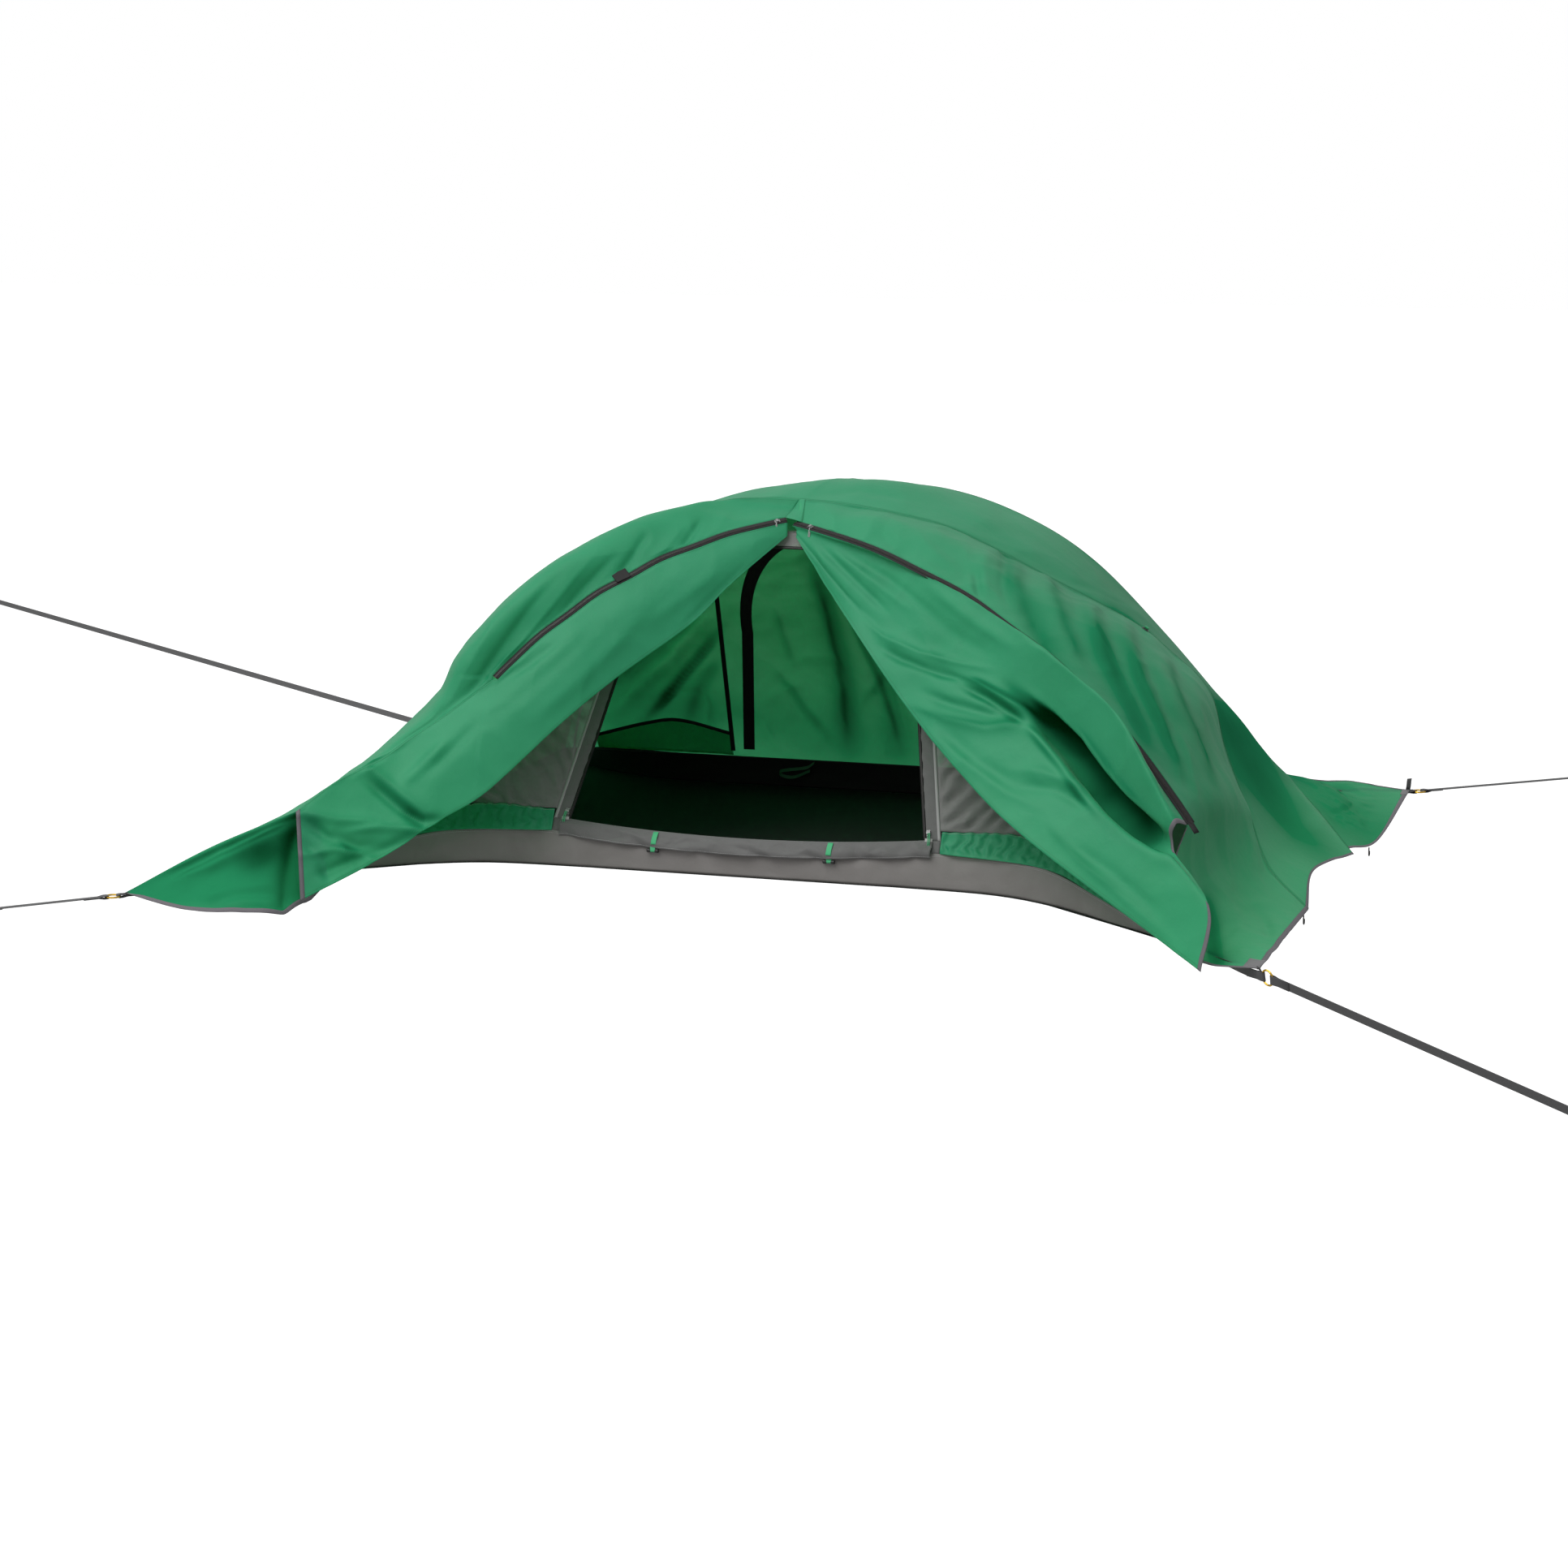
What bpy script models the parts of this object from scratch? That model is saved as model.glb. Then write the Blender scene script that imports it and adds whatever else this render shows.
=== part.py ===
"""Tree tent: a cross-pole dome on a star floor, hung by four straps between trees.

Blender 4.5, metres, +Z up. X runs along the tent, Y through it from the open front
(-Y) to the closed back (+Y), and Z = 0 is the plane of the four corner rings.
Tables of shares give places as parts of half the ring span along X, half the ring
span along Y, and the height of the fly's top.
"""
import math

import bmesh
import bpy
import numpy as np
from mathutils import Matrix, Vector

HOME = "tree_tent"
GUIDES = "guides"

# Driving sizes
RING_SPAN_X = 3.48
RING_SPAN_Y = 2.872
FLY_TOP = 1.165
FABRIC = 0.0009
SEAM_GAP = 0.0004
CLEAR = 0.0004

# Corner rings, load webbing and tree straps
RING_RADIUS = 0.022
RING_WIRE = 0.003
WEB_WIDTH = 0.025
WEB_THICK = 0.0018
LOOP_STITCH = 0.045
LOOP_TAPER = 0.016
STRAP_LENGTHS = {"fl": 0.42, "fr": 1.24, "br": 0.70, "bl": 4.84}
STRAP_RISE_SHARES = {"fl": -0.028, "fr": -0.0925, "br": 0.0046, "bl": -0.0068}
RING_TILT = {"fl": 0.0, "fr": 80.0, "br": 0.0, "bl": 35.0}
WEB_TWIST_RUN = 0.30

# Poles
POLE_DIA = 0.0095
FERRULE_DIA = 0.0118
POLE_CROWN_Z = 1.118
POLE_CROWN_X = 0.03
POLE_CROWN_Y = 0.015
POLE_FOOT_Z = 0.045
POLE_POWER = 1.70
POLE_FOOT_LEFT_SHARE = 0.644
POLE_FOOT_RIGHT_SHARE = 0.690
POLE_FOOT_Y_SHARE = 0.570

# Floor and inner tent
FLOOR_Z = 0.027
WALL_SLOPE = 0.506
WALL_FOOT_Z = 0.130
WALL_FOOT_Y = 0.700
WALL_TOP_Z = 1.02
DOOR_SILL_Z = 0.165
SILL_SAG = 0.026
DOOR_HALF_WIDTH = 0.567
TAPE_WIDTH = 0.050
ZIP_TAPE = 0.025
REAR_ZIP_WIDTH = 0.055
REAR_DOOR_SHARE = 0.72
REAR_DOOR_RISE_SHARE = 0.955

CORNERS = {"fl": (-1, -1), "fr": (1, -1), "br": (1, 1), "bl": (-1, 1)}

# Seams of the fly, from the middle outwards
BROW_LEFT_SHARES = (
    (0.000, -0.087, 0.951), (-0.064, -0.097, 0.954), (-0.149, -0.104, 0.940), (-0.287, -0.049, 0.858),
    (-0.460, 0.021, 0.751), (-0.586, 0.045, 0.633), (-0.636, 0.021, 0.534), (-0.679, -0.030, 0.435),
    (-0.714, -0.100, 0.318), (-0.745, -0.170, 0.229), (-0.853, -0.237, 0.127), (-0.977, -0.348, 0.017))
BROW_RIGHT_SHARES = (
    (0.000, -0.087, 0.951), (0.078, -0.084, 0.944), (0.178, -0.070, 0.921), (0.284, -0.042, 0.877),
    (0.453, 0.014, 0.745), (0.589, 0.042, 0.640), (0.658, 0.035, 0.569), (0.738, 0.000, 0.472),
    (0.781, -0.084, 0.340), (0.843, -0.202, 0.199), (0.896, -0.299, 0.081), (0.975, -0.371, -0.002))
REAR_LEFT_SHARES = (
    (0.029, 0.209, 0.974), (-0.144, 0.223, 0.936), (-0.345, 0.251, 0.824), (-0.575, 0.292, 0.601),
    (-0.736, 0.334, 0.361), (-0.862, 0.362, 0.155), (-0.977, 0.348, 0.017))
REAR_RIGHT_SHARES = (
    (0.029, 0.209, 0.974), (0.207, 0.265, 0.944), (0.345, 0.320, 0.864), (0.460, 0.376, 0.742),
    (0.570, 0.500, 0.530), (0.670, 0.590, 0.324), (0.770, 0.640, 0.130), (0.874, 0.420, 0.075),
    (0.980, 0.175, 0.009))
CREST_LEFT_SHARES = (
    (-0.006, -0.106, 0.930), (-0.140, -0.136, 0.938), (-0.194, -0.188, 0.930), (-0.266, -0.258, 0.902),
    (-0.362, -0.351, 0.822), (-0.439, -0.425, 0.725), (-0.519, -0.503, 0.574), (-0.551, -0.534, 0.469),
    (-0.590, -0.563, 0.397), (-0.718, -0.682, 0.232), (-0.862, -0.766, 0.094), (-0.983, -0.675, 0.009))
EDGE_LEFT_SHARES = ((-0.512, -0.606, 0.432), (-0.567, -0.648, 0.372), (-0.604, -0.696, 0.326),
                    (-0.663, -0.766, 0.278), (-0.715, -0.836, 0.208))
WING_MID_LEFT_SHARES = (-0.852, -0.905, 0.118)
WING_TIP_LEFT_SHARES = (-0.984, -0.984, 0.0055)
FREE_LEFT_SHARES = (
    (0.004, -0.189, 0.869), (-0.075, -0.290, 0.750), (-0.133, -0.355, 0.650), (-0.239, -0.460, 0.521),
    (-0.316, -0.557, 0.410), (-0.419, -0.662, 0.248), (-0.490, -0.724, 0.177), (-0.585, -0.801, 0.078),
    (-0.684, -0.905, -0.005))
FREE_RIGHT_SHARES = (
    (0.0195, -0.189, 0.867), (0.132, -0.310, 0.702), (0.278, -0.460, 0.501), (0.410, -0.599, 0.356),
    (0.548, -0.724, 0.232), (0.817, -0.926, 0.048), (0.894, -0.996, 0.001))
DOOR_FOLD_SHARES = (
    (0.0195, -0.183, 0.885), (0.195, -0.268, 0.824), (0.345, -0.385, 0.768), (0.465, -0.474, 0.704),
    (0.524, -0.522, 0.669), (0.616, -0.599, 0.597), (0.692, -0.669, 0.495), (0.779, -0.738, 0.426),
    (0.837, -0.797, 0.300))
DOOR_VALLEY_SHARES = (
    (0.0195, -0.185, 0.879), (0.165, -0.290, 0.745), (0.330, -0.420, 0.630), (0.475, -0.515, 0.582),
    (0.573, -0.585, 0.469), (0.641, -0.648, 0.385), (0.708, -0.710, 0.304), (0.814, -0.805, 0.241))
DOOR_CREST_SHARES = (
    (0.0205, -0.187, 0.873), (0.145, -0.285, 0.720), (0.320, -0.450, 0.570), (0.470, -0.557, 0.476),
    (0.573, -0.648, 0.380), (0.689, -0.752, 0.291), (0.815, -0.857, 0.228), (0.897, -0.945, 0.142))
BAND_FOOT_RIGHT_SHARES = ((0.834, -0.800, 0.227), (0.840, -0.860, 0.133), (0.874, -0.930, 0.026),
                          (0.899, -0.965, 0.012), (0.940, -0.980, 0.014), (0.985, -0.985, 0.0165))
WING_HEM_LEFT_SHARES = ((-0.980, -0.988, 0.0055), (-0.850, -1.030, -0.013), (-0.746, -1.020, -0.012),
                        (-0.690, -0.970, -0.018), (-0.683, -0.870, -0.017))
REAR_HEM_SHARES = (
    (-0.984, 0.984, 0.0100), (-0.600, 0.960, 0.030), (0.000, 0.930, 0.050), (0.600, 0.960, 0.045),
    (0.800, 0.975, 0.038), (0.984, 0.984, 0.0055))
REAR_BELLY_SHARES = (
    (-0.990, 0.650, 0.008), (-0.715, 0.635, 0.310), (-0.365, 0.575, 0.560), (0.000, 0.540, 0.620),
    (0.350, 0.580, 0.520), (0.630, 0.700, 0.255), (0.715, 0.760, 0.115), (0.799, 0.800, 0.060),
    (0.870, 0.740, 0.044), (0.990, 0.440, -0.016))
ROOF_MID_LEFT_SHARES = (
    (0.020, 0.050, 0.988), (-0.150, 0.050, 0.945), (-0.330, 0.080, 0.852), (-0.500, 0.120, 0.728),
    (-0.640, 0.150, 0.556), (-0.765, 0.150, 0.325), (-0.820, 0.100, 0.205), (-0.870, 0.050, 0.118),
    (-0.985, 0.000, 0.030))
ROOF_MID_RIGHT_SHARES = (
    (0.020, 0.050, 0.988), (0.150, 0.100, 0.974), (0.315, 0.150, 0.888), (0.450, 0.200, 0.768),
    (0.580, 0.260, 0.600), (0.690, 0.280, 0.420), (0.790, 0.250, 0.225), (0.870, 0.080, 0.110),
    (0.953, -0.150, 0.042))

# Fly zips: three places on each arc
ZIP_LEFT_SHARES = ((-0.002, -0.172, 0.908), (-0.222, -0.335, 0.794), (-0.440, -0.543, 0.522))
ZIP_RIGHT_SHARES = ((0.0135, -0.172, 0.900), (0.442, -0.432, 0.717), (0.835, -0.766, 0.298))

# Floor outline, a quarter from the front middle to the ring, then up the side
FLOOR_FRONT_SHARES = ((0.000, -0.515), (0.240, -0.515), (0.300, -0.515), (0.460, -0.517), (0.580, -0.560),
                      (0.700, -0.680), (0.810, -0.815))
FLOOR_TIP_SHARE = 0.86
FLOOR_SIDE_SHARES = ((0.760, -0.550), (0.725, -0.250), (0.715, 0.000))
TUB_INSET_SHARE = 0.985
TUB_SIDE_SHARES = ((0.690, -0.520), (0.700, -0.250), (0.700, 0.000))
TUB_TOP_SHARES = ((0.000, 0.4875, 0.1116), (0.330, 0.4875, 0.1116), (0.400, 0.4875, 0.1116),
                  (0.545, 0.540, 0.105), (0.660, 0.650, 0.072), (0.785, 0.805, 0.032))
CORNER_PANEL_SHARES = ((0.355, 0.4665, 0.163), (0.495, 0.475, 0.168), (0.610, 0.560, 0.135),
                       (0.780, 0.795, 0.042))

# Inner tent's corner line, from the wall foot to the top: half-width and height
INNER_EDGE_SHARES = ((0.632, 0.1116), (0.575, 0.300), (0.470, 0.515), (0.305, 0.721), (0.086, 0.8755))
DOOR_JAMB_TOP_Z = 0.62
DOOR_JAMB_TOP_HALF = 0.475
DOOR_TOP_Z = 0.975
DOOR_TOP_HALF = 0.09

# Small fittings
HOOK_WIRE = 0.0022
HOOK_LENGTH = 0.040
HOOK_BEND = 0.007
HOOK_TIP_SHARE = 0.3
TOGGLE_LENGTH = 0.038
TOGGLE_RADIUS = 0.006
TOGGLE_X = 0.280
RIBBON_WIDTH = 0.020
SLIDER_WIDTH = 0.012
SLIDER_LENGTH = 0.017
SLIDER_HEIGHT = 0.007
LOOP_CORD = 0.003
GUY_LOOP_RADIUS = 0.011
GUY_LOOP_SHARE = 0.589
HOOK_FRONT_SHARE = -0.433
HOOK_REAR_SHARE = 0.336
RIBBON_DROP = 0.020
TOGGLE_PIVOT_Z = 0.110
SLIDER_PARK_Z = 0.178
LOWERED_DROP = 0.046
LOWERED_BILLOW = 0.0125
LOWERED_ROUND_SHARE = 0.8
GUSSET_FOOT_Z = 0.1925
INSET_SHARE = 0.985
CLIP_SIZE = 0.024
CLIP_GAP = 0.0015
FERRULE_PLACES = (4, 11, 15, 21, 25, 32)
TIP_SHARE = 0.7
GEAR_LOOP_X = -0.256
GEAR_LOOP_Z = 0.112
GEAR_LOOP_LENGTH = 0.120
GEAR_LOOP_RISE = 0.018
GEAR_RISE_SHARES = (0.0, 0.55, 0.9, 1.0, 0.9, 0.55, 0.0)

# Side profile of a slider and its bridge, and of a pole's pocket, as shares of their sizes
SLIDER_SHARES = ((0.0, 0.0), (1.0, 0.0), (1.0, 0.35), (0.85, 0.35), (0.70, 1.0), (0.30, 1.0), (0.15, 0.35),
                 (0.0, 0.35))
SLIDER_HOLE_SHARES = ((0.32, 0.35), (0.68, 0.35), (0.60, 0.75), (0.40, 0.75))
POCKET_LIP_SHARE = 0.4
POCKET_DRAFT_SHARE = 0.7
LOWERED_ROW_SHARES = (0.0, 0.35, 0.7, 1.0)
TAUT_SHARES = (0.17, 0.33)

# How finely curved pieces are cut
FINE_STEPS = 24
TUBE_RESOLUTION = 1
EYE_STEPS = 8
TWIST_STEPS = 5
RING_SEGMENTS = 20
WIRE_SEGMENTS = 6
FLOOR_POINTS = 11
TUB_ROWS = 3
TUB_LONG_COLUMNS = 17
TUB_SHORT_COLUMNS = 7
INNER_EDGE_POINTS = 9
DOOR_CURVE_STEPS = 6
PANEL_COLUMNS = 9
PANEL_ROWS = 3
POLE_STEPS = 16
POLE_POINTS = 37
POCKET_STEPS = 12
HOOK_STEPS = 5

# Fly sheets
HALF_COLUMNS = 19
DOOR_COLUMNS = 13
DOOR_ROWS = 13
ZIP_COLUMNS = 10
EDGE_COLUMNS = 5
FOOT_START = 13
SHEET_ROWS = 5
WING_ROWS = 3
DOOR_BELLY = 0.030
BAND_BELLY = 0.056
FLY_GAP = 0.0010
PANEL_GAP = 0.0014
PARK_SHARES = {"left": 0.02, "right": 0.03}
ZIP_LEAN = 50.0
SILL_POINTS = 13
MERGE = 0.00001


def clear_scene():
    """Empties the scene and makes the tent's collection, and one for hidden guides."""
    for obj in list(bpy.data.objects):
        bpy.data.objects.remove(obj, do_unlink=True)
    for name in (HOME, GUIDES):
        bpy.context.scene.collection.children.link(bpy.data.collections.new(name))
    layer = bpy.context.view_layer.layer_collection.children[HOME]
    bpy.context.view_layer.active_layer_collection = layer


def material(name, rgb, roughness, metallic=0.0):
    mat = bpy.data.materials.new(name)
    mat.use_nodes = True
    shader = mat.node_tree.nodes["Principled BSDF"]
    shader.inputs["Base Color"].default_value = (*rgb, 1.0)
    shader.inputs["Roughness"].default_value = roughness
    shader.inputs["Metallic"].default_value = metallic
    return mat


def at(shares):
    """A place from its shares of the half spans and the fly's height."""
    x, y, z = shares
    return np.array([x * RING_SPAN_X / 2, y * RING_SPAN_Y / 2, z * FLY_TOP])


def places(table):
    return [at(row) for row in table]


def spline(points, count):
    """Catmull-Rom curve through the points, sampled at equal arc lengths."""
    pts = np.array(points, float)
    if len(pts) == 2:
        t = np.linspace(0, 1, count)[:, None]
        return pts[0] * (1 - t) + pts[1] * t
    ext = np.vstack([2 * pts[0] - pts[1], pts, 2 * pts[-1] - pts[-2]])
    fine = []
    for i in range(1, len(ext) - 2):
        p0, p1, p2, p3 = ext[i - 1], ext[i], ext[i + 1], ext[i + 2]
        for t in np.linspace(0, 1, FINE_STEPS, endpoint=False):
            fine.append(0.5 * (2 * p1 + (p2 - p0) * t + (2 * p0 - 5 * p1 + 4 * p2 - p3) * t ** 2
                               + (3 * p1 - p0 - 3 * p2 + p3) * t ** 3))
    fine.append(ext[-2])
    fine = np.array(fine)
    run = np.concatenate([[0], np.cumsum(np.linalg.norm(np.diff(fine, axis=0), axis=1))])
    where = np.linspace(0, run[-1], count)
    return np.stack([np.interp(where, run, fine[:, k]) for k in range(3)], axis=1)


def link(name, mesh, mat):
    obj = bpy.data.objects.new(name, mesh)
    bpy.data.collections[HOME].objects.link(obj)
    obj.data.materials.append(mat)
    return obj


def surface(name, grid, mat, thickness=FABRIC, even=True):
    """An open sheet through a grid of places, given its thickness by Solidify."""
    rows, cols = grid.shape[:2]
    bm = bmesh.new()
    bmesh.ops.create_grid(bm, x_segments=cols - 1, y_segments=rows - 1, size=1.0)
    for vert in bm.verts:
        col = round((vert.co.x + 1) / 2 * (cols - 1))
        row = round((vert.co.y + 1) / 2 * (rows - 1))
        vert.co = grid[row, col]
    mesh = bpy.data.meshes.new(name)
    bm.to_mesh(mesh)
    bm.free()
    obj = link(name, mesh, mat)
    solid = obj.modifiers.new("thickness", "SOLIDIFY")
    solid.thickness = thickness
    solid.offset = 0.0
    solid.use_even_offset = even
    return obj


def loft_grid(sections, rows):
    """Rows of places between sections that have the same number of places each."""
    sections = [np.array(s) for s in sections]
    count = len(sections[0])
    columns = [spline([s[i] for s in sections], rows) for i in range(count)]
    return np.stack(columns, axis=1)


def drawn_in(grid, gap=SEAM_GAP):
    """The grid with its four edges drawn in by the seam gap."""
    out = grid.copy()
    sides = ((out[0], grid[1]), (out[-1], grid[-2]), (out[:, 0], grid[:, 1]), (out[:, -1], grid[:, -2]))
    for edge, inner in sides:
        step = inner - edge
        length = np.maximum(np.linalg.norm(step, axis=-1, keepdims=True), gap)
        edge += step / length * gap
    return out


def ribbon(name, path, widths, width, mat, thickness=WEB_THICK):
    """Flat webbing along a path, with the direction of its width at each place."""
    path = np.array(path)
    widths = np.array(widths)
    half = widths / np.linalg.norm(widths, axis=1, keepdims=True) * width / 2
    return surface(name, np.stack([path - half, path + half]), mat, thickness)


def tube(name, path, diameter, mat, swell=None, closed=False):
    """Round bar or cord along a path, with a share of its diameter at each place."""
    curve = bpy.data.curves.new(name, "CURVE")
    curve.dimensions = "3D"
    curve.bevel_depth = diameter / 2
    curve.bevel_resolution = TUBE_RESOLUTION
    curve.use_fill_caps = True
    line = curve.splines.new("POLY")
    line.points.add(len(path) - 1)
    for i, place in enumerate(path):
        line.points[i].co = (*place, 1.0)
        line.points[i].radius = swell[i] if swell else 1.0
    line.use_cyclic_u = closed
    return link(name, curve, mat)


def flat_panel(name, outline, origin, x_dir, y_dir, mat, thickness=FABRIC, holes=()):
    """A flat cut piece: a 2D curve filled on both sides, extruded by half its thickness."""
    curve = bpy.data.curves.new(name, "CURVE")
    curve.dimensions = "2D"
    curve.fill_mode = "BOTH"
    curve.extrude = thickness / 2
    for loop in (outline, *holes):
        line = curve.splines.new("POLY")
        line.points.add(len(loop) - 1)
        for point, (x, y) in zip(line.points, loop):
            point.co = (x, y, 0.0, 1.0)
        line.use_cyclic_u = True
    obj = link(name, curve, mat)
    x_dir = Vector(x_dir).normalized()
    y_dir = Vector(y_dir).normalized()
    z_dir = x_dir.cross(y_dir)
    frame = Matrix((x_dir, y_dir, z_dir)).transposed().to_4x4()
    obj.matrix_world = Matrix.Translation(Vector(origin)) @ frame
    return obj


def pivot(name, place):
    """An empty on a joint's axis, which carries the moving piece."""
    empty = bpy.data.objects.new(name, None)
    empty.location = place
    bpy.data.collections[HOME].objects.link(empty)
    return empty


def carry(obj, empty):
    obj.parent = empty
    obj.matrix_parent_inverse = Matrix.Translation(-Vector(empty.location))


def ring_centre(corner):
    sx, sy = CORNERS[corner]
    return np.array([sx * RING_SPAN_X / 2, sy * RING_SPAN_Y / 2, 0.0])


def outward(corner):
    """Level direction from the middle of the tent to a corner's ring."""
    away = ring_centre(corner)
    return away / np.linalg.norm(away)


def tilted_width(direction, degrees):
    """The strap's width direction: level at 0 degrees, upright at 90."""
    level = np.cross(direction, (0, 0, 1))
    level /= np.linalg.norm(level)
    up = np.cross(level, direction)
    angle = math.radians(degrees)
    return level * math.cos(angle) + up * math.sin(angle)


def eye_path(centre, direction, width_dir):
    """Webbing's end round a ring's wire: from the stitched tail, round, to the body's start."""
    normal = np.cross(width_dir, direction)
    half_web = WEB_WIDTH / 2
    bend_at = math.sqrt(RING_RADIUS ** 2 - half_web ** 2) - RING_WIRE / 4
    leg = RING_WIRE + CLEAR + WEB_THICK / 2
    flat_end = RING_RADIUS + RING_WIRE * 2
    join_at = flat_end + LOOP_TAPER
    tail_at = join_at + LOOP_STITCH
    lap = (WEB_THICK + CLEAR) / 2
    route = [(tail_at, -lap), (join_at, -lap), (flat_end, -leg)]
    for step in range(EYE_STEPS + 1):
        angle = -math.pi / 2 - math.pi * step / EYE_STEPS
        route.append((bend_at + leg * math.cos(angle), leg * math.sin(angle)))
    route += [(flat_end, leg), (join_at, lap), (tail_at, lap)]
    return [centre + direction * s + normal * h for s, h in route]


def webbing_between(name, start, end, tilt_start, tilt_end, mat, lift=0.0):
    """Webbing with a sewn eye at each end, level and lifted between where it has a lift."""
    direction = (end - start) / np.linalg.norm(end - start)
    first = eye_path(start, direction, tilted_width(direction, tilt_start))
    last = eye_path(end, -direction, tilted_width(-direction, -tilt_end))
    span = np.linalg.norm(end - start)
    reach = np.linalg.norm(first[-1] - start)
    path = list(first)
    widths = [tilted_width(direction, tilt_start)] * len(first)
    run = span - 2 * reach
    if lift:
        steps = [WEB_TWIST_RUN * k / TWIST_STEPS for k in range(1, TWIST_STEPS + 1)]
    else:
        steps = [run * share for share in TAUT_SHARES]
    stops = steps + [run / 2] + [run - step for step in reversed(steps)]
    for stop in stops:
        near = min(1.0, stop / WEB_TWIST_RUN)
        far = min(1.0, (run - stop) / WEB_TWIST_RUN)
        tilt = tilt_start * (1 - near) + tilt_end * (1 - far) if lift else tilt_start
        rise = np.array([0.0, 0.0, lift * min(near, far)])
        path.append(start + direction * (reach + stop) + rise)
        widths.append(tilted_width(direction, tilt))
    path += last[::-1]
    widths += [tilted_width(direction, tilt_end)] * len(last)
    return ribbon(name, path, widths, WEB_WIDTH, mat)


def ring(name, centre, normal, radius, wire, mat):
    bpy.ops.mesh.primitive_torus_add(major_radius=radius, minor_radius=wire, major_segments=RING_SEGMENTS,
                                     minor_segments=WIRE_SEGMENTS)
    obj = bpy.context.object
    obj.name = name
    turn = Vector((0, 0, 1)).rotation_difference(Vector(normal))
    obj.matrix_world = Matrix.Translation(Vector(centre)) @ turn.to_matrix().to_4x4()
    obj.data.materials.append(mat)
    obj.data.shade_smooth()
    return obj


def strap_end(corner):
    """Where a tree strap's far eye lies, out along the diagonal."""
    away = outward(corner)
    slope = np.array([away[0], away[1], STRAP_RISE_SHARES[corner]])
    return ring_centre(corner) + slope / np.linalg.norm(slope) * STRAP_LENGTHS[corner]


def build_suspension(mats):
    """Rings at the corners, load webbing under the floor, and the tree straps."""
    for corner in CORNERS:
        centre = ring_centre(corner)
        away = outward(corner)
        normal = np.cross(tilted_width(away, RING_TILT[corner]), away)
        ring("corner_ring_" + corner, centre, normal, RING_RADIUS, RING_WIRE, mats["zinc"])
        webbing_between("tree_strap_" + corner, centre, strap_end(corner), RING_TILT[corner],
                        RING_TILT[corner], mats["webbing"])
    top = FLOOR_Z - CLEAR - WEB_THICK / 2
    below = top - WEB_THICK - CLEAR
    webbing_between("load_webbing_a", ring_centre("fl"), ring_centre("br"), -RING_TILT["fl"],
                    RING_TILT["br"], mats["webbing"], top)
    webbing_between("load_webbing_b", ring_centre("bl"), ring_centre("fr"), -RING_TILT["bl"],
                    RING_TILT["fr"], mats["webbing"], below)


def floor_outline():
    quarter = [np.array([x * RING_SPAN_X / 2, y * RING_SPAN_Y / 2]) for x, y in FLOOR_FRONT_SHARES]
    quarter = [p[:2] for p in spline([np.append(q, 0) for q in quarter], FLOOR_POINTS)]
    tip = ring_centre("fr")[:2] * FLOOR_TIP_SHARE
    across = np.array([outward("fr")[1], -outward("fr")[0]]) * WEB_WIDTH
    side = [np.array([x * RING_SPAN_X / 2, y * RING_SPAN_Y / 2]) for x, y in FLOOR_SIDE_SHARES]
    quarter += [tip + across, tip - across] + side
    front_right = quarter
    back_right = [p * (1, -1) for p in quarter[-2::-1]]
    right = front_right + back_right
    left = [p * (-1, 1) for p in right[-2:0:-1]]
    return right + left


def build_floor(mats):
    flat_panel("floor", floor_outline(), (0, 0, FLOOR_Z + FABRIC / 2), (1, 0, 0), (0, 1, 0), mats["floor"])


def tub_side(name, foot, top, count, mat):
    """One side of the bathtub wall, from the floor's edge up to the wall's foot."""
    low = spline(foot, count)
    high = spline(top, count)
    low[:, 2] = FLOOR_Z + FABRIC + CLEAR
    return surface(name, drawn_in(loft_grid([low, high], TUB_ROWS)), mat)


def tub_top(x_share, side):
    """Top line of the bathtub wall at the front or rear, low at the outer ends."""
    return [at((x_share * x, side * y, z)) for x, y, z in TUB_TOP_SHARES]


def build_bathtub(mats):
    foot = [(x * RING_SPAN_X / 2, y * RING_SPAN_Y / 2 * TUB_INSET_SHARE, 0) for x, y in FLOOR_FRONT_SHARES]
    front_foot = [(-x, y, z) for x, y, z in foot[:0:-1]] + foot
    front_top = tub_top(-1, -1)[:0:-1] + tub_top(1, -1)
    tub_side("bathtub_front", front_foot, front_top, TUB_LONG_COLUMNS, mats["bathtub"])
    rear_foot = [(x, -y, z) for x, y, z in front_foot]
    rear_top = [(x, -y, z) for x, y, z in front_top]
    tub_side("bathtub_rear", rear_foot, rear_top, TUB_LONG_COLUMNS, mats["bathtub"])
    corner_x = INNER_EDGE_SHARES[0][0] * RING_SPAN_X / 2
    for name, sign in (("bathtub_left", -1), ("bathtub_right", 1)):
        side = [(sign * x * RING_SPAN_X / 2, y * RING_SPAN_Y / 2, 0) for x, y in TUB_SIDE_SHARES]
        side = side + [(x, -y, z) for x, y, z in side[-2::-1]]
        top = [(sign * corner_x, -WALL_FOOT_Y, WALL_FOOT_Z), (sign * corner_x, WALL_FOOT_Y, WALL_FOOT_Z)]
        tub_side(name, side, top, TUB_SHORT_COLUMNS, mats["bathtub"])


def wall_y(z):
    """Distance of the sloping front or rear wall from the middle at a height."""
    return WALL_FOOT_Y - WALL_SLOPE * (z - WALL_FOOT_Z)


def on_wall(x, z, side):
    return np.array([x, side * wall_y(z), z])


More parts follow.
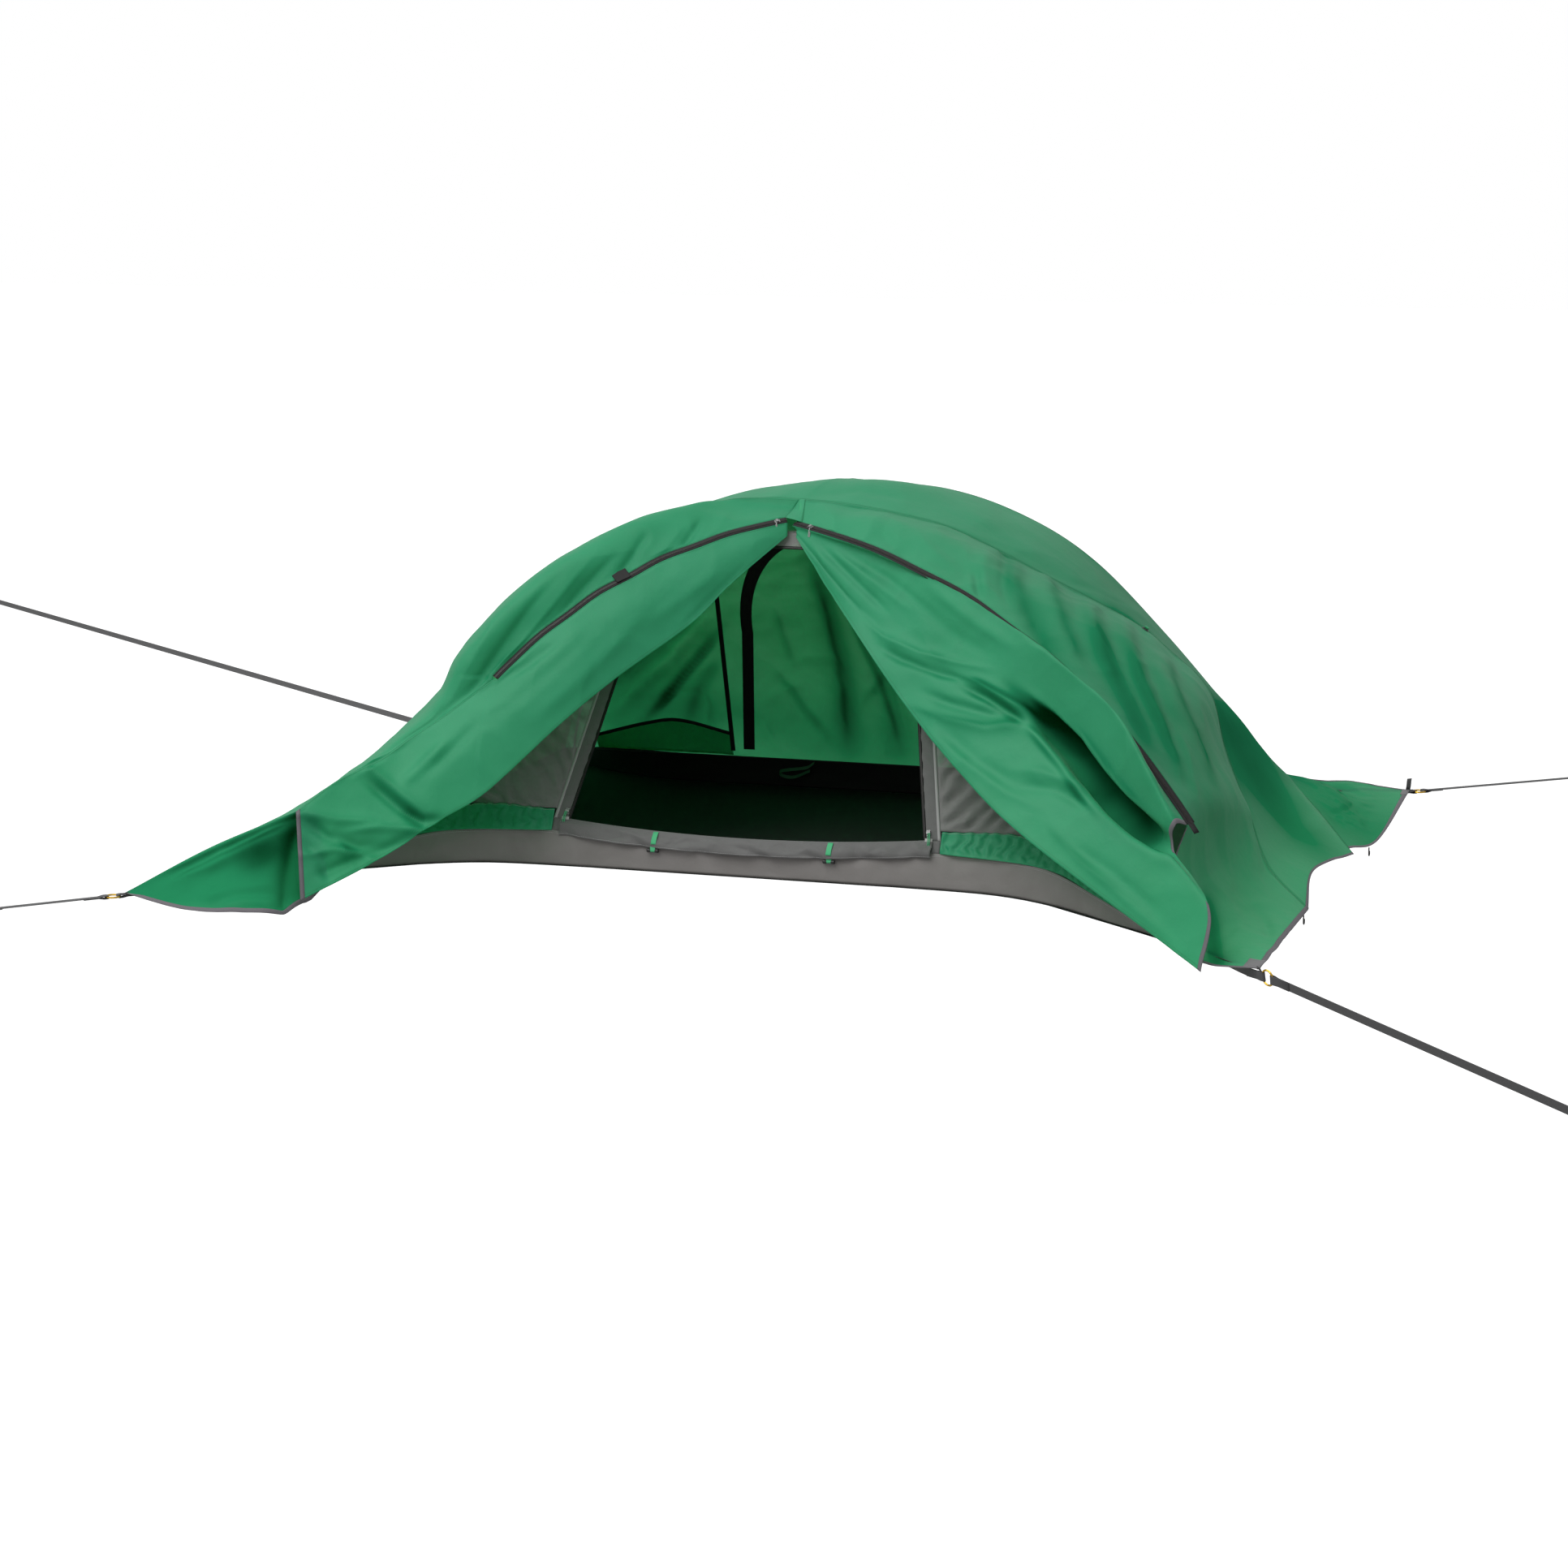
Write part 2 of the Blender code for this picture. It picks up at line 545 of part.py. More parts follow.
def wall_panel(name, outline, side, mat, stand=0.0, thickness=FABRIC, holes=()):
    """A flat panel on the front (side -1) or rear (side 1) wall, from X and height pairs."""
    up = Vector((0, -side * WALL_SLOPE, 1)).normalized()
    x_dir = Vector((1, 0, 0))
    normal = x_dir.cross(up)
    origin = Vector(on_wall(0.0, WALL_FOOT_Z, side)) + normal * stand
    stretch = math.hypot(1, WALL_SLOPE)
    flat = [(x, (z - WALL_FOOT_Z) * stretch) for x, z in outline]
    cut = [[(x, (z - WALL_FOOT_Z) * stretch) for x, z in hole] for hole in holes]
    return flat_panel(name, flat, origin, x_dir, up, mat, thickness, cut)


def inner_edge(sign):
    rows = [(sign * x * RING_SPAN_X / 2, 0, z * FLY_TOP) for x, z in INNER_EDGE_SHARES]
    line = spline(rows, INNER_EDGE_POINTS)
    return [(p[0], p[2]) for p in line]


def jamb(sign, z):
    """The doorway's side edge at a height, straight up to the jamb's top, then curving in."""
    low = (z - DOOR_SILL_Z) / (DOOR_JAMB_TOP_Z - DOOR_SILL_Z)
    if low <= 1:
        return sign * (DOOR_HALF_WIDTH + (DOOR_JAMB_TOP_HALF - DOOR_HALF_WIDTH) * low)
    high = (z - DOOR_JAMB_TOP_Z) / (DOOR_TOP_Z - DOOR_JAMB_TOP_Z)
    reach = DOOR_JAMB_TOP_HALF - DOOR_TOP_HALF
    return sign * (DOOR_TOP_HALF + reach * math.sqrt(max(0.0, 1 - high ** 2)))


def doorway(sign, shrink=0.0):
    """The doorway's edge on one side, from the sill to the top."""
    levels = [DOOR_SILL_Z, (DOOR_SILL_Z + DOOR_JAMB_TOP_Z) / 2, DOOR_JAMB_TOP_Z]
    rise = DOOR_TOP_Z - DOOR_JAMB_TOP_Z
    turns = [math.pi / 2 * k / DOOR_CURVE_STEPS for k in range(1, DOOR_CURVE_STEPS + 1)]
    curve = [DOOR_JAMB_TOP_Z + rise * math.sin(turn) for turn in turns]
    line = []
    for z in levels + curve:
        line.append((jamb(sign, z) + sign * shrink, z + (shrink if z == DOOR_TOP_Z else 0.0)))
    return line


def panel_inner_x():
    """Where the green corner panels start, beside the doorway's taped zips."""
    return DOOR_HALF_WIDTH + TAPE_WIDTH + SEAM_GAP * 2


def build_front_wall(mats):
    """Mesh either side of the doorway, the taped zips, the sill and the green corner panels."""
    foot = WALL_FOOT_Z + SEAM_GAP
    for side_name, sign in (("left", -1), ("right", 1)):
        edge = inner_edge(sign)
        tape_out = [(x + sign * TAPE_WIDTH, z) for x, z in doorway(sign)[:3]]
        wall_panel("inner_tape_" + side_name, doorway(sign)[:3] + tape_out[::-1], -1, mats["tape"])
        lower = [(x, z) for x, z in edge if z > GUSSET_FOOT_Z]
        jamb_line = [(x + sign * SEAM_GAP, z) for x, z in tape_out]
        jamb_line[0] = (jamb_line[0][0], GUSSET_FOOT_Z)
        jamb_line[2] = (jamb_line[2][0], jamb_line[2][1] + SEAM_GAP)
        door_top = [(x + sign * SEAM_GAP, z + SEAM_GAP) for x, z in doorway(sign)[3:]]
        outline = [(edge[0][0] * INSET_SHARE, GUSSET_FOOT_Z)] + lower
        outline += [(sign * DOOR_TOP_HALF, WALL_TOP_Z)] + door_top[::-1]
        outline += [(doorway(sign)[2][0] + sign * SEAM_GAP, DOOR_JAMB_TOP_Z + SEAM_GAP)] + jamb_line[::-1]
        wall_panel("inner_gusset_" + side_name, outline, -1, mats["mesh"])
        top = [at((sign * x, -y, z)) for x, y, z in CORNER_PANEL_SHARES]
        low = [at((sign * x, -y, z)) for x, y, z in TUB_TOP_SHARES[2:]]
        top[0] = (sign * panel_inner_x(), *top[0][1:])
        low[0] = (top[0][0], -WALL_FOOT_Y, WALL_FOOT_Z)
        grid = loft_grid([spline(top, PANEL_COLUMNS), spline(low, PANEL_COLUMNS)], PANEL_ROWS)
        surface("inner_corner_panel_" + side_name, drawn_in(grid, PANEL_GAP), mats["green"])
    half = DOOR_TOP_HALF - SEAM_GAP
    peak_z = DOOR_TOP_Z + SEAM_GAP
    top = [(-half, peak_z), (half, peak_z), (half, WALL_TOP_Z), (-half, WALL_TOP_Z)]
    wall_panel("inner_front_peak", top, -1, mats["mesh"])
    sill_half = panel_inner_x() - SEAM_GAP
    sill = [(-sill_half, foot), (sill_half, foot)]
    sill += [(float(x), sill_z(x) - SEAM_GAP) for x in np.linspace(sill_half, -sill_half, SILL_POINTS)]
    wall_panel("inner_sill", sill, -1, mats["mesh"])


def build_rear_wall(mats):
    """The closed rear wall, with the zip band of its own door on the inner face."""
    left = inner_edge(-1)
    right = inner_edge(1)
    outline = [(x, max(z, WALL_FOOT_Z + SEAM_GAP)) for x, z in left + right[::-1]]
    wall_panel("inner_rear_wall", outline, 1, mats["mesh"])
    inner = [(x * REAR_DOOR_SHARE, z * REAR_DOOR_RISE_SHARE) for x, z in doorway(-1) + doorway(1)[::-1]]
    wide = [(x * REAR_DOOR_SHARE, z * REAR_DOOR_RISE_SHARE)
            for x, z in doorway(-1, REAR_ZIP_WIDTH) + doorway(1, REAR_ZIP_WIDTH)[::-1]]
    wall_panel("rear_door_zip", inner + wide[::-1], 1, mats["binding"], FABRIC + CLEAR)


def build_inner_sides(mats):
    """Side walls ruled between the front and rear corner lines, and the small roof."""
    for name, sign in (("inner_left_wall", -1), ("inner_right_wall", 1)):
        rows = []
        for share in (-1, 0, 1):
            line = []
            for x, z in inner_edge(sign):
                reach = wall_y(z) - SEAM_GAP - FABRIC
                line.append((x + sign * (SEAM_GAP + FABRIC), share * reach, z + SEAM_GAP))
            rows.append(line)
        surface(name, np.array(rows), mats["green"])
    x_half = INNER_EDGE_SHARES[-1][0] * RING_SPAN_X / 2
    y_half = wall_y(WALL_TOP_Z)
    flat_panel("inner_roof", [(-x_half, -y_half), (x_half, -y_half), (x_half, y_half), (-x_half, y_half)],
               (0, 0, WALL_TOP_Z + FABRIC + CLEAR), (1, 0, 0), (0, 1, 0), mats["mesh"])


def box(name, size, centre, x_dir, y_dir, mat):
    """A block of a size, with its first two sides along two directions."""
    bm = bmesh.new()
    bmesh.ops.create_cube(bm, size=1.0)
    bmesh.ops.scale(bm, vec=size, verts=bm.verts)
    mesh = bpy.data.meshes.new(name)
    bm.to_mesh(mesh)
    bm.free()
    obj = link(name, mesh, mat)
    x_dir = Vector(x_dir).normalized()
    y_dir = Vector(y_dir).normalized()
    frame = Matrix((x_dir, y_dir, x_dir.cross(y_dir))).transposed().to_4x4()
    obj.matrix_world = Matrix.Translation(Vector(centre)) @ frame
    return obj


def united(obj, other):
    """Boolean union with a hidden guide piece."""
    bpy.data.collections[HOME].objects.unlink(other)
    bpy.data.collections[GUIDES].objects.link(other)
    other.hide_render = True
    other.display_type = "WIRE"
    union = obj.modifiers.new("union", "BOOLEAN")
    union.operation = "UNION"
    union.object = other


def slider(name, place, along, normal, empty, mat):
    """A zip slider: base plate, bridge and the pull lying back, cut as one side profile."""
    outline = [(x * SLIDER_LENGTH, y * SLIDER_HEIGHT) for x, y in SLIDER_SHARES]
    hole = [(x * SLIDER_LENGTH, y * SLIDER_HEIGHT) for x, y in SLIDER_HOLE_SHARES]
    carry(flat_panel(name, outline, place, along, normal, mat, SLIDER_WIDTH, [hole]), empty)


def sill_z(x):
    """Height of the doorway's sill, which sags between its two ends."""
    return DOOR_SILL_Z - SILL_SAG * max(0.0, 1 - (x / DOOR_HALF_WIDTH) ** 2)


def lowered_y(x, z):
    """Distance of the lowered inner door from the middle, where it billows off the sill."""
    share = (sill_z(x) - z) / LOWERED_DROP
    return wall_y(z) + FABRIC + CLEAR + LOWERED_BILLOW * math.sin(math.pi * share * LOWERED_ROUND_SHARE)


def build_doorway_fittings(mats):
    """The lowered inner door, its toggles, the sliders at the sill and the gear loop."""
    half = DOOR_HALF_WIDTH + TAPE_WIDTH / 2
    rows = []
    for share in LOWERED_ROW_SHARES:
        row = []
        for x in np.linspace(-half, half, SILL_POINTS):
            z = sill_z(x) - SEAM_GAP - share * LOWERED_DROP
            row.append((x, -lowered_y(x, z), z))
        rows.append(row)
    surface("inner_door_lowered", np.array(rows), mats["mesh"])
    ribbon_x = TOGGLE_X - RIBBON_WIDTH / 2
    hung_y = max(lowered_y(ribbon_x, z) for z in (TOGGLE_PIVOT_Z, sill_z(ribbon_x) - LOWERED_DROP))
    pivot_y = -hung_y - FABRIC / 2 - CLEAR - WEB_THICK / 2
    for name, sign in (("left", -1), ("right", 1)):
        x = sign * TOGGLE_X
        empty = pivot("toggle_pivot_" + name, (x, pivot_y, TOGGLE_PIVOT_Z))
        bar_z = TOGGLE_PIVOT_Z - RIBBON_DROP
        bar = tube("sill_toggle_" + name, [(x - TOGGLE_LENGTH / 2, pivot_y, bar_z),
                                           (x + TOGGLE_LENGTH / 2, pivot_y, bar_z)],
                   TOGGLE_RADIUS * 2, mats["plastic"])
        graph = bpy.context.evaluated_depsgraph_get()
        mesh = bpy.data.meshes.new_from_object(bar.evaluated_get(graph))
        bm = bmesh.new()
        bm.from_mesh(mesh)
        bmesh.ops.remove_doubles(bm, verts=bm.verts, dist=MERGE)
        bm.to_mesh(mesh)
        bm.free()
        bpy.data.objects.remove(bar, do_unlink=True)
        toggle = link("sill_toggle_" + name, mesh, mats["plastic"])
        ribbon_body = box("ribbon_guide_" + name, (RIBBON_WIDTH, WEB_THICK, RIBBON_DROP),
                          (x, pivot_y, TOGGLE_PIVOT_Z - RIBBON_DROP / 2), (1, 0, 0), (0, 1, 0), mats["green"])
        united(toggle, ribbon_body)
        carry(toggle, empty)
        foot = on_wall(jamb(sign, SLIDER_PARK_Z) + sign * ZIP_TAPE / 2, SLIDER_PARK_Z, -1)
        upper = on_wall(jamb(sign, DOOR_JAMB_TOP_Z) + sign * ZIP_TAPE / 2, DOOR_JAMB_TOP_Z, -1)
        along = (upper - foot) / np.linalg.norm(upper - foot)
        out = np.array([0.0, -1.0, WALL_SLOPE])
        out -= along * np.dot(out, along)
        out /= np.linalg.norm(out)
        place = foot + out * (FABRIC / 2 + CLEAR)
        empty = pivot("inner_slider_pivot_" + name, place)
        slider("inner_slider_" + name, place, along, out, empty, mats["steel"])
    low_y = -FLOOR_FRONT_SHARES[0][1] * TUB_INSET_SHARE * RING_SPAN_Y / 2
    lean = (WALL_FOOT_Y - low_y) / (WALL_FOOT_Z - FLOOR_Z)
    tub_y = low_y + lean * (GEAR_LOOP_Z - FLOOR_Z) - FABRIC / 2 - CLEAR * 2 - WEB_THICK / 2
    path = []
    for k, rise in enumerate(GEAR_RISE_SHARES):
        x = GEAR_LOOP_X + GEAR_LOOP_LENGTH * (k / (len(GEAR_RISE_SHARES) - 1) - 1 / 2)
        path.append((x, tub_y - rise * GEAR_LOOP_RISE, GEAR_LOOP_Z))
    ribbon("gear_loop", path, [(0, lean, 1)] * len(path), RIBBON_WIDTH, mats["green"])


def pole_half(foot, crown_z, count):
    """A pole from the crown down to a foot, as a curve flatter on top than at the sides."""
    crown = np.array([POLE_CROWN_X, POLE_CROWN_Y, crown_z])
    line = []
    for k in range(count):
        angle = math.pi / 2 * k / (count - 1)
        run = math.sin(angle) ** (2 / POLE_POWER)
        rise = math.cos(angle) ** (2 / POLE_POWER)
        place = crown + (foot - crown) * run
        place[2] = foot[2] + (crown_z - foot[2]) * rise
        line.append(place)
    return line


def build_poles(mats):
    """Two crossing poles with their ferrules and tips, the foot pockets and the crown clip."""
    y = POLE_FOOT_Y_SHARE * RING_SPAN_Y / 2
    left_x = -POLE_FOOT_LEFT_SHARE * RING_SPAN_X / 2
    right_x = POLE_FOOT_RIGHT_SHARE * RING_SPAN_X / 2
    lower_crown = POLE_CROWN_Z - FERRULE_DIA - CLEAR
    for name, side, crown_z in (("pole_a", -1, POLE_CROWN_Z), ("pole_b", 1, lower_crown)):
        left = pole_half(np.array([left_x, side * y, POLE_FOOT_Z]), crown_z, POLE_STEPS)
        right = pole_half(np.array([right_x, -side * y, POLE_FOOT_Z]), crown_z, POLE_STEPS)
        route = list(spline(left[::-1] + right[1:], POLE_POINTS))
        swell = [1.0] * len(route)
        for joint in FERRULE_PLACES:
            swell[joint] = FERRULE_DIA / POLE_DIA
        swell[0] = swell[-1] = TIP_SHARE
        tube(name, route, POLE_DIA, mats["pole"], swell)
        for foot in (route[0], route[-1]):
            corner = ("f" if foot[1] < 0 else "b") + ("l" if foot[0] < 0 else "r")
            pocket("pole_pocket_" + corner, foot, mats["plastic"])
    clip_z = lower_crown - POLE_DIA / 2 - CLIP_GAP - FERRULE_DIA / 2
    clip_place = (POLE_CROWN_X, POLE_CROWN_Y, clip_z)
    box("crown_clip", (CLIP_SIZE, CLIP_SIZE, FERRULE_DIA), clip_place, (1, 0, 0), (0, 1, 0), mats["plastic"])


def pocket(name, foot, mat):
    """The cup on the floor that a pole's tip stands in, a turned shape."""
    bore = POLE_DIA / 2 + CLEAR * 2
    wall = POLE_DIA / 3
    depth = POLE_FOOT_Z - FLOOR_Z - FABRIC - CLEAR * 2
    lip = depth * POCKET_LIP_SHARE
    profile = [(0, -depth), (bore + wall, -depth), (bore + wall * POCKET_DRAFT_SHARE, lip), (bore, lip),
               (bore, -depth + wall), (0, -depth + wall)]
    bm = bmesh.new()
    verts = [bm.verts.new((x, 0, z)) for x, z in profile]
    for first, second in zip(verts, verts[1:]):
        bm.edges.new((first, second))
    mesh = bpy.data.meshes.new(name)
    bm.to_mesh(mesh)
    bm.free()
    obj = link(name, mesh, mat)
    turn = obj.modifiers.new("turn", "SCREW")
    turn.steps = POCKET_STEPS
    turn.render_steps = POCKET_STEPS
    turn.use_merge_vertices = True
    turn.merge_threshold = MERGE
    turn.use_normal_calculate = True
    turn.use_normal_flip = True
    obj.location = Vector((foot[0], foot[1], foot[2] - CLEAR))


def zip_arc(table):
    """The circle through three places of a zip, with its axis towards the front."""
    a, b, c = places(table)
    u = b - a
    v = c - a
    axis = np.cross(u, v)
    to_centre = np.dot(u, u) * np.cross(v, axis) + np.dot(v, v) * np.cross(axis, u)
    to_centre /= 2 * np.dot(axis, axis)
    centre = a + to_centre
    radius = np.linalg.norm(to_centre)
    first = (a - centre) / radius
    axis = axis / np.linalg.norm(axis)
    second = np.cross(axis, first)
    sweep = math.atan2(np.dot(c - centre, second), np.dot(c - centre, first))
    front = axis if axis[1] < 0 else -axis
    return {"centre": centre, "radius": radius, "axis": axis, "first": first, "second": second,
            "sweep": sweep, "front": front}


def arc_frame(arc, share):
    """At a share of the arc: its place, the tape's width direction and the tape's outward normal."""
    angle = arc["sweep"] * share
    out = arc["first"] * math.cos(angle) + arc["second"] * math.sin(angle)
    lean = math.radians(ZIP_LEAN)
    side = arc["front"] * math.cos(lean) - out * math.sin(lean)
    normal = out * math.cos(lean) + arc["front"] * math.sin(lean)
    return arc["centre"] + out * arc["radius"], side, normal


def arc_place(arc, share, aside=0.0, lift=0.0):
    place, side, normal = arc_frame(arc, share)
    return place + side * aside + normal * lift


def arc_row(arc, aside, count):
    return [arc_place(arc, k / (count - 1), aside) for k in range(count)]


def middle(low, high, belly):
    """A row half way between two rows, pushed outwards, most at its middle."""
    rows = []
    for k, (a, b) in enumerate(zip(low, high)):
        mid = (np.array(a) + np.array(b)) / 2
        out = np.array([mid[0] / 2, mid[1], FLY_TOP / 2])
        rows.append(mid + out / np.linalg.norm(out) * belly * math.sin(math.pi * k / (len(low) - 1)))
    return rows


def build_fly(mats):
    """The outer tent: roof strip, front bands, both door halves, left wing and rear."""
    green = mats["green"]
    tape = ZIP_TAPE / 2
    arc_left = zip_arc(ZIP_LEFT_SHARES)
    arc_right = zip_arc(ZIP_RIGHT_SHARES)
    brow_left = list(spline(places(BROW_LEFT_SHARES), HALF_COLUMNS))
    brow_right = list(spline(places(BROW_RIGHT_SHARES), HALF_COLUMNS))
    rear_left = list(spline(places(REAR_LEFT_SHARES), HALF_COLUMNS))
    rear_right = list(spline(places(REAR_RIGHT_SHARES), HALF_COLUMNS))
    brow = brow_left[::-1] + brow_right[1:]
    rear = rear_left[::-1] + rear_right[1:]
    mid = list(spline(places(ROOF_MID_LEFT_SHARES), HALF_COLUMNS))[::-1]
    mid += list(spline(places(ROOF_MID_RIGHT_SHARES), HALF_COLUMNS))[1:]
    surface("fly_roof", drawn_in(loft_grid([brow, mid, rear], SHEET_ROWS)), green)

    wing_count = HALF_COLUMNS - ZIP_COLUMNS - EDGE_COLUMNS + 2
    edge = [arc_place(arc_left, 1.0)] + places(EDGE_LEFT_SHARES)
    edge = list(spline(edge, EDGE_COLUMNS))[1:]
    fold_end = edge[-1]
    tip_left = at(WING_TIP_LEFT_SHARES)
    wing_top = list(spline([fold_end, at(WING_MID_LEFT_SHARES), tip_left], wing_count))[1:]
    bottom = arc_row(arc_left, -tape, ZIP_COLUMNS) + edge + wing_top
    crest = spline(places(CREST_LEFT_SHARES), HALF_COLUMNS)
    band_left = drawn_in(loft_grid([brow_left, crest, bottom], SHEET_ROWS))
    surface("fly_band_left", band_left, green)

    hem = spline(places(WING_HEM_LEFT_SHARES), wing_count)
    wing_line = [fold_end] + wing_top
    surface("fly_wing_left", drawn_in(loft_grid([wing_line[::-1], hem], WING_ROWS), FLY_GAP), green)

    door_top = arc_row(arc_left, tape, ZIP_COLUMNS) + edge
    door_free = spline(places(FREE_LEFT_SHARES), len(door_top))
    folds = middle(door_top, door_free, DOOR_BELLY)
    surface("fly_door_left", drawn_in(loft_grid([door_top, folds, door_free], SHEET_ROWS), FLY_GAP), green)

    foot_count = HALF_COLUMNS - FOOT_START
    foot = [arc_place(arc_right, 1.0)] + places(BAND_FOOT_RIGHT_SHARES)
    foot = list(spline(foot, foot_count + 1))[1:]
    bottom = arc_row(arc_right, -tape, HALF_COLUMNS - foot_count) + foot
    bottom[0] = arc_place(arc_left, 0.0, -tape) + np.array([FLY_GAP * 2, 0, 0])
    belly = middle(brow_right, bottom, BAND_BELLY)
    band_right = drawn_in(loft_grid([brow_right, belly, bottom], SHEET_ROWS))
    surface("fly_band_right", band_right, green)

    door_top = arc_row(arc_right, tape + FLY_GAP, DOOR_COLUMNS)
    rows = [door_top]
    for table in (DOOR_FOLD_SHARES, DOOR_VALLEY_SHARES, DOOR_CREST_SHARES, FREE_RIGHT_SHARES):
        rows.append(spline(places(table), DOOR_COLUMNS))
    surface("fly_door_right", drawn_in(loft_grid(rows, DOOR_ROWS), FLY_GAP), green, even=False)

    belly = spline(places(REAR_BELLY_SHARES), len(rear))
    hem = spline(places(REAR_HEM_SHARES), len(rear))
    rear_grid = drawn_in(loft_grid([rear, belly, hem], SHEET_ROWS))
    surface("fly_rear", rear_grid, green)

    for name, arc in (("left", arc_left), ("right", arc_right)):
        count = ZIP_COLUMNS if name == "left" else DOOR_COLUMNS
        rows = [arc_row(arc, aside, count) for aside in (-tape, tape)]
        surface("fly_zip_" + name, drawn_in(np.array(rows), SEAM_GAP), mats["binding"])
        place, side, normal = arc_frame(arc, PARK_SHARES[name])
        place = place + normal * (FABRIC / 2 + CLEAR)
        along = np.cross(side, normal)
        along = along if along[2] < 0 else -along
        empty = pivot("fly_slider_pivot_" + name, arc["centre"])
        slider("fly_slider_" + name, place, along, normal, empty, mats["steel"])

    hook("hem_hook_right_front", band_right[:, -1], HOOK_FRONT_SHARE, mats["plastic"])
    hook("hem_hook_right_rear", rear_grid[:, -1], HOOK_REAR_SHARE, mats["plastic"])
    hook("hem_hook_left_front", band_left[:, -1], HOOK_FRONT_SHARE, mats["plastic"])
    hook("hem_hook_left_rear", rear_grid[:, 0], HOOK_REAR_SHARE, mats["plastic"])
    guy_loop("guy_loop_left", brow_left, band_left, mats["binding"])
    guy_loop("guy_loop_right", brow_right, band_right, mats["binding"])


def hook(name, column, y_share, mat):
    """A wire hook that hangs from the hem and swings along the hem's line."""
    y = y_share * RING_SPAN_Y / 2
    order = np.argsort(column[:, 1])
    x = float(np.interp(y, column[order, 1], column[order, 0]))
    z = float(np.interp(y, column[order, 1], column[order, 2]))
    top = np.array([x, y, z - FABRIC / 2 - HOOK_WIRE])
    empty = pivot(name + "_pivot", top)
    low = top - np.array([0, 0, HOOK_LENGTH / 2])
    path = [top + np.array([0, 0, HOOK_WIRE]), top, low]
    for k in range(1, HOOK_STEPS + 1):
        angle = math.pi * k / HOOK_STEPS
        path.append(low + np.array([0, HOOK_BEND * (1 - math.cos(angle)), -HOOK_BEND * math.sin(angle)]))
    path.append(path[-1] + np.array([0, 0, HOOK_BEND]))
    swell = [HOOK_TIP_SHARE] + [1.0] * (len(path) - 1)
    obj = tube(name, path, HOOK_WIRE * 2, mat, swell)
    carry(obj, empty)


def guy_loop(name, seam, band, mat):
    """A cord loop at the side seam, lying down the band from its sewn end."""
    goal = GUY_LOOP_SHARE * RING_SPAN_X / 2
    index = int(np.argmin([abs(abs(p[0]) - goal) for p in seam]))
    place = band[0, index]
    down = band[1, index] - place
    down /= np.linalg.norm(down)
    tangent = band[0, index + 1] - band[0, index - 1]
    tangent /= np.linalg.norm(tangent)
    normal = np.cross(tangent, down)
    normal *= math.copysign(1.0, normal[2]) / np.linalg.norm(normal)
    stand = normal * (FABRIC / 2 + CLEAR * 2 + LOOP_CORD / 2)
    centre = place + down * (GUY_LOOP_RADIUS + LOOP_CORD) + stand
    obj = ring(name, centre, normal, GUY_LOOP_RADIUS, LOOP_CORD / 2, mat)
    empty = pivot(name + "_pivot", place + stand)
    carry(obj, empty)


def main():
    clear_scene()
    mats = {
        "zinc": material("yellow_zinc", (0.62, 0.45, 0.12), 0.35, 1.0),
        "steel": material("steel", (0.55, 0.55, 0.56), 0.3, 1.0),
        "webbing": material("webbing", (0.06, 0.06, 0.065), 0.8),
        "floor": material("floor_fabric", (0.012, 0.014, 0.013), 0.7),
        "bathtub": material("bathtub_fabric", (0.13, 0.125, 0.12), 0.65),
        "mesh": material("mesh_fabric", (0.20, 0.20, 0.20), 0.8),
        "tape": material("grosgrain_tape", (0.30, 0.30, 0.30), 0.8),
        "binding": material("black_binding", (0.015, 0.015, 0.015), 0.7),
        "green": material("green_fabric", (0.02, 0.20, 0.08), 0.55),
        "plastic": material("black_plastic", (0.02, 0.02, 0.02), 0.45),
        "pole": material("pole_alloy", (0.30, 0.31, 0.33), 0.35, 1.0),
    }
    build_suspension(mats)
    build_floor(mats)
    build_bathtub(mats)
    build_front_wall(mats)
    build_rear_wall(mats)
    build_inner_sides(mats)
    build_doorway_fittings(mats)
    build_poles(mats)
    build_fly(mats)


main()
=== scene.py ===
"""Looks of the tree tent: a green fly over a mesh inner tent, hung in the air by four straps.

Metres, +Z up. X runs along the tent, the open front faces -Y, and Z = 0 is the plane of the rings.
Tables called shares give places as parts of half the ring span along X, half the span along Y,
and the height of the fly's top.
"""
import math

import bmesh
import bpy
import numpy as np
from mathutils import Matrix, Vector, noise


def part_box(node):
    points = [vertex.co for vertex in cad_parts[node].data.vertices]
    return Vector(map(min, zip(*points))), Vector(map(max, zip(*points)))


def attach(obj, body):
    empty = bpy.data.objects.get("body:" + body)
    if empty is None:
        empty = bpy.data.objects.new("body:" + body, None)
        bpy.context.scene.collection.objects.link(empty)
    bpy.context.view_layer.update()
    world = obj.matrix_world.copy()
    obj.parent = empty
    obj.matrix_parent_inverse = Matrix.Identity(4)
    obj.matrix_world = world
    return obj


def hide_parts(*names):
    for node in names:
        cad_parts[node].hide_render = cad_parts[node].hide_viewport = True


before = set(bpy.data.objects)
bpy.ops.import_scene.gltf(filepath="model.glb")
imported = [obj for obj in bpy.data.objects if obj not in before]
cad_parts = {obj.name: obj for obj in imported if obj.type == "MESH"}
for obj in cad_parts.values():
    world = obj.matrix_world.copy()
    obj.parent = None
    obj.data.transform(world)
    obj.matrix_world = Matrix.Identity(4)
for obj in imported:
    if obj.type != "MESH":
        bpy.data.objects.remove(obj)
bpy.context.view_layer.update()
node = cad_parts

# The camera stands where the photograph was taken, ahead and to the right of the tent,
# 2.4 m above its rings and 12 m off, with a long lens that keeps the sides nearly parallel.
CAMERA_PLACE = Vector((3.4896, -11.3686, 2.4))
CAMERA_PITCH = math.radians(10.56)
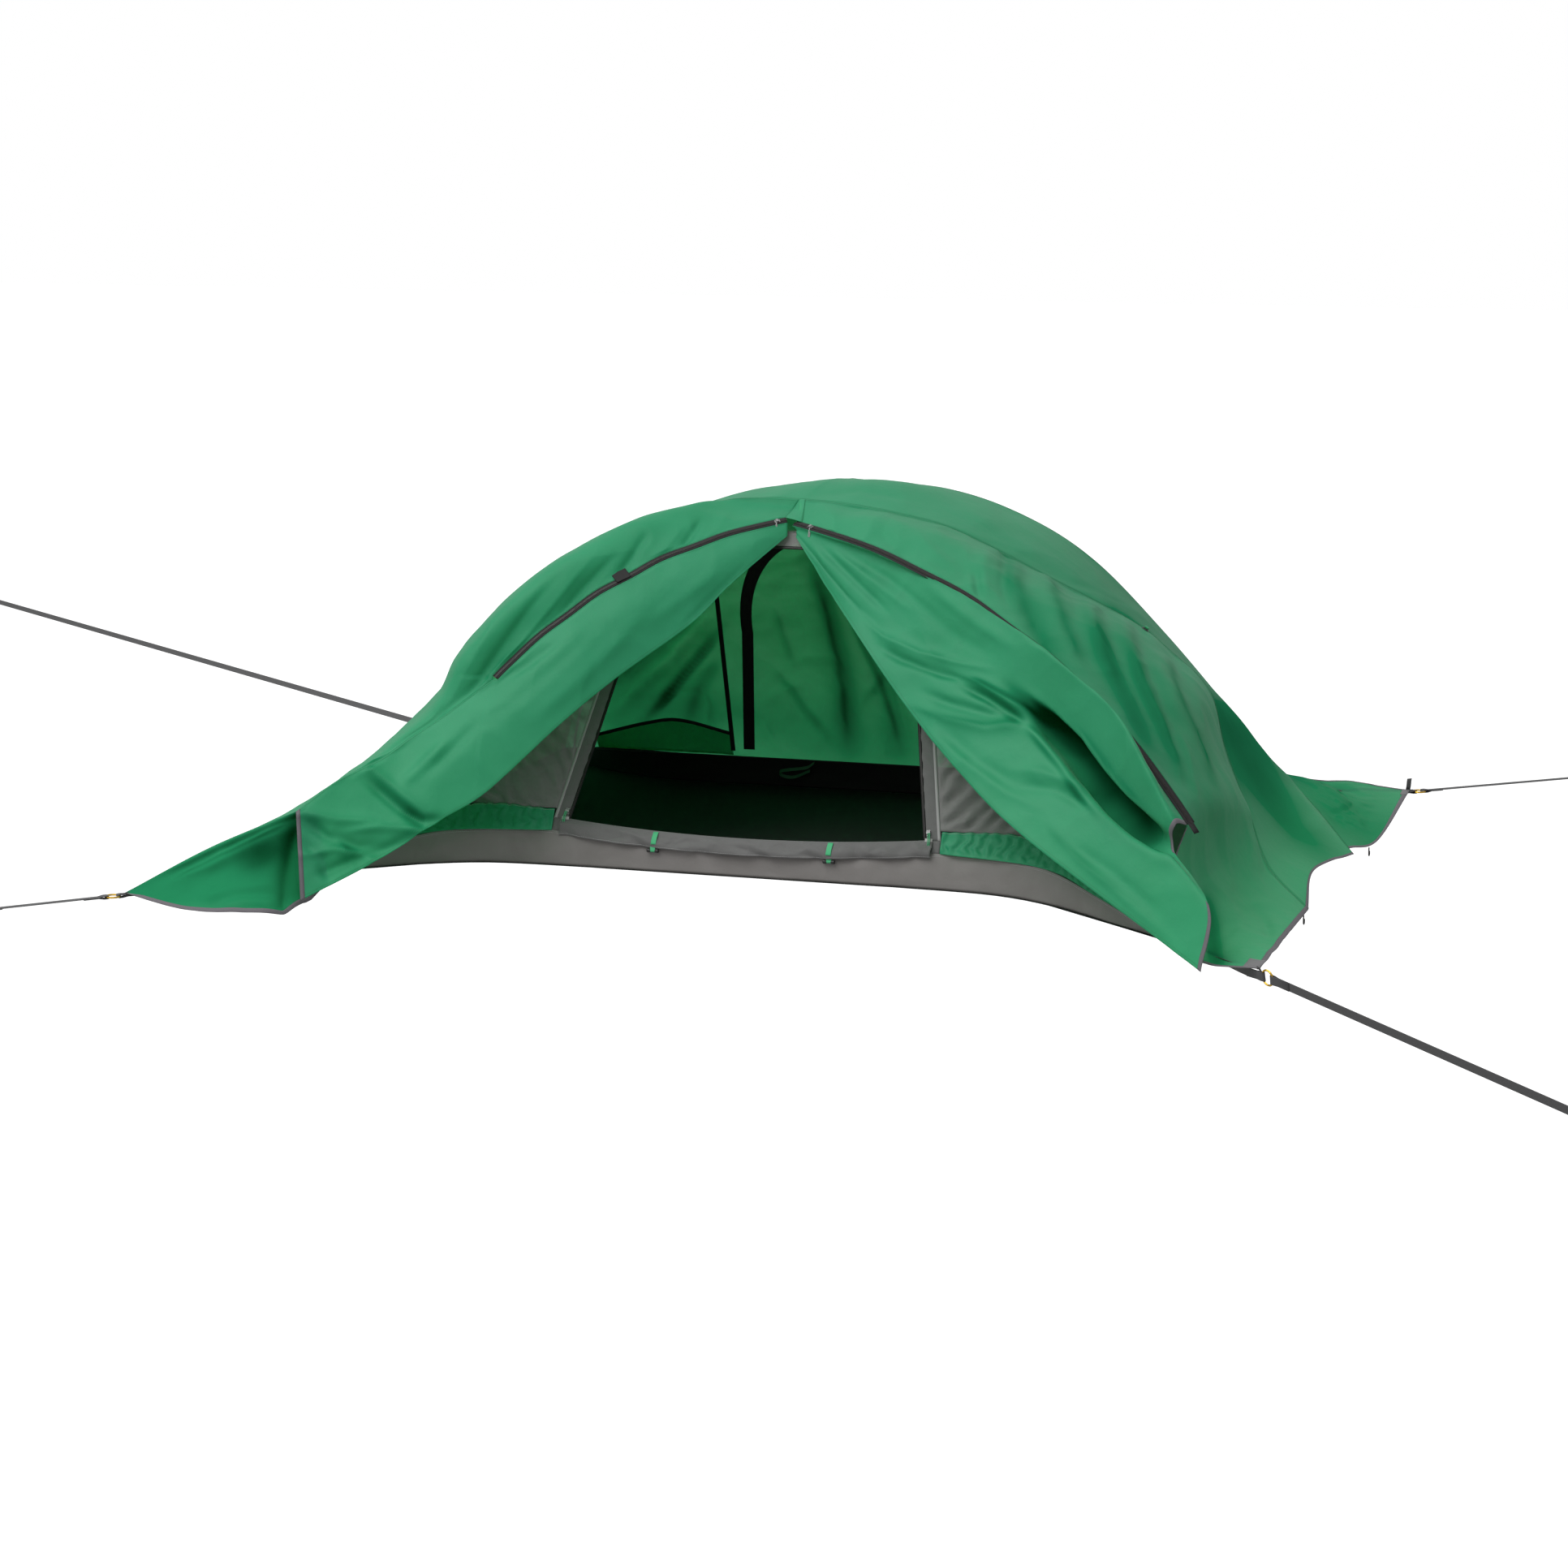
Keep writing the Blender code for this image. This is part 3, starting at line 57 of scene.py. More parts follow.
CAMERA_YAW = math.radians(17.475)
FOCAL_PIXELS = 4658.6
FRAME_PIXELS = 1932
camera_data = bpy.data.cameras.new("camera")
camera_data.sensor_width = 36.0
camera_data.lens = 36.0 * FOCAL_PIXELS / FRAME_PIXELS
camera_data.clip_end = 200.0
camera = bpy.data.objects.new("camera", camera_data)
camera.location = CAMERA_PLACE
camera.rotation_euler = (math.pi / 2 - CAMERA_PITCH, 0, CAMERA_YAW)
bpy.context.scene.collection.objects.link(camera)
bpy.context.scene.camera = camera


def in_photo(points):
    """Where places in space fall in the photograph, in its pixels."""
    forward = np.array([-math.sin(CAMERA_YAW) * math.cos(CAMERA_PITCH),
                        math.cos(CAMERA_YAW) * math.cos(CAMERA_PITCH), -math.sin(CAMERA_PITCH)])
    right = np.array([math.cos(CAMERA_YAW), math.sin(CAMERA_YAW), 0.0])
    upward = np.cross(right, forward)
    away = np.asarray(points, float) - np.array(CAMERA_PLACE)
    depth = away @ forward
    across = FRAME_PIXELS / 2 + FOCAL_PIXELS * (away @ right) / depth
    down = FRAME_PIXELS / 2 - FOCAL_PIXELS * (away @ upward) / depth
    return np.stack([across, down], axis=-1)


# The light is a plain studio: a white world all round, one wide soft lamp overhead and to the
# left, and a pale floor three metres below the tent, as under trees on a slope.
scene = bpy.context.scene
scene.view_settings.view_transform = "Standard"


def hex_colour(text):
    """An sRGB hex colour as linear red, green, blue and alpha."""
    parts = [int(text[i:i + 2], 16) / 255 for i in (1, 3, 5)]
    return tuple(p / 12.92 if p <= 0.04045 else ((p + 0.055) / 1.055) ** 2.4 for p in parts) + (1.0,)


def add_node(tree, kind, settings=None, links=None):
    """Adds a node, sets its properties and its unlinked sockets, and links the rest by name."""
    made = tree.nodes.new(kind)
    for key, value in (settings or {}).items():
        if isinstance(key, str) and key in made.bl_rna.properties:
            setattr(made, key, value)
        else:
            made.inputs[key].default_value = value
    for key, source in (links or {}).items():
        tree.links.new(source, made.inputs[key])
    return made


world = bpy.data.worlds.new("studio")
scene.world = world
world.use_nodes = True
world.node_tree.nodes.clear()
DOME_LEVEL = 0.54
DOME_LIFT = 0.34
DOME_SIDE = -0.23
path_kind = add_node(world.node_tree, "ShaderNodeLightPath")
way = add_node(world.node_tree, "ShaderNodeTexCoord")
tilt = add_node(world.node_tree, "ShaderNodeVectorMath",
                {"operation": "DOT_PRODUCT", 1: (DOME_SIDE, 0.0, DOME_LIFT)},
                {0: way.outputs["Generated"]})
dome = add_node(world.node_tree, "ShaderNodeMath", {"operation": "ADD", 1: DOME_LEVEL},
                {0: tilt.outputs["Value"]})
strength = add_node(world.node_tree, "ShaderNodeMix", {"data_type": "FLOAT", 3: 1.0},
                    {0: path_kind.outputs["Is Camera Ray"], 2: dome.outputs[0]})
sky = add_node(world.node_tree, "ShaderNodeBackground", {"Color": (1, 1, 1, 1)},
               {"Strength": strength.outputs[0]})
add_node(world.node_tree, "ShaderNodeOutputWorld", {}, {"Surface": sky.outputs[0]})

lamp_data = bpy.data.lights.new("soft_box", "AREA")
lamp_data.shape = "RECTANGLE"
lamp_data.size = 7.0
lamp_data.size_y = 5.0
lamp_data.energy = 420.0
lamp = bpy.data.objects.new("soft_box", lamp_data)
lamp.location = (-2.6, -3.2, 7.0)
lamp.rotation_euler = Vector((2.6, 3.2, -6.6)).to_track_quat("-Z", "Y").to_euler()
scene.collection.objects.link(lamp)

FLOOR_DROP = 3.0
bpy.ops.mesh.primitive_plane_add(size=120.0, location=(0, 20, -FLOOR_DROP))
ground = bpy.context.object
ground.name = "pale_floor"
floor_paint = bpy.data.materials.new("white_floor")
floor_paint.use_nodes = True
tree = floor_paint.node_tree
tree.nodes.clear()
path_kind = add_node(tree, "ShaderNodeLightPath")
white = add_node(tree, "ShaderNodeBsdfDiffuse", {"Color": (0.6, 0.6, 0.6, 1)})
shine = add_node(tree, "ShaderNodeEmission", {"Color": (1, 1, 1, 1), "Strength": 0.72})
both = add_node(tree, "ShaderNodeAddShader", {}, {0: white.outputs[0], 1: shine.outputs[0]})
pick = add_node(tree, "ShaderNodeMixShader", {}, {0: path_kind.outputs["Is Camera Ray"], 1: white.outputs[0],
                                                 2: both.outputs[0]})
add_node(tree, "ShaderNodeOutputMaterial", {}, {"Surface": pick.outputs[0]})
ground.data.materials.append(floor_paint)

# The tree straps are 25 mm polyester webbing in dark grey, sewn into an eye at each end.
# Each runs taut from its corner ring towards a tree outside the picture.
RING_SPAN_X = 3.48
RING_SPAN_Y = 2.872
FLY_TOP = 1.165
RING_RADIUS = 0.022
RING_WIRE = 0.003
WEB_WIDTH = 0.025
WEB_THICK = 0.0018
EYE_GAP = 0.0004
EYE_STITCH = 0.045
EYE_TAPER = 0.016
CORNERS = {"fl": (-1, -1), "fr": (1, -1), "br": (1, 1), "bl": (-1, 1)}
STRAP_LENGTHS = {"fl": 0.42, "fr": 1.24, "br": 0.70, "bl": 4.84}
STRAP_RISE_SHARES = {"fl": -0.028, "fr": -0.0925, "br": 0.0046, "bl": -0.0068}
RING_TILT = {"fl": 0.0, "fr": 80.0, "br": 0.0, "bl": 35.0}


def tilted_width(direction, degrees):
    """A strap's width direction: level at 0 degrees, upright at 90."""
    level = np.cross(direction, (0, 0, 1))
    level /= np.linalg.norm(level)
    up = np.cross(level, direction)
    angle = math.radians(degrees)
    return level * math.cos(angle) + up * math.sin(angle)


def eye_path(centre, direction, width_dir):
    """Webbing round a ring's wire, from the stitched tail to where the strap's body starts."""
    normal = np.cross(width_dir, direction)
    bend_at = math.sqrt(RING_RADIUS ** 2 - (WEB_WIDTH / 2) ** 2) - RING_WIRE / 4
    leg = RING_WIRE + EYE_GAP + WEB_THICK / 2
    flat_end = RING_RADIUS + RING_WIRE * 2
    join_at = flat_end + EYE_TAPER
    tail_at = join_at + EYE_STITCH
    lap = (WEB_THICK + EYE_GAP) / 2
    route = [(tail_at, -lap), (join_at, -lap), (flat_end, -leg)]
    for step in range(9):
        angle = -math.pi / 2 - math.pi * step / 8
        route.append((bend_at + leg * math.cos(angle), leg * math.sin(angle)))
    route += [(flat_end, leg), (join_at, lap), (tail_at, lap)]
    return [centre + direction * s + normal * h for s, h in route]


def mesh_from(name, vertices, faces, uvs=None):
    """A mesh object at the origin from places and faces, with a UV place for each vertex."""
    mesh = bpy.data.meshes.new(name)
    mesh.from_pydata([tuple(v) for v in vertices], [], faces)
    if uvs is not None:
        layer = mesh.uv_layers.new(name="UVMap")
        for loop in mesh.loops:
            layer.data[loop.index].uv = uvs[loop.vertex_index]
    mesh.update()
    obj = bpy.data.objects.new(name, mesh)
    scene.collection.objects.link(obj)
    for polygon in mesh.polygons:
        polygon.use_smooth = True
    return obj


def apply_modifiers(obj):
    """Turns what the modifiers make into the object's plain mesh."""
    graph = bpy.context.evaluated_depsgraph_get()
    graph.update()
    mesh = bpy.data.meshes.new_from_object(obj.evaluated_get(graph))
    obj.modifiers.clear()
    obj.data = mesh
    return obj


def thicken(obj, thickness, offset=0.0):
    solid = obj.modifiers.new("thickness", "SOLIDIFY")
    solid.thickness = thickness
    solid.offset = offset
    solid.use_quality_normals = True
    return apply_modifiers(obj)


def grid_object(name, grid):
    """A sheet through a grid of places, with UV in metres along and across it."""
    rows, cols = grid.shape[:2]
    along = np.concatenate([[0], np.cumsum(np.linalg.norm(np.diff(grid[rows // 2], axis=0), axis=1))])
    across = np.concatenate([[0], np.cumsum(np.linalg.norm(np.diff(grid[:, cols // 2], axis=0), axis=1))])
    vertices = grid.reshape(-1, 3)
    uvs = [(along[c], across[r]) for r in range(rows) for c in range(cols)]
    faces = [(r * cols + c, r * cols + c + 1, (r + 1) * cols + c + 1, (r + 1) * cols + c)
             for r in range(rows - 1) for c in range(cols - 1)]
    return mesh_from(name, vertices, faces, uvs)


def web_strip(name, path, widths, width, thickness):
    """Flat webbing along a path, three strips wide, with its width direction at each place."""
    path = np.array(path)
    half = np.array(widths) / np.linalg.norm(widths, axis=1, keepdims=True) * width / 2
    grid = np.stack([path - half, path - half * 0.9, path + half * 0.9, path + half])
    return thicken(grid_object(name, grid), thickness)


webbing = bpy.data.materials.new("woven_polyester_webbing")
webbing.use_nodes = True
tree = webbing.node_tree
shader = tree.nodes["Principled BSDF"]
uv = add_node(tree, "ShaderNodeUVMap", {"uv_map": "UVMap"})
twill = add_node(tree, "ShaderNodeTexWave", {"Scale": 130.0, "Distortion": 0.6,
                                             "bands_direction": "DIAGONAL"},
                 {"Vector": uv.outputs[0]})
tone = add_node(tree, "ShaderNodeMix", {"data_type": "RGBA", 6: hex_colour("#39393A"),
                                        7: hex_colour("#525253")},
                {0: twill.outputs["Fac"]})
bump = add_node(tree, "ShaderNodeBump", {"Strength": 0.5, "Distance": 0.0006},
                {"Height": twill.outputs["Fac"]})
tree.links.new(tone.outputs[2], shader.inputs["Base Color"])
tree.links.new(bump.outputs[0], shader.inputs["Normal"])
shader.inputs["Roughness"].default_value = 0.72

for corner, (side_x, side_y) in CORNERS.items():
    centre = np.array([side_x * RING_SPAN_X / 2, side_y * RING_SPAN_Y / 2, 0.0])
    away = centre / np.linalg.norm(centre)
    slope = np.array([away[0], away[1], STRAP_RISE_SHARES[corner]])
    far = centre + slope / np.linalg.norm(slope) * STRAP_LENGTHS[corner]
    direction = (far - centre) / STRAP_LENGTHS[corner]
    width_dir = tilted_width(direction, RING_TILT[corner])
    first = eye_path(centre, direction, width_dir)
    last = eye_path(far, -direction, tilted_width(-direction, -RING_TILT[corner]))
    path = list(first)
    for share in np.linspace(0.06, 0.94, 15):
        path.append(first[-1] + (last[-1] - first[-1]) * share)
    path += last[::-1]
    strap = web_strip("strap_" + corner, path, [width_dir] * len(path), WEB_WIDTH, WEB_THICK)
    strap.data.materials.append(webbing)
    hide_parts("tree_strap_" + corner)
    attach(strap, "tent")
    run = sum(float(np.linalg.norm(b - a)) for a, b in zip(path, path[1:]))

# The fly is cut from coated green ripstop in seven sheets. These are its seams, read off the
# photograph: the brow over the doorway, the rear seam, the zips, the hems and the door edges.
BROW_LEFT_SHARES = (
    (0.000, -0.087, 0.951), (-0.064, -0.097, 0.954), (-0.149, -0.104, 0.940), (-0.287, -0.049, 0.858),
    (-0.460, 0.021, 0.751), (-0.586, 0.045, 0.633), (-0.636, 0.021, 0.534), (-0.679, -0.030, 0.435),
    (-0.714, -0.100, 0.318), (-0.745, -0.170, 0.229), (-0.853, -0.237, 0.127), (-0.977, -0.348, 0.017))
BROW_RIGHT_SHARES = (
    (0.000, -0.087, 0.951), (0.078, -0.084, 0.944), (0.178, -0.070, 0.921), (0.284, -0.042, 0.877),
    (0.453, 0.014, 0.745), (0.589, 0.042, 0.640), (0.658, 0.035, 0.569), (0.738, 0.000, 0.472),
    (0.781, -0.084, 0.340), (0.843, -0.202, 0.199), (0.896, -0.299, 0.081), (0.975, -0.371, -0.002))
REAR_LEFT_SHARES = (
    (0.029, 0.209, 0.974), (-0.144, 0.223, 0.936), (-0.345, 0.251, 0.824), (-0.575, 0.292, 0.601),
    (-0.736, 0.334, 0.361), (-0.862, 0.362, 0.155), (-0.977, 0.348, 0.017))
REAR_RIGHT_SHARES = (
    (0.029, 0.209, 0.974), (0.207, 0.265, 0.944), (0.345, 0.320, 0.864), (0.460, 0.376, 0.742),
    (0.570, 0.500, 0.530), (0.670, 0.590, 0.324), (0.770, 0.640, 0.130), (0.874, 0.420, 0.075),
    (0.980, 0.175, 0.009))
CREST_LEFT_SHARES = (
    (-0.006, -0.106, 0.930), (-0.140, -0.136, 0.938), (-0.194, -0.188, 0.930), (-0.266, -0.258, 0.902),
    (-0.362, -0.351, 0.822), (-0.439, -0.425, 0.725), (-0.519, -0.503, 0.574), (-0.551, -0.534, 0.469),
    (-0.590, -0.563, 0.397), (-0.718, -0.682, 0.232), (-0.862, -0.766, 0.094), (-0.983, -0.675, 0.009))
EDGE_LEFT_SHARES = ((-0.512, -0.606, 0.432), (-0.567, -0.648, 0.372), (-0.604, -0.696, 0.326),
                    (-0.663, -0.766, 0.278), (-0.715, -0.836, 0.208))
WING_MID_LEFT_SHARES = (-0.852, -0.905, 0.118)
WING_TIP_LEFT_SHARES = (-0.984, -0.984, 0.0055)
FREE_LEFT_SHARES = (
    (0.004, -0.189, 0.869), (-0.075, -0.290, 0.750), (-0.133, -0.355, 0.650), (-0.239, -0.460, 0.521),
    (-0.316, -0.557, 0.410), (-0.419, -0.662, 0.248), (-0.490, -0.724, 0.177), (-0.585, -0.801, 0.078),
    (-0.684, -0.905, -0.005))
FREE_RIGHT_SHARES = (
    (0.0195, -0.189, 0.867), (0.132, -0.310, 0.702), (0.278, -0.460, 0.501), (0.410, -0.599, 0.356),
    (0.548, -0.724, 0.232), (0.817, -0.926, 0.048), (0.894, -0.996, 0.001))
DOOR_FOLD_SHARES = (
    (0.0195, -0.183, 0.885), (0.195, -0.268, 0.824), (0.345, -0.385, 0.768), (0.465, -0.474, 0.704),
    (0.524, -0.522, 0.669), (0.616, -0.599, 0.597), (0.690, -0.669, 0.533), (0.750, -0.738, 0.428),
    (0.815, -0.797, 0.300))
DOOR_VALLEY_SHARES = (
    (0.0195, -0.185, 0.879), (0.165, -0.290, 0.745), (0.330, -0.420, 0.630), (0.475, -0.515, 0.582),
    (0.573, -0.585, 0.469), (0.641, -0.648, 0.385), (0.708, -0.710, 0.304), (0.814, -0.805, 0.241))
DOOR_CREST_SHARES = (
    (0.0205, -0.187, 0.873), (0.145, -0.285, 0.720), (0.320, -0.450, 0.570), (0.470, -0.557, 0.476),
    (0.573, -0.648, 0.380), (0.689, -0.752, 0.291), (0.815, -0.857, 0.228), (0.897, -0.945, 0.142))
BAND_FOOT_RIGHT_SHARES = ((0.812, -0.780, 0.227), (0.814, -0.840, 0.133), (0.866, -0.925, 0.026),
                          (0.899, -0.965, 0.012), (0.940, -0.980, 0.014), (0.985, -0.985, 0.0165))
WING_HEM_LEFT_SHARES = ((-0.980, -0.988, 0.0055), (-0.850, -1.030, -0.013), (-0.746, -1.020, -0.012),
                        (-0.690, -0.970, -0.018), (-0.683, -0.870, -0.017))
REAR_HEM_SHARES = (
    (-0.984, 0.984, 0.0100), (-0.870, 0.975, -0.012), (-0.600, 0.955, -0.014), (0.000, 0.925, -0.012),
    (0.600, 0.955, 0.000), (0.800, 0.975, 0.022), (0.984, 0.984, 0.0055))
REAR_BELLY_SHARES = (
    (-0.990, 0.650, 0.008), (-0.715, 0.635, 0.310), (-0.365, 0.575, 0.560), (0.000, 0.540, 0.620),
    (0.350, 0.580, 0.520), (0.630, 0.700, 0.255), (0.715, 0.760, 0.115), (0.799, 0.800, 0.060),
    (0.870, 0.740, 0.044), (0.990, 0.440, -0.016))
ROOF_MID_LEFT_SHARES = (
    (0.020, 0.050, 0.988), (-0.150, 0.050, 0.945), (-0.330, 0.080, 0.852), (-0.500, 0.120, 0.728),
    (-0.640, 0.150, 0.556), (-0.765, 0.150, 0.325), (-0.820, 0.100, 0.205), (-0.870, 0.050, 0.118),
    (-0.985, 0.000, 0.030))
ROOF_MID_RIGHT_SHARES = (
    (0.020, 0.050, 0.988), (0.150, 0.100, 0.974), (0.315, 0.150, 0.888), (0.450, 0.200, 0.768),
    (0.580, 0.260, 0.600), (0.690, 0.280, 0.420), (0.790, 0.250, 0.225), (0.870, 0.080, 0.110),
    (0.953, -0.150, 0.042))
ZIP_LEFT_SHARES = ((-0.002, -0.172, 0.908), (-0.222, -0.335, 0.794), (-0.440, -0.543, 0.522))
ZIP_RIGHT_SHARES = ((0.0135, -0.172, 0.900), (0.442, -0.432, 0.717), (0.835, -0.766, 0.298))
ZIP_TAPE = 0.025
ZIP_LEAN = 50.0
FLY_CLOTH = 0.0006
SEAM_COLUMNS = 340
ZIP_COLUMNS = 180
EDGE_COLUMNS = 86
DOOR_COLUMNS = 250
BAND_ROWS = 90


def at(shares):
    x, y, z = shares
    return np.array([x * RING_SPAN_X / 2, y * RING_SPAN_Y / 2, z * FLY_TOP])


def places(table):
    return [at(row) for row in table]


def spline(points, count):
    """A smooth line through the points, sampled at equal lengths."""
    pts = np.array(points, float)
    ext = np.vstack([2 * pts[0] - pts[1], pts, 2 * pts[-1] - pts[-2]])
    t = np.linspace(0, 1, 24, endpoint=False)[:, None]
    fine = []
    for p0, p1, p2, p3 in zip(ext, ext[1:], ext[2:], ext[3:]):
        fine.append(0.5 * (2 * p1 + (p2 - p0) * t + (2 * p0 - 5 * p1 + 4 * p2 - p3) * t ** 2
                           + (3 * p1 - p0 - 3 * p2 + p3) * t ** 3))
    fine = np.vstack(fine + [pts[-1:]])
    run = np.concatenate([[0], np.cumsum(np.linalg.norm(np.diff(fine, axis=0), axis=1))])
    where = np.linspace(0, run[-1], count)
    return np.stack([np.interp(where, run, fine[:, k]) for k in range(3)], axis=1)


def loft(sections, rows):
    """A grid of places through sections that have the same number of places each."""
    sections = np.stack([np.array(s, float) for s in sections])
    count = len(sections)
    ext = np.concatenate([2 * sections[:1] - sections[1:2], sections, 2 * sections[-1:] - sections[-2:-1]])
    grid = []
    for share in np.linspace(0, count - 1, rows):
        i = min(int(share), count - 2)
        t = share - i
        p0, p1, p2, p3 = ext[i], ext[i + 1], ext[i + 2], ext[i + 3]
        grid.append(0.5 * (2 * p1 + (p2 - p0) * t + (2 * p0 - 5 * p1 + 4 * p2 - p3) * t ** 2
                           + (3 * p1 - p0 - 3 * p2 + p3) * t ** 3))
    return np.array(grid)


def zip_arc(table):
    """The circle through three places of a zip, with its axis towards the front."""
    a, b, c = places(table)
    u = b - a
    v = c - a
    axis = np.cross(u, v)
    to_centre = np.dot(u, u) * np.cross(v, axis) + np.dot(v, v) * np.cross(axis, u)
    to_centre /= 2 * np.dot(axis, axis)
    centre = a + to_centre
    radius = np.linalg.norm(to_centre)
    first = (a - centre) / radius
    axis = axis / np.linalg.norm(axis)
    second = np.cross(axis, first)
    sweep = math.atan2(np.dot(c - centre, second), np.dot(c - centre, first))
    front = axis if axis[1] < 0 else -axis
    return {"centre": centre, "radius": radius, "first": first, "second": second, "sweep": sweep,
            "front": front}


ZIP_WAVE = 0.0035
ZIP_WAVES = 9.0


def arc_place(arc, share, aside=0.0, lift=0.0):
    """A place by a zip, which waves a little between its two ends."""
    angle = arc["sweep"] * share
    out = arc["first"] * math.cos(angle) + arc["second"] * math.sin(angle)
    lean = math.radians(ZIP_LEAN)
    side = arc["front"] * math.cos(lean) - out * math.sin(lean)
    normal = out * math.cos(lean) + arc["front"] * math.sin(lean)
    wave = ZIP_WAVE * math.sin(ZIP_WAVES * math.pi * share) * math.sin(math.pi * share)
    return arc["centre"] + out * arc["radius"] + side * (aside + wave) + normal * lift


def arc_row(arc, aside, count, lift=0.0):
    return np.array([arc_place(arc, k / (count - 1), aside, lift) for k in range(count)])


def facing(grid):
    """The sheet's outward direction at each place of a grid."""
    normal = np.cross(np.gradient(grid, axis=1), np.gradient(grid, axis=0))
    normal /= np.maximum(np.linalg.norm(normal, axis=2, keepdims=True), 1e-9)
    outward = grid - np.array([0, 0.1, -0.4])
    return normal if np.mean(np.sum(normal * outward, axis=2)) > 0 else -normal


def fold_height(seen_at, folds):
    """The height of the named folds at places in the photograph: each fold is its height in
    millimetres, its half width in pixels, its kind and the line that it follows."""
    total = np.zeros(seen_at.shape[:-1])
    for height, width, kind, line in folds:
        line = np.array(line, float)
        best = np.full(total.shape, 1e9)
        signed = np.zeros(total.shape)
        share = np.zeros(total.shape)
        lengths = np.linalg.norm(np.diff(line, axis=0), axis=1)
        run = np.concatenate([[0], np.cumsum(lengths)])
        for i, (a, b) in enumerate(zip(line, line[1:])):
            step = (b - a) / lengths[i]
            local = seen_at - a
            t = np.clip(local @ step, 0, lengths[i])
            distance = np.linalg.norm(local - t[..., None] * step, axis=-1)
            near = distance < best
            best = np.where(near, distance, best)
            signed = np.where(near, step[0] * local[..., 1] - step[1] * local[..., 0], signed)
            share = np.where(near, (run[i] + t) / run[-1], share)
        taper = np.clip(np.minimum(share, 1 - share) / 0.3, 0, 1)
        taper = taper * taper * (3 - 2 * taper)
        if kind == "ridge":
            shape = np.exp(-(best / width) ** 2)
        elif kind == "crease":
            shape = np.exp(-(np.hypot(best, 2.5) - 2.5) / width)
        else:
            shape = 0.5 * (1 + np.tanh(signed / width)) * np.exp(-(best / (width * 5)) ** 2)
        total += height / 1000 * shape * taper
    return total


def crumple(grid, amount, size, stretch=(1.0, 1.0, 1.0), seed=0.0):
    """Soft random creases of a size in metres, longer along the axes that are stretched."""
    spots = (grid / (np.array(stretch) * size) + np.array([seed, 0, 0])).reshape(-1, 3)
    heights = [0.5 - abs(noise.noise(Vector(s))) * 1.6 + 0.4 * noise.noise(Vector(s * 2.3)) for s in spots]
    return np.array(heights).reshape(grid.shape[:2]) * amount


def edge_mask(shape, sewn, reach=4):
    """0 at the edges that are sewn to a neighbour and 1 inside."""
    rows, cols = shape
    r, c = np.meshgrid(np.arange(rows), np.arange(cols), indexing="ij")
    mask = np.ones(shape)
    for name, away in (("first", r), ("last", rows - 1 - r), ("start", c), ("end", cols - 1 - c)):
        if name in sewn:
            t = np.clip(away / reach, 0, 1)
            mask *= t * t * (3 - 2 * t)
    return mask


def folded(grid, folds, wrinkles, sewn, reach=4):
    """The grid with its folds and wrinkles raised off it, and its sewn edges left in place."""
    height = fold_height(in_photo(grid), folds) + wrinkles
    return grid + facing(grid) * (height * edge_mask(height.shape, sewn, reach))[..., None]


def turned(grid, side):
    """The grid with the named side as its first row."""
    if side == "first":
        return grid
    if side == "last":
        return grid[::-1]
    across = grid.transpose(1, 0, 2)
    return across if side == "start" else across[::-1]


def inset(grid, side, distance, lift=0.0):
    """A line at a distance in from one side of a grid, lifted off the sheet."""
    sheet = turned(grid, side)
    normals = turned(facing(grid), side)
    line = []
    for c in range(sheet.shape[1]):
        column = sheet[:14, c]
        run = np.concatenate([[0], np.cumsum(np.linalg.norm(np.diff(column, axis=0), axis=1))])
        if distance < 0:
            step = (column[0] - column[2]) / np.linalg.norm(column[0] - column[2])
            spot = column[0] - step * distance
        else:
            spot = np.array([np.interp(distance, run, column[:, k]) for k in range(3)])
        up = np.array([np.interp(max(distance, 0), run, normals[:14, c, k]) for k in range(3)])
        line.append(spot + up / np.linalg.norm(up) * lift)
    return np.array(line)


def strip(name, lines, material, thickness=0.0004):
    """A narrow tape through lines, sewn on a sheet and fixed to the tent."""
    obj = thicken(grid_object(name, np.array(lines)), thickness)
    obj.data.materials.append(material)
    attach(obj, "tent")
    return obj


def binding(name, grid, side, material, width=0.015):
    """A tape folded over a raw edge, seen on both faces."""
    up = 0.0008
    steps = [(width, up), (width / 2, up), (0.001, up), (-0.0008, 0.0), (0.001, -up), (width / 2, -up),
             (width, -up)]
    return strip(name, [inset(grid, side, d, h) for d, h in steps], material)


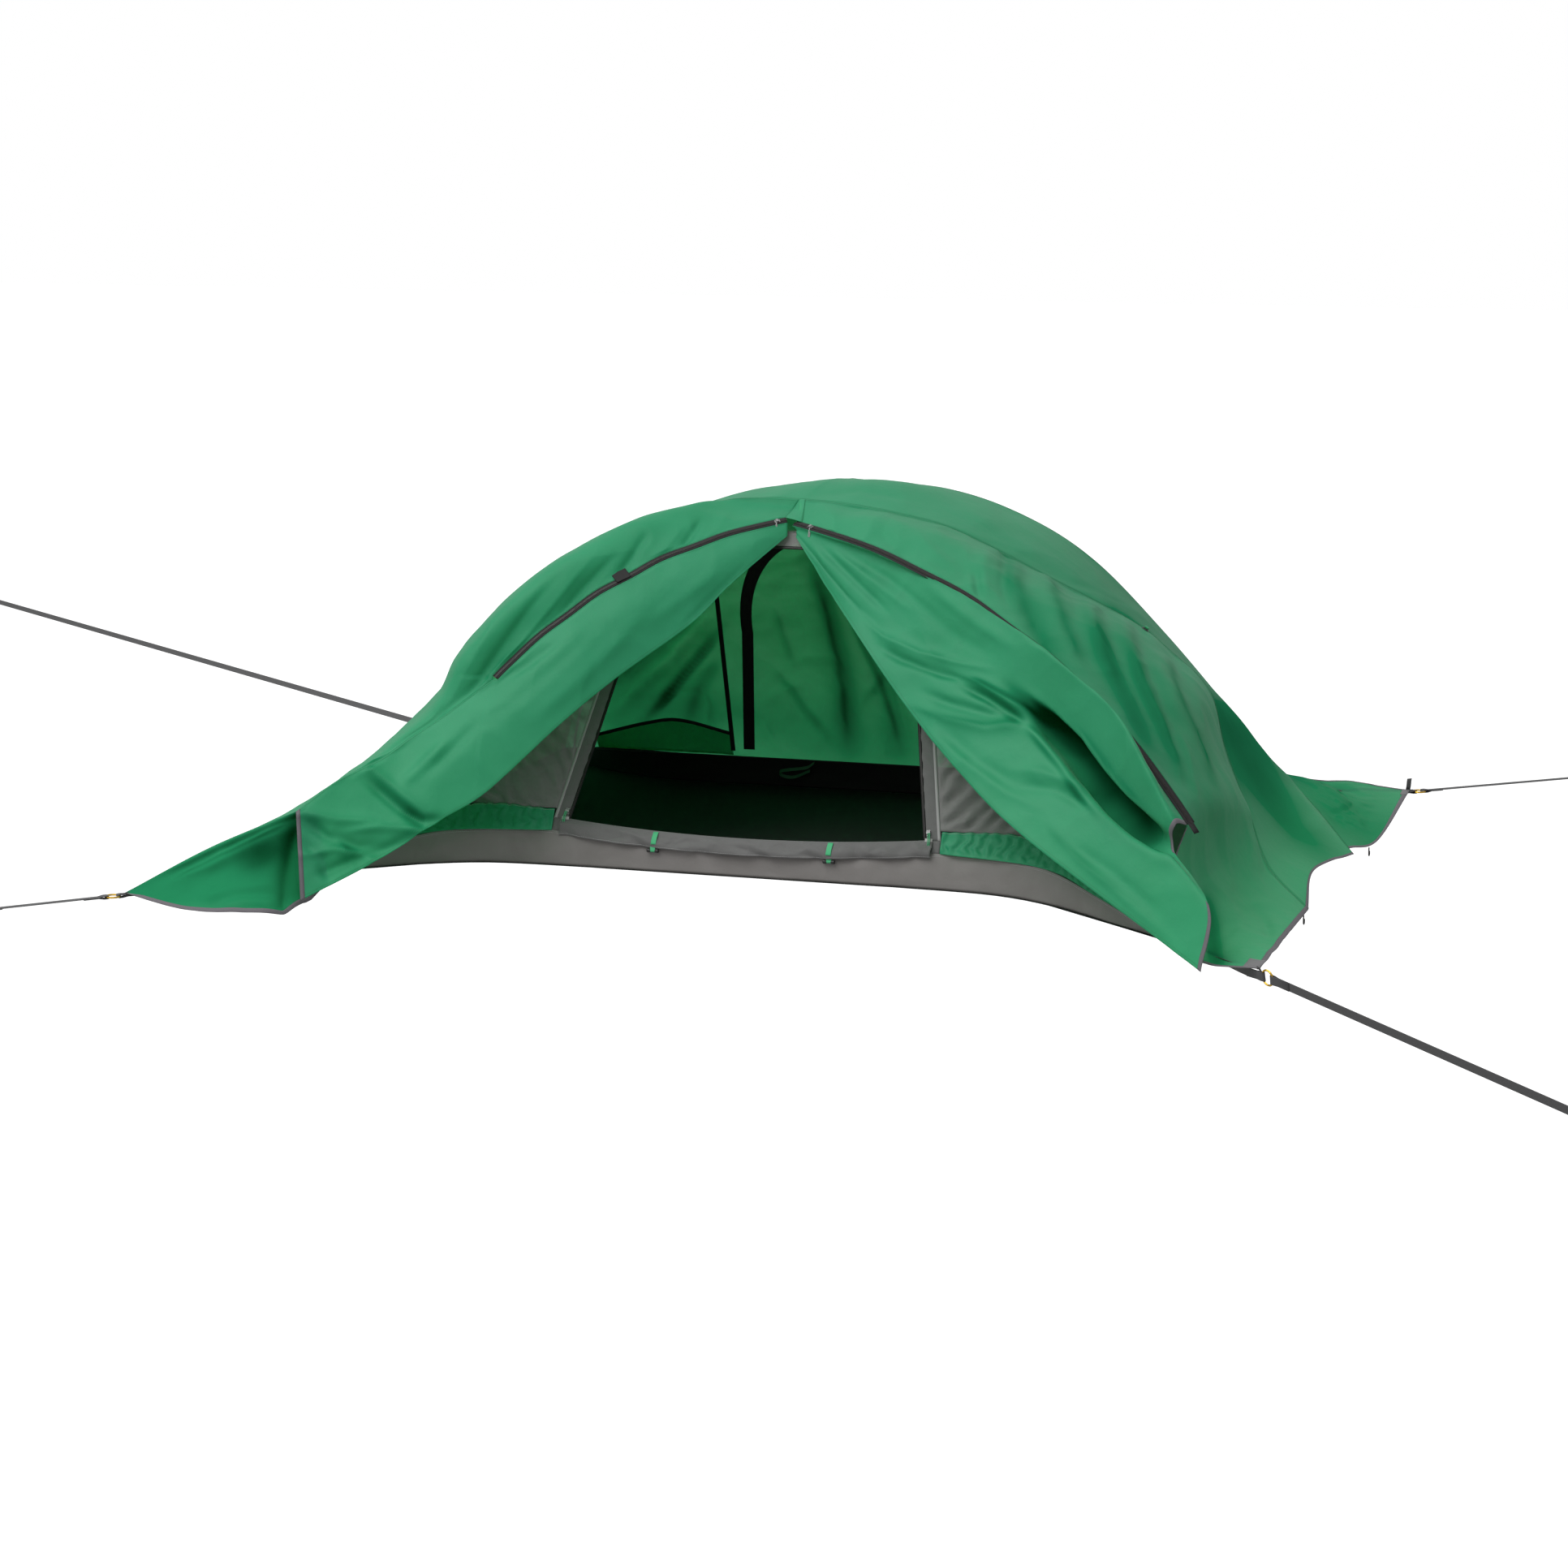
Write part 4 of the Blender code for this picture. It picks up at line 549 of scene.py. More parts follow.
def repeat_tree():
    """Geometry Nodes that set copies of a small piece along lines, with its top along up."""
    tree = bpy.data.node_groups.new("repeat_along_line", "GeometryNodeTree")
    tree.interface.new_socket(name="Line", in_out="INPUT", socket_type="NodeSocketGeometry")
    tree.interface.new_socket(name="Piece", in_out="INPUT", socket_type="NodeSocketObject")
    tree.interface.new_socket(name="Pitch", in_out="INPUT", socket_type="NodeSocketFloat")
    tree.interface.new_socket(name="Material", in_out="INPUT", socket_type="NodeSocketMaterial")
    tree.interface.new_socket(name="Pieces", in_out="OUTPUT", socket_type="NodeSocketGeometry")
    given = add_node(tree, "NodeGroupInput")
    curve = add_node(tree, "GeometryNodeMeshToCurve", {}, {"Mesh": given.outputs["Line"]})
    even = add_node(tree, "GeometryNodeResampleCurve", {"mode": "LENGTH"},
                    {"Curve": curve.outputs[0], "Length": given.outputs["Pitch"]})
    tangent = add_node(tree, "GeometryNodeInputTangent")
    up = add_node(tree, "GeometryNodeInputNamedAttribute", {"data_type": "FLOAT_VECTOR", "Name": "up"})
    along = add_node(tree, "FunctionNodeAlignRotationToVector", {"axis": "X"}, {"Vector": tangent.outputs[0]})
    level = add_node(tree, "FunctionNodeAlignRotationToVector", {"axis": "Z", "pivot_axis": "X"},
                     {"Rotation": along.outputs[0], "Vector": up.outputs[0]})
    piece = add_node(tree, "GeometryNodeObjectInfo", {}, {"Object": given.outputs["Piece"]})
    copies = add_node(tree, "GeometryNodeInstanceOnPoints", {},
                      {"Points": even.outputs[0], "Instance": piece.outputs["Geometry"],
                       "Rotation": level.outputs[0]})
    real = add_node(tree, "GeometryNodeRealizeInstances", {}, {0: copies.outputs[0]})
    paint = add_node(tree, "GeometryNodeSetMaterial", {},
                     {"Geometry": real.outputs[0], "Material": given.outputs["Material"]})
    add_node(tree, "NodeGroupOutput", {}, {0: paint.outputs[0]})
    return tree


repeat_along_line = repeat_tree()


def repeated(name, lines, ups, size, pitch, material):
    """Small blocks of a size set along lines at a pitch, as stitches or the teeth of a zip."""
    bm = bmesh.new()
    bmesh.ops.create_cube(bm, size=1.0)
    bmesh.ops.scale(bm, vec=size, verts=bm.verts)
    block = bpy.data.meshes.new(name + "_block")
    bm.to_mesh(block)
    bm.free()
    piece = bpy.data.objects.new(name + "_block", block)
    vertices = [tuple(p) for line in lines for p in line]
    edges = []
    for line in lines:
        start = edges[-1][1] + 1 if edges else 0
        edges += [(start + k, start + k + 1) for k in range(len(line) - 1)]
    mesh = bpy.data.meshes.new(name)
    mesh.from_pydata(vertices, edges, [])
    upward = mesh.attributes.new("up", "FLOAT_VECTOR", "POINT")
    for k, up in enumerate(u for line in ups for u in line):
        upward.data[k].vector = tuple(up)
    obj = bpy.data.objects.new(name, mesh)
    scene.collection.objects.link(obj)
    modifier = obj.modifiers.new("repeat", "NODES")
    modifier.node_group = repeat_along_line
    sockets = {s.name: s.identifier for s in repeat_along_line.interface.items_tree if s.in_out == "INPUT"}
    modifier[sockets["Piece"]] = piece
    modifier[sockets["Pitch"]] = pitch
    modifier[sockets["Material"]] = material
    apply_modifiers(obj)
    bpy.data.objects.remove(piece)
    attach(obj, "tent")
    return obj


def stitched(name, grids, material, lift=0.0007):
    """Lines of stitches on sheets: each is a grid, its side and the distance in from it."""
    lines = [inset(grid, side, distance, lift) for grid, side, distance in grids]
    ups = [line - inset(grid, side, distance, 0.0) for line, (grid, side, distance) in zip(lines, grids)]
    return repeated(name, lines, ups, (0.0030, 0.0007, 0.0005), 0.0042, material)


arc_left = zip_arc(ZIP_LEFT_SHARES)
arc_right = zip_arc(ZIP_RIGHT_SHARES)
brow_left = spline(places(BROW_LEFT_SHARES), SEAM_COLUMNS)
brow_right = spline(places(BROW_RIGHT_SHARES), SEAM_COLUMNS)
rear_left = spline(places(REAR_LEFT_SHARES), SEAM_COLUMNS)
rear_right = spline(places(REAR_RIGHT_SHARES), SEAM_COLUMNS)
half_tape = ZIP_TAPE / 2

# The fly's cloth is polyester ripstop with a polyurethane coat: a weave with a stronger thread
# every 5 mm, a soft sheen, and thin enough to glow green inside when light falls on it.
ripstop = bpy.data.materials.new("coated_green_ripstop")
ripstop.use_nodes = True
tree = ripstop.node_tree
shader = tree.nodes["Principled BSDF"]
uv = add_node(tree, "ShaderNodeUVMap", {"uv_map": "UVMap"})
RIP_PITCH = 0.005
cells = add_node(tree, "ShaderNodeVectorMath", {"operation": "SCALE", "Scale": 1 / RIP_PITCH},
                 {0: uv.outputs[0]})
cell = add_node(tree, "ShaderNodeVectorMath", {"operation": "FRACTION"}, {0: cells.outputs[0]})
sides = add_node(tree, "ShaderNodeSeparateXYZ", {}, {0: cell.outputs[0]})
nearest = add_node(tree, "ShaderNodeMath", {"operation": "MINIMUM"},
                   {0: sides.outputs[0], 1: sides.outputs[1]})
thread = add_node(tree, "ShaderNodeMath", {"operation": "LESS_THAN", 1: 0.12}, {0: nearest.outputs[0]})
spot = add_node(tree, "ShaderNodeTexCoord")
soft = add_node(tree, "ShaderNodeTexNoise", {"Scale": 16.0, "Detail": 4.0, "Roughness": 0.55,
                                             "Distortion": 0.4},
                {"Vector": spot.outputs["Object"]})
mottle = add_node(tree, "ShaderNodeTexNoise", {"Scale": 5.0, "Detail": 3.0},
                  {"Vector": spot.outputs["Object"]})
lit = add_node(tree, "ShaderNodeMix", {"data_type": "RGBA", 6: hex_colour("#2A9568"),
                                       7: hex_colour("#34A275")},
               {0: mottle.outputs[0]})
weave = add_node(tree, "ShaderNodeBump", {"Strength": 0.35, "Distance": 0.0002},
                 {"Height": thread.outputs[0]})
rumple = add_node(tree, "ShaderNodeBump", {"Strength": 0.35, "Distance": 0.006},
                  {"Height": soft.outputs[0], "Normal": weave.outputs[0]})
# Painted shade: the sheet's "fold" attribute darkens the cloth's colour towards #2A5E44, darkens its glow and
# dulls its specular and sheen, standing in for the shade in folds and on parts turned from the light.
painted_fold_shade = add_node(tree, "ShaderNodeAttribute", {"attribute_name": "fold"})
deep = add_node(tree, "ShaderNodeMix", {"data_type": "RGBA", "blend_type": "MULTIPLY",
                                        7: hex_colour("#2A5E44")},
                {0: painted_fold_shade.outputs["Fac"], 6: lit.outputs[2]})
tree.links.new(deep.outputs[2], shader.inputs["Base Color"])
tree.links.new(rumple.outputs[0], shader.inputs["Normal"])
shader.inputs["Roughness"].default_value = 0.5
for socket, amount in (("Specular IOR Level", 0.30), ("Sheen Weight", 0.16)):
    dulled = add_node(tree, "ShaderNodeMapRange", {1: 0.0, 2: 0.3, 3: amount, 4: 0.0},
                      {0: painted_fold_shade.outputs["Fac"]})
    tree.links.new(dulled.outputs[0], shader.inputs[socket])
shader.inputs["Sheen Roughness"].default_value = 0.45
shader.inputs["Sheen Tint"].default_value = hex_colour("#C4DCCD")
through = add_node(tree, "ShaderNodeBsdfTranslucent")
glow = add_node(tree, "ShaderNodeMix", {"data_type": "RGBA", 6: hex_colour("#2FB260"),
                                        7: hex_colour("#053F1B")},
                {0: painted_fold_shade.outputs["Fac"]})
tree.links.new(glow.outputs[2], through.inputs["Color"])
cloth = add_node(tree, "ShaderNodeMixShader", {0: 0.34}, {1: shader.outputs[0], 2: through.outputs[0]})
side_seen = add_node(tree, "ShaderNodeNewGeometry")
inside = add_node(tree, "ShaderNodeBsdfTransparent")
thin = add_node(tree, "ShaderNodeMixShader", {}, {0: side_seen.outputs["Backfacing"], 1: cloth.outputs[0],
                                                2: inside.outputs[0]})
tree.links.new(thin.outputs[0], tree.nodes["Material Output"].inputs["Surface"])

# The fly's raw edges are bound with 15 mm grey grosgrain, and its seams are sewn in green thread.
grosgrain = bpy.data.materials.new("grey_grosgrain")
grosgrain.use_nodes = True
tree = grosgrain.node_tree
shader = tree.nodes["Principled BSDF"]
uv = add_node(tree, "ShaderNodeUVMap", {"uv_map": "UVMap"})
ribs = add_node(tree, "ShaderNodeTexWave", {"Scale": 320.0, "bands_direction": "X"},
                {"Vector": uv.outputs[0]})
tone = add_node(tree, "ShaderNodeMix", {"data_type": "RGBA", 6: hex_colour("#565358"),
                                        7: hex_colour("#6A676C")},
                {0: ribs.outputs["Fac"]})
bump = add_node(tree, "ShaderNodeBump", {"Strength": 0.4, "Distance": 0.0003},
                {"Height": ribs.outputs["Fac"]})
tree.links.new(tone.outputs[2], shader.inputs["Base Color"])
tree.links.new(bump.outputs[0], shader.inputs["Normal"])
shader.inputs["Roughness"].default_value = 0.75


def plain(name, colour, roughness, metallic=0.0, sheen=0.0):
    """A material of one colour with a faint unevenness."""
    made = bpy.data.materials.new(name)
    made.use_nodes = True
    nodes = made.node_tree
    principled = nodes.nodes["Principled BSDF"]
    place = add_node(nodes, "ShaderNodeTexCoord")
    grain = add_node(nodes, "ShaderNodeTexNoise", {"Scale": 900.0, "Detail": 2.0},
                     {"Vector": place.outputs["Object"]})
    raised = add_node(nodes, "ShaderNodeBump", {"Strength": 0.15, "Distance": 0.0002},
                      {"Height": grain.outputs[0]})
    nodes.links.new(raised.outputs[0], principled.inputs["Normal"])
    principled.inputs["Base Color"].default_value = hex_colour(colour)
    principled.inputs["Roughness"].default_value = roughness
    principled.inputs["Metallic"].default_value = metallic
    principled.inputs["Sheen Weight"].default_value = sheen
    return made


green_thread = plain("green_polyester_thread", "#237A50", 0.7)
black_tape = plain("black_zip_tape", "#0B0B0B", 0.8)
zip_coil = plain("brown_black_nylon_coil", "#211C18", 0.4)


# How far round and how strongly a sheet's bends are painted as shade in its colour, through fold_share.
FOLD_REACH = 9
FOLD_GAIN = 1.5


def fold_share(grid):
    """How far each place of a sheet is turned from the sheet around it: 0 flat, 1 a sharp fold."""
    normal = facing(grid)
    around = normal.copy()
    for axis in (0, 1):
        reach = min(FOLD_REACH, grid.shape[axis] - 1)
        total = np.zeros_like(around)
        for step in range(-reach, reach + 1):
            index = np.clip(np.arange(grid.shape[axis]) + step, 0, grid.shape[axis] - 1)
            total += np.take(around, index, axis=axis)
        around = total / (2 * reach + 1)
    around /= np.linalg.norm(around, axis=2, keepdims=True)
    return np.clip((1 - np.sum(normal * around, axis=2)) * FOLD_GAIN, 0, 1)


def cloth_sheet(name, grid, cad_nodes, material, thickness=FLY_CLOTH,
                shade=0.0):
    """A sewn sheet in place of its CAD node. Its "fold" attribute is painted shade: how far the sheet
    bends (fold_share) plus the given shade, which makes the cloth darker where it lies deep in a fold
    or over itself."""
    flat_sheet = grid_object(name, grid)
    fold = flat_sheet.data.attributes.new("fold", "FLOAT", "POINT")
    fold.data.foreach_set("value", np.clip(fold_share(grid) + shade, 0, 1).ravel())
    obj = thicken(flat_sheet, thickness)
    obj.data.materials.append(material)
    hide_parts(*cad_nodes)
    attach(obj, "tent")
    return obj


# The roof strip is sewn between the brow and the rear seam and runs from hem to hem over the
# poles' crossing. It is taut, with soft pole lines and fine wrinkles along its seams.
brow = np.vstack([brow_left[::-1], brow_right[1:]])
rear = np.vstack([rear_left[::-1], rear_right[1:]])
roof_mid = np.vstack([spline(places(ROOF_MID_LEFT_SHARES), SEAM_COLUMNS)[::-1],
                      spline(places(ROOF_MID_RIGHT_SHARES), SEAM_COLUMNS)[1:]])
ROOF_FOLDS = (
    (4, 9, "ridge", ((1120, 600), (1200, 634), (1290, 690), (1370, 748), (1440, 812))),
    (3, 5, "crease", ((1180, 654), (1230, 668), (1290, 694))),
    (-3, 4, "ridge", ((1300, 712), (1345, 728), (1400, 752))),
    (3, 4, "crease", ((1330, 722), (1385, 742), (1430, 775))),
    (-3, 5, "ridge", ((1000, 612), (1060, 604), (1130, 618))),
    (12, 8, "crease", ((1480, 830), (1512, 866), (1555, 915), (1605, 990), (1655, 1042))),
    (-7, 12, "ridge", ((1500, 880), (1545, 940), (1590, 1010), (1620, 1050))),
    (5, 10, "ridge", ((1480, 860), (1520, 935), (1560, 1010), (1600, 1070))),
)
# Painted shade for the roof, in thousandths of full darkness in place of a fold's height: along its right hip
# and down its right end, where the cloth is turned from the light.
ROOF_SHADES = (
    (280, 26, "ridge", ((1460, 820), (1515, 895), (1555, 960), (1600, 1025), (1655, 1065), (1710, 1110))),
    (190, 60, "ridge", ((1240, 660), (1330, 715), (1420, 800), (1500, 900), (1560, 1000), (1620, 1090))),
    (260, 10, "ridge", ((1345, 745), (1385, 768), (1425, 800))),
)
roof_grid = loft([brow, roof_mid, rear], 66)
roof_shade = np.clip(fold_height(in_photo(roof_grid), ROOF_SHADES), 0, 1)
roof_grid = folded(roof_grid, ROOF_FOLDS, crumple(roof_grid, 0.0035, 0.17, (1.0, 2.0, 1.0)),
                   ("first", "last"))
trims = [binding("roof_hem_left", roof_grid, "start", grosgrain),
         binding("roof_hem_right", roof_grid, "end", grosgrain),
         stitched("roof_seams", [(roof_grid, "first", 0.004), (roof_grid, "first", 0.012),
                                 (roof_grid, "last", 0.004), (roof_grid, "last", 0.012)],
                  green_thread)]
cloth_sheet("roof_strip", roof_grid, ["fly_roof"], ripstop,
            shade=roof_shade)

# The left band hangs from the brow down to the left zip and on to the front left ring. Its
# creases run slantwise from the brow to the zip's lower end.
LEFT_BAND_FOLDS = (
    (-7, 8, "ridge", ((705, 690), (660, 742), (618, 800), (585, 850), (560, 890))),
    (7, 6, "crease", ((752, 664), (705, 715), (652, 780), (605, 838), (570, 880))),
    (-5, 6, "ridge", ((770, 672), (722, 722), (672, 782))),
    (-6, 6, "ridge", ((802, 650), (778, 688), (755, 718))),
    (5, 5, "crease", ((848, 641), (824, 672), (802, 700))),
    (-6, 5, "ridge", ((868, 636), (850, 662), (836, 682))),
    (6, 7, "crease", ((655, 716), (608, 770), (572, 830), (540, 890))),
    (-6, 9, "ridge", ((600, 785), (562, 842), (530, 895), (508, 925))),
    (4, 7, "crease", ((900, 628), (885, 650), (868, 668))),
    (8, 14, "ridge", ((640, 822), (575, 876), (500, 925), (410, 975))),
    (-6, 9, "ridge", ((560, 862), (510, 905), (440, 945), (390, 985))),
    (5, 6, "crease", ((480, 930), (440, 948), (400, 968))),
)
edge_left = spline([arc_place(arc_left, 1.0)] + places(EDGE_LEFT_SHARES), EDGE_COLUMNS)[1:]
fold_end = edge_left[-1]
WING_COLUMNS = SEAM_COLUMNS - ZIP_COLUMNS - EDGE_COLUMNS + 2
wing_top = spline([fold_end, at(WING_MID_LEFT_SHARES), at(WING_TIP_LEFT_SHARES)], WING_COLUMNS)[1:]
band_bottom = np.vstack([arc_row(arc_left, -half_tape, ZIP_COLUMNS), edge_left, wing_top])
band_grid = loft([brow_left, spline(places(CREST_LEFT_SHARES), SEAM_COLUMNS), band_bottom], BAND_ROWS)
band_left_grid = folded(band_grid, LEFT_BAND_FOLDS, crumple(band_grid, 0.005, 0.13, (1.6, 1.0, 1.6), 3.0),
                        ("first", "last", "start"))
trims = [binding("left_band_hem", band_left_grid, "end", grosgrain),
         stitched("left_band_seams", [(band_left_grid, "first", 0.004), (band_left_grid, "last", 0.004)],
                  green_thread)]
# The whole left band is painted a little darker, as painted shade.
cloth_sheet("left_band", band_left_grid, ["fly_band_left"], ripstop,
            shade=0.06)

# The left wing is the loose corner below the band, which turns under beside the ring.
wing_hem = spline(places(WING_HEM_LEFT_SHARES), WING_COLUMNS)
wing_line = np.vstack([[fold_end], wing_top])
WING_FOLDS = (
    (-38, 20, "ridge", ((380, 980), (366, 1050), (360, 1150))),
    (-14, 7, "ridge", ((185, 1092), (260, 1052), (322, 1022), (390, 990))),
    (9, 5, "crease", ((165, 1098), (240, 1054), (310, 1021), (372, 995))),
    (9, 6, "crease", ((190, 1098), (262, 1066), (322, 1036), (380, 1010))),
    (-9, 12, "ridge", ((230, 1090), (290, 1068), (350, 1048))),
    (7, 9, "ridge", ((240, 1112), (290, 1096), (345, 1088))),
    (6, 7, "ridge", ((262, 1120), (300, 1112), (350, 1112))),
)
wing_grid = loft([wing_line[::-1], wing_hem], 60)
TUCK_STEP = np.array([0.006, 0.003, 0.0])
TUCK_RISE = 0.0065
rise = np.linspace(0, TUCK_RISE, 60)[:, None, None] * np.array([0.0, 0.0, 1.0])
tucked = wing_grid[:, -1:] + np.arange(1, 10)[None, :, None] * (TUCK_STEP + rise)
wing_grid = np.concatenate([wing_grid, tucked], axis=1)
# Painted shade for the wing, in thousandths of full darkness: along its hem, and most beside the door's end
# binding, where it turns in under the door.
WING_SHADES = (
    (330, 60, "ridge", ((-20, 1130), (150, 1100), (260, 1085), (380, 1080), (560, 1080))),
    (560, 20, "ridge", ((270, 1062), (310, 1056), (345, 1042), (372, 1012), (400, 960))),
)
wing_shade = np.clip(fold_height(in_photo(wing_grid), WING_SHADES), 0, 1)
wing_grid = folded(wing_grid, WING_FOLDS, crumple(wing_grid, 0.003, 0.11, seed=5.0), ("first",))
trims = [binding("left_wing_hem", wing_grid, "last", grosgrain),
         binding("left_wing_end", wing_grid, "end", grosgrain)]
cloth_sheet("left_wing", wing_grid, ["fly_wing_left"], ripstop,
            shade=wing_shade)

# The left door half hangs from its zip, with its free edge curled in and creases that run
# from the corner by the wing.
LEFT_DOOR_FOLDS = (
    (12, 6, "crease", ((350, 999), (416, 1011), (478, 1013))),
    (-11, 7, "ridge", ((360, 1004), (403, 1030), (441, 1044), (482, 1040))),
    (13, 7, "crease", ((425, 918), (466, 956), (497, 981), (540, 1012))),
    (-15, 7, "ridge", ((440, 950), (490, 994), (522, 1018), (552, 1012))),
    (12, 5, "crease", ((552, 1024), (505, 1022), (470, 1020), (415, 1026))),
    (10, 5, "crease", ((352, 1058), (412, 1047), (445, 1052), (480, 1070))),
    (-11, 7, "ridge", ((375, 1085), (430, 1062), (475, 1046), (535, 1020))),
    (-9, 5, "ridge", ((490, 996), (520, 1010), (552, 1008))),
    (-9, 8, "ridge", ((368, 1030), (396, 1060), (410, 1096))),
    (8, 6, "crease", ((392, 1012), (420, 1040), (440, 1075))),
    (7, 8, "ridge", ((560, 905), (520, 945), (486, 975))),
    (-6, 8, "ridge", ((600, 880), (555, 925), (512, 965))),
    (4, 6, "crease", ((672, 786), (640, 812), (602, 838))),
    (-5, 6, "ridge", ((700, 780), (655, 816), (610, 842))),
    (5, 10, "ridge", ((810, 738), (760, 792), (700, 850), (640, 900))),
    (-5, 10, "ridge", ((745, 762), (700, 806), (650, 850), (590, 900))),
    (4, 9, "ridge", ((900, 690), (850, 730), (790, 775))),
    (-4, 6, "ridge", ((925, 690), (880, 735), (830, 785))),
)
door_top = np.vstack([arc_row(arc_left, half_tape, ZIP_COLUMNS), edge_left])
door_free = spline(places(FREE_LEFT_SHARES), len(door_top))
DOOR_BELLY = 0.030


def bulged(low, high, belly):
    """A row half way between two rows, pushed outwards, most at its middle."""
    mid = (low + high) / 2
    outward = np.stack([mid[:, 0] * 0.5, mid[:, 1], np.full(len(mid), FLY_TOP / 2)], axis=1)
    outward /= np.linalg.norm(outward, axis=1, keepdims=True)
    return mid + outward * (belly * np.sin(np.pi * np.linspace(0, 1, len(mid))))[:, None]


door_grid = loft([door_top, bulged(door_top, door_free, DOOR_BELLY), door_free], 60)
door_left_grid = folded(door_grid, LEFT_DOOR_FOLDS, crumple(door_grid, 0.004, 0.12, (1.5, 1.0, 1.5),
                                                            7.0), ("first",))
trims = [binding("left_door_end", door_left_grid, "end", grosgrain),
         stitched("left_door_seam", [(door_left_grid, "first", 0.004), (door_left_grid, "last", 0.010)],
                  green_thread)]
cloth_sheet("left_door_half", door_left_grid, ["fly_door_left"], ripstop)

# The right band hangs from the brow to the right zip and on to the front right ring. Its seam
# is gathered, so that folds hang from it down to the zip.
RIGHT_BAND_FOLDS = (
    (-4, 5, "ridge", ((1204, 700), (1205, 722), (1209, 742))),
    (3, 5, "ridge", ((1193, 702), (1195, 722), (1199, 742))),
    (-7, 9, "ridge", ((1244, 652), (1240, 684), (1236, 720), (1246, 762))),
    (6, 9, "ridge", ((1218, 668), (1210, 700), (1214, 740))),
    (-6, 12, "ridge", ((1262, 664), (1262, 706), (1272, 752), (1294, 806), (1318, 846))),
    (4, 9, "ridge", ((1290, 674), (1288, 708), (1300, 748), (1312, 790))),
    (-6, 13, "ridge", ((1310, 684), (1318, 726), (1330, 774), (1356, 826), (1384, 872))),
    (5, 8, "ridge", ((1334, 722), (1346, 764), (1360, 812), (1384, 858))),
    (-7, 11, "ridge", ((1352, 712), (1362, 752), (1378, 806), (1404, 858), (1432, 912))),
    (5, 9, "ridge", ((1376, 740), (1390, 788), (1408, 840), (1434, 892))),
    (-6, 8, "ridge", ((1392, 742), (1404, 786), (1422, 838), (1446, 896), (1462, 936))),
    (6, 12, "ridge", ((1412, 760), (1430, 812), (1452, 866), (1476, 926), (1488, 966))),
    (-5, 8, "ridge", ((1436, 776), (1450, 816), (1470, 872), (1490, 926), (1500, 968))),
    (4, 10, "ridge", ((1458, 800), (1476, 850), (1494, 902), (1506, 948))),
    (5, 4, "crease", ((1394, 800), (1404, 840), (1422, 872), (1444, 920))),
    (4, 4, "crease", ((1424, 872), (1440, 915), (1452, 950), (1460, 985))),
    (4, 4, "crease", ((1446, 882), (1462, 930), (1474, 975), (1482, 1010))),
    (-5, 8, "ridge", ((1080, 650), (1100, 672), (1130, 690))),
    (5, 8, "ridge", ((1120, 650), (1150, 680), (1190, 712))),
    (-8, 13, "ridge", ((1478, 965), (1500, 1035), (1530, 1100), (1548, 1160))),
    (9, 7, "crease", ((1505, 935), (1522, 985), (1540, 1040), (1541, 1090))),
    (7, 6, "crease", ((1520, 968), (1541, 1015), (1562, 1054), (1592, 1090))),
    (-6, 9, "ridge", ((1536, 1000), (1556, 1048), (1570, 1090))),
    (-5, 7, "ridge", ((1540, 1110), (1560, 1135), (1566, 1165))),
)
# Painted shade for the right band, in thousandths of full darkness: streaks hanging from the gathered seam, a
# broad darkening down its right side, and the dark pocket at its foot.
BAND_SHADES = (
    (230, 16, "ridge", ((1226, 660), (1252, 722), (1282, 782), (1316, 850))),
    (150, 8, "ridge", ((1286, 690), (1306, 752), (1340, 830))),
    (280, 11, "ridge", ((1338, 740), (1362, 806), (1396, 882), (1432, 950))),
    (200, 7, "ridge", ((1380, 760), (1404, 838), (1440, 922), (1468, 978))),
    (160, 6, "ridge", ((1430, 790), (1456, 862), (1486, 930), (1504, 990))),
    (170, 60, "ridge", ((1240, 680), (1320, 760), (1410, 860), (1480, 970), (1530, 1080), (1560, 1160))),
    (480, 12, "ridge", ((1478, 1080), (1492, 1140), (1499, 1185), (1515, 1240))),
)
BAND_BELLY = 0.056
FOOT_COLUMNS = 68
foot = spline([arc_place(arc_right, 1.0)] + places(BAND_FOOT_RIGHT_SHARES), FOOT_COLUMNS + 1)[1:]
band_bottom = np.vstack([arc_row(arc_right, -half_tape, SEAM_COLUMNS - FOOT_COLUMNS), foot])
bend = SEAM_COLUMNS - FOOT_COLUMNS
BEND_REACH = 24
BEND_ROUNDS = 30
for _ in range(BEND_ROUNDS):
    before = band_bottom[bend - BEND_REACH - 1:bend + BEND_REACH - 1]
    after = band_bottom[bend - BEND_REACH + 1:bend + BEND_REACH + 1]
    band_bottom[bend - BEND_REACH:bend + BEND_REACH] = (before + after) / 2
band_grid = loft([brow_right, bulged(brow_right, band_bottom, BAND_BELLY), band_bottom], BAND_ROWS)
band_shade = np.clip(fold_height(in_photo(band_grid), BAND_SHADES), 0, 1)
band_right_grid = folded(band_grid, RIGHT_BAND_FOLDS, crumple(band_grid, 0.005, 0.12, (1.0, 1.4, 2.0), 11.0),
                         ("first", "last", "start"), 3)
trims = [binding("right_band_hem", band_right_grid, "end", grosgrain),
         binding("right_band_foot", band_right_grid[:, -FOOT_COLUMNS:], "last", grosgrain),
         stitched("right_band_seams", [(band_right_grid, "first", 0.004), (band_right_grid, "first", 0.012),
                                       (band_right_grid, "last", 0.004)], green_thread)]
cloth_sheet("right_band", band_right_grid, ["fly_band_right"], ripstop,
            shade=band_shade)

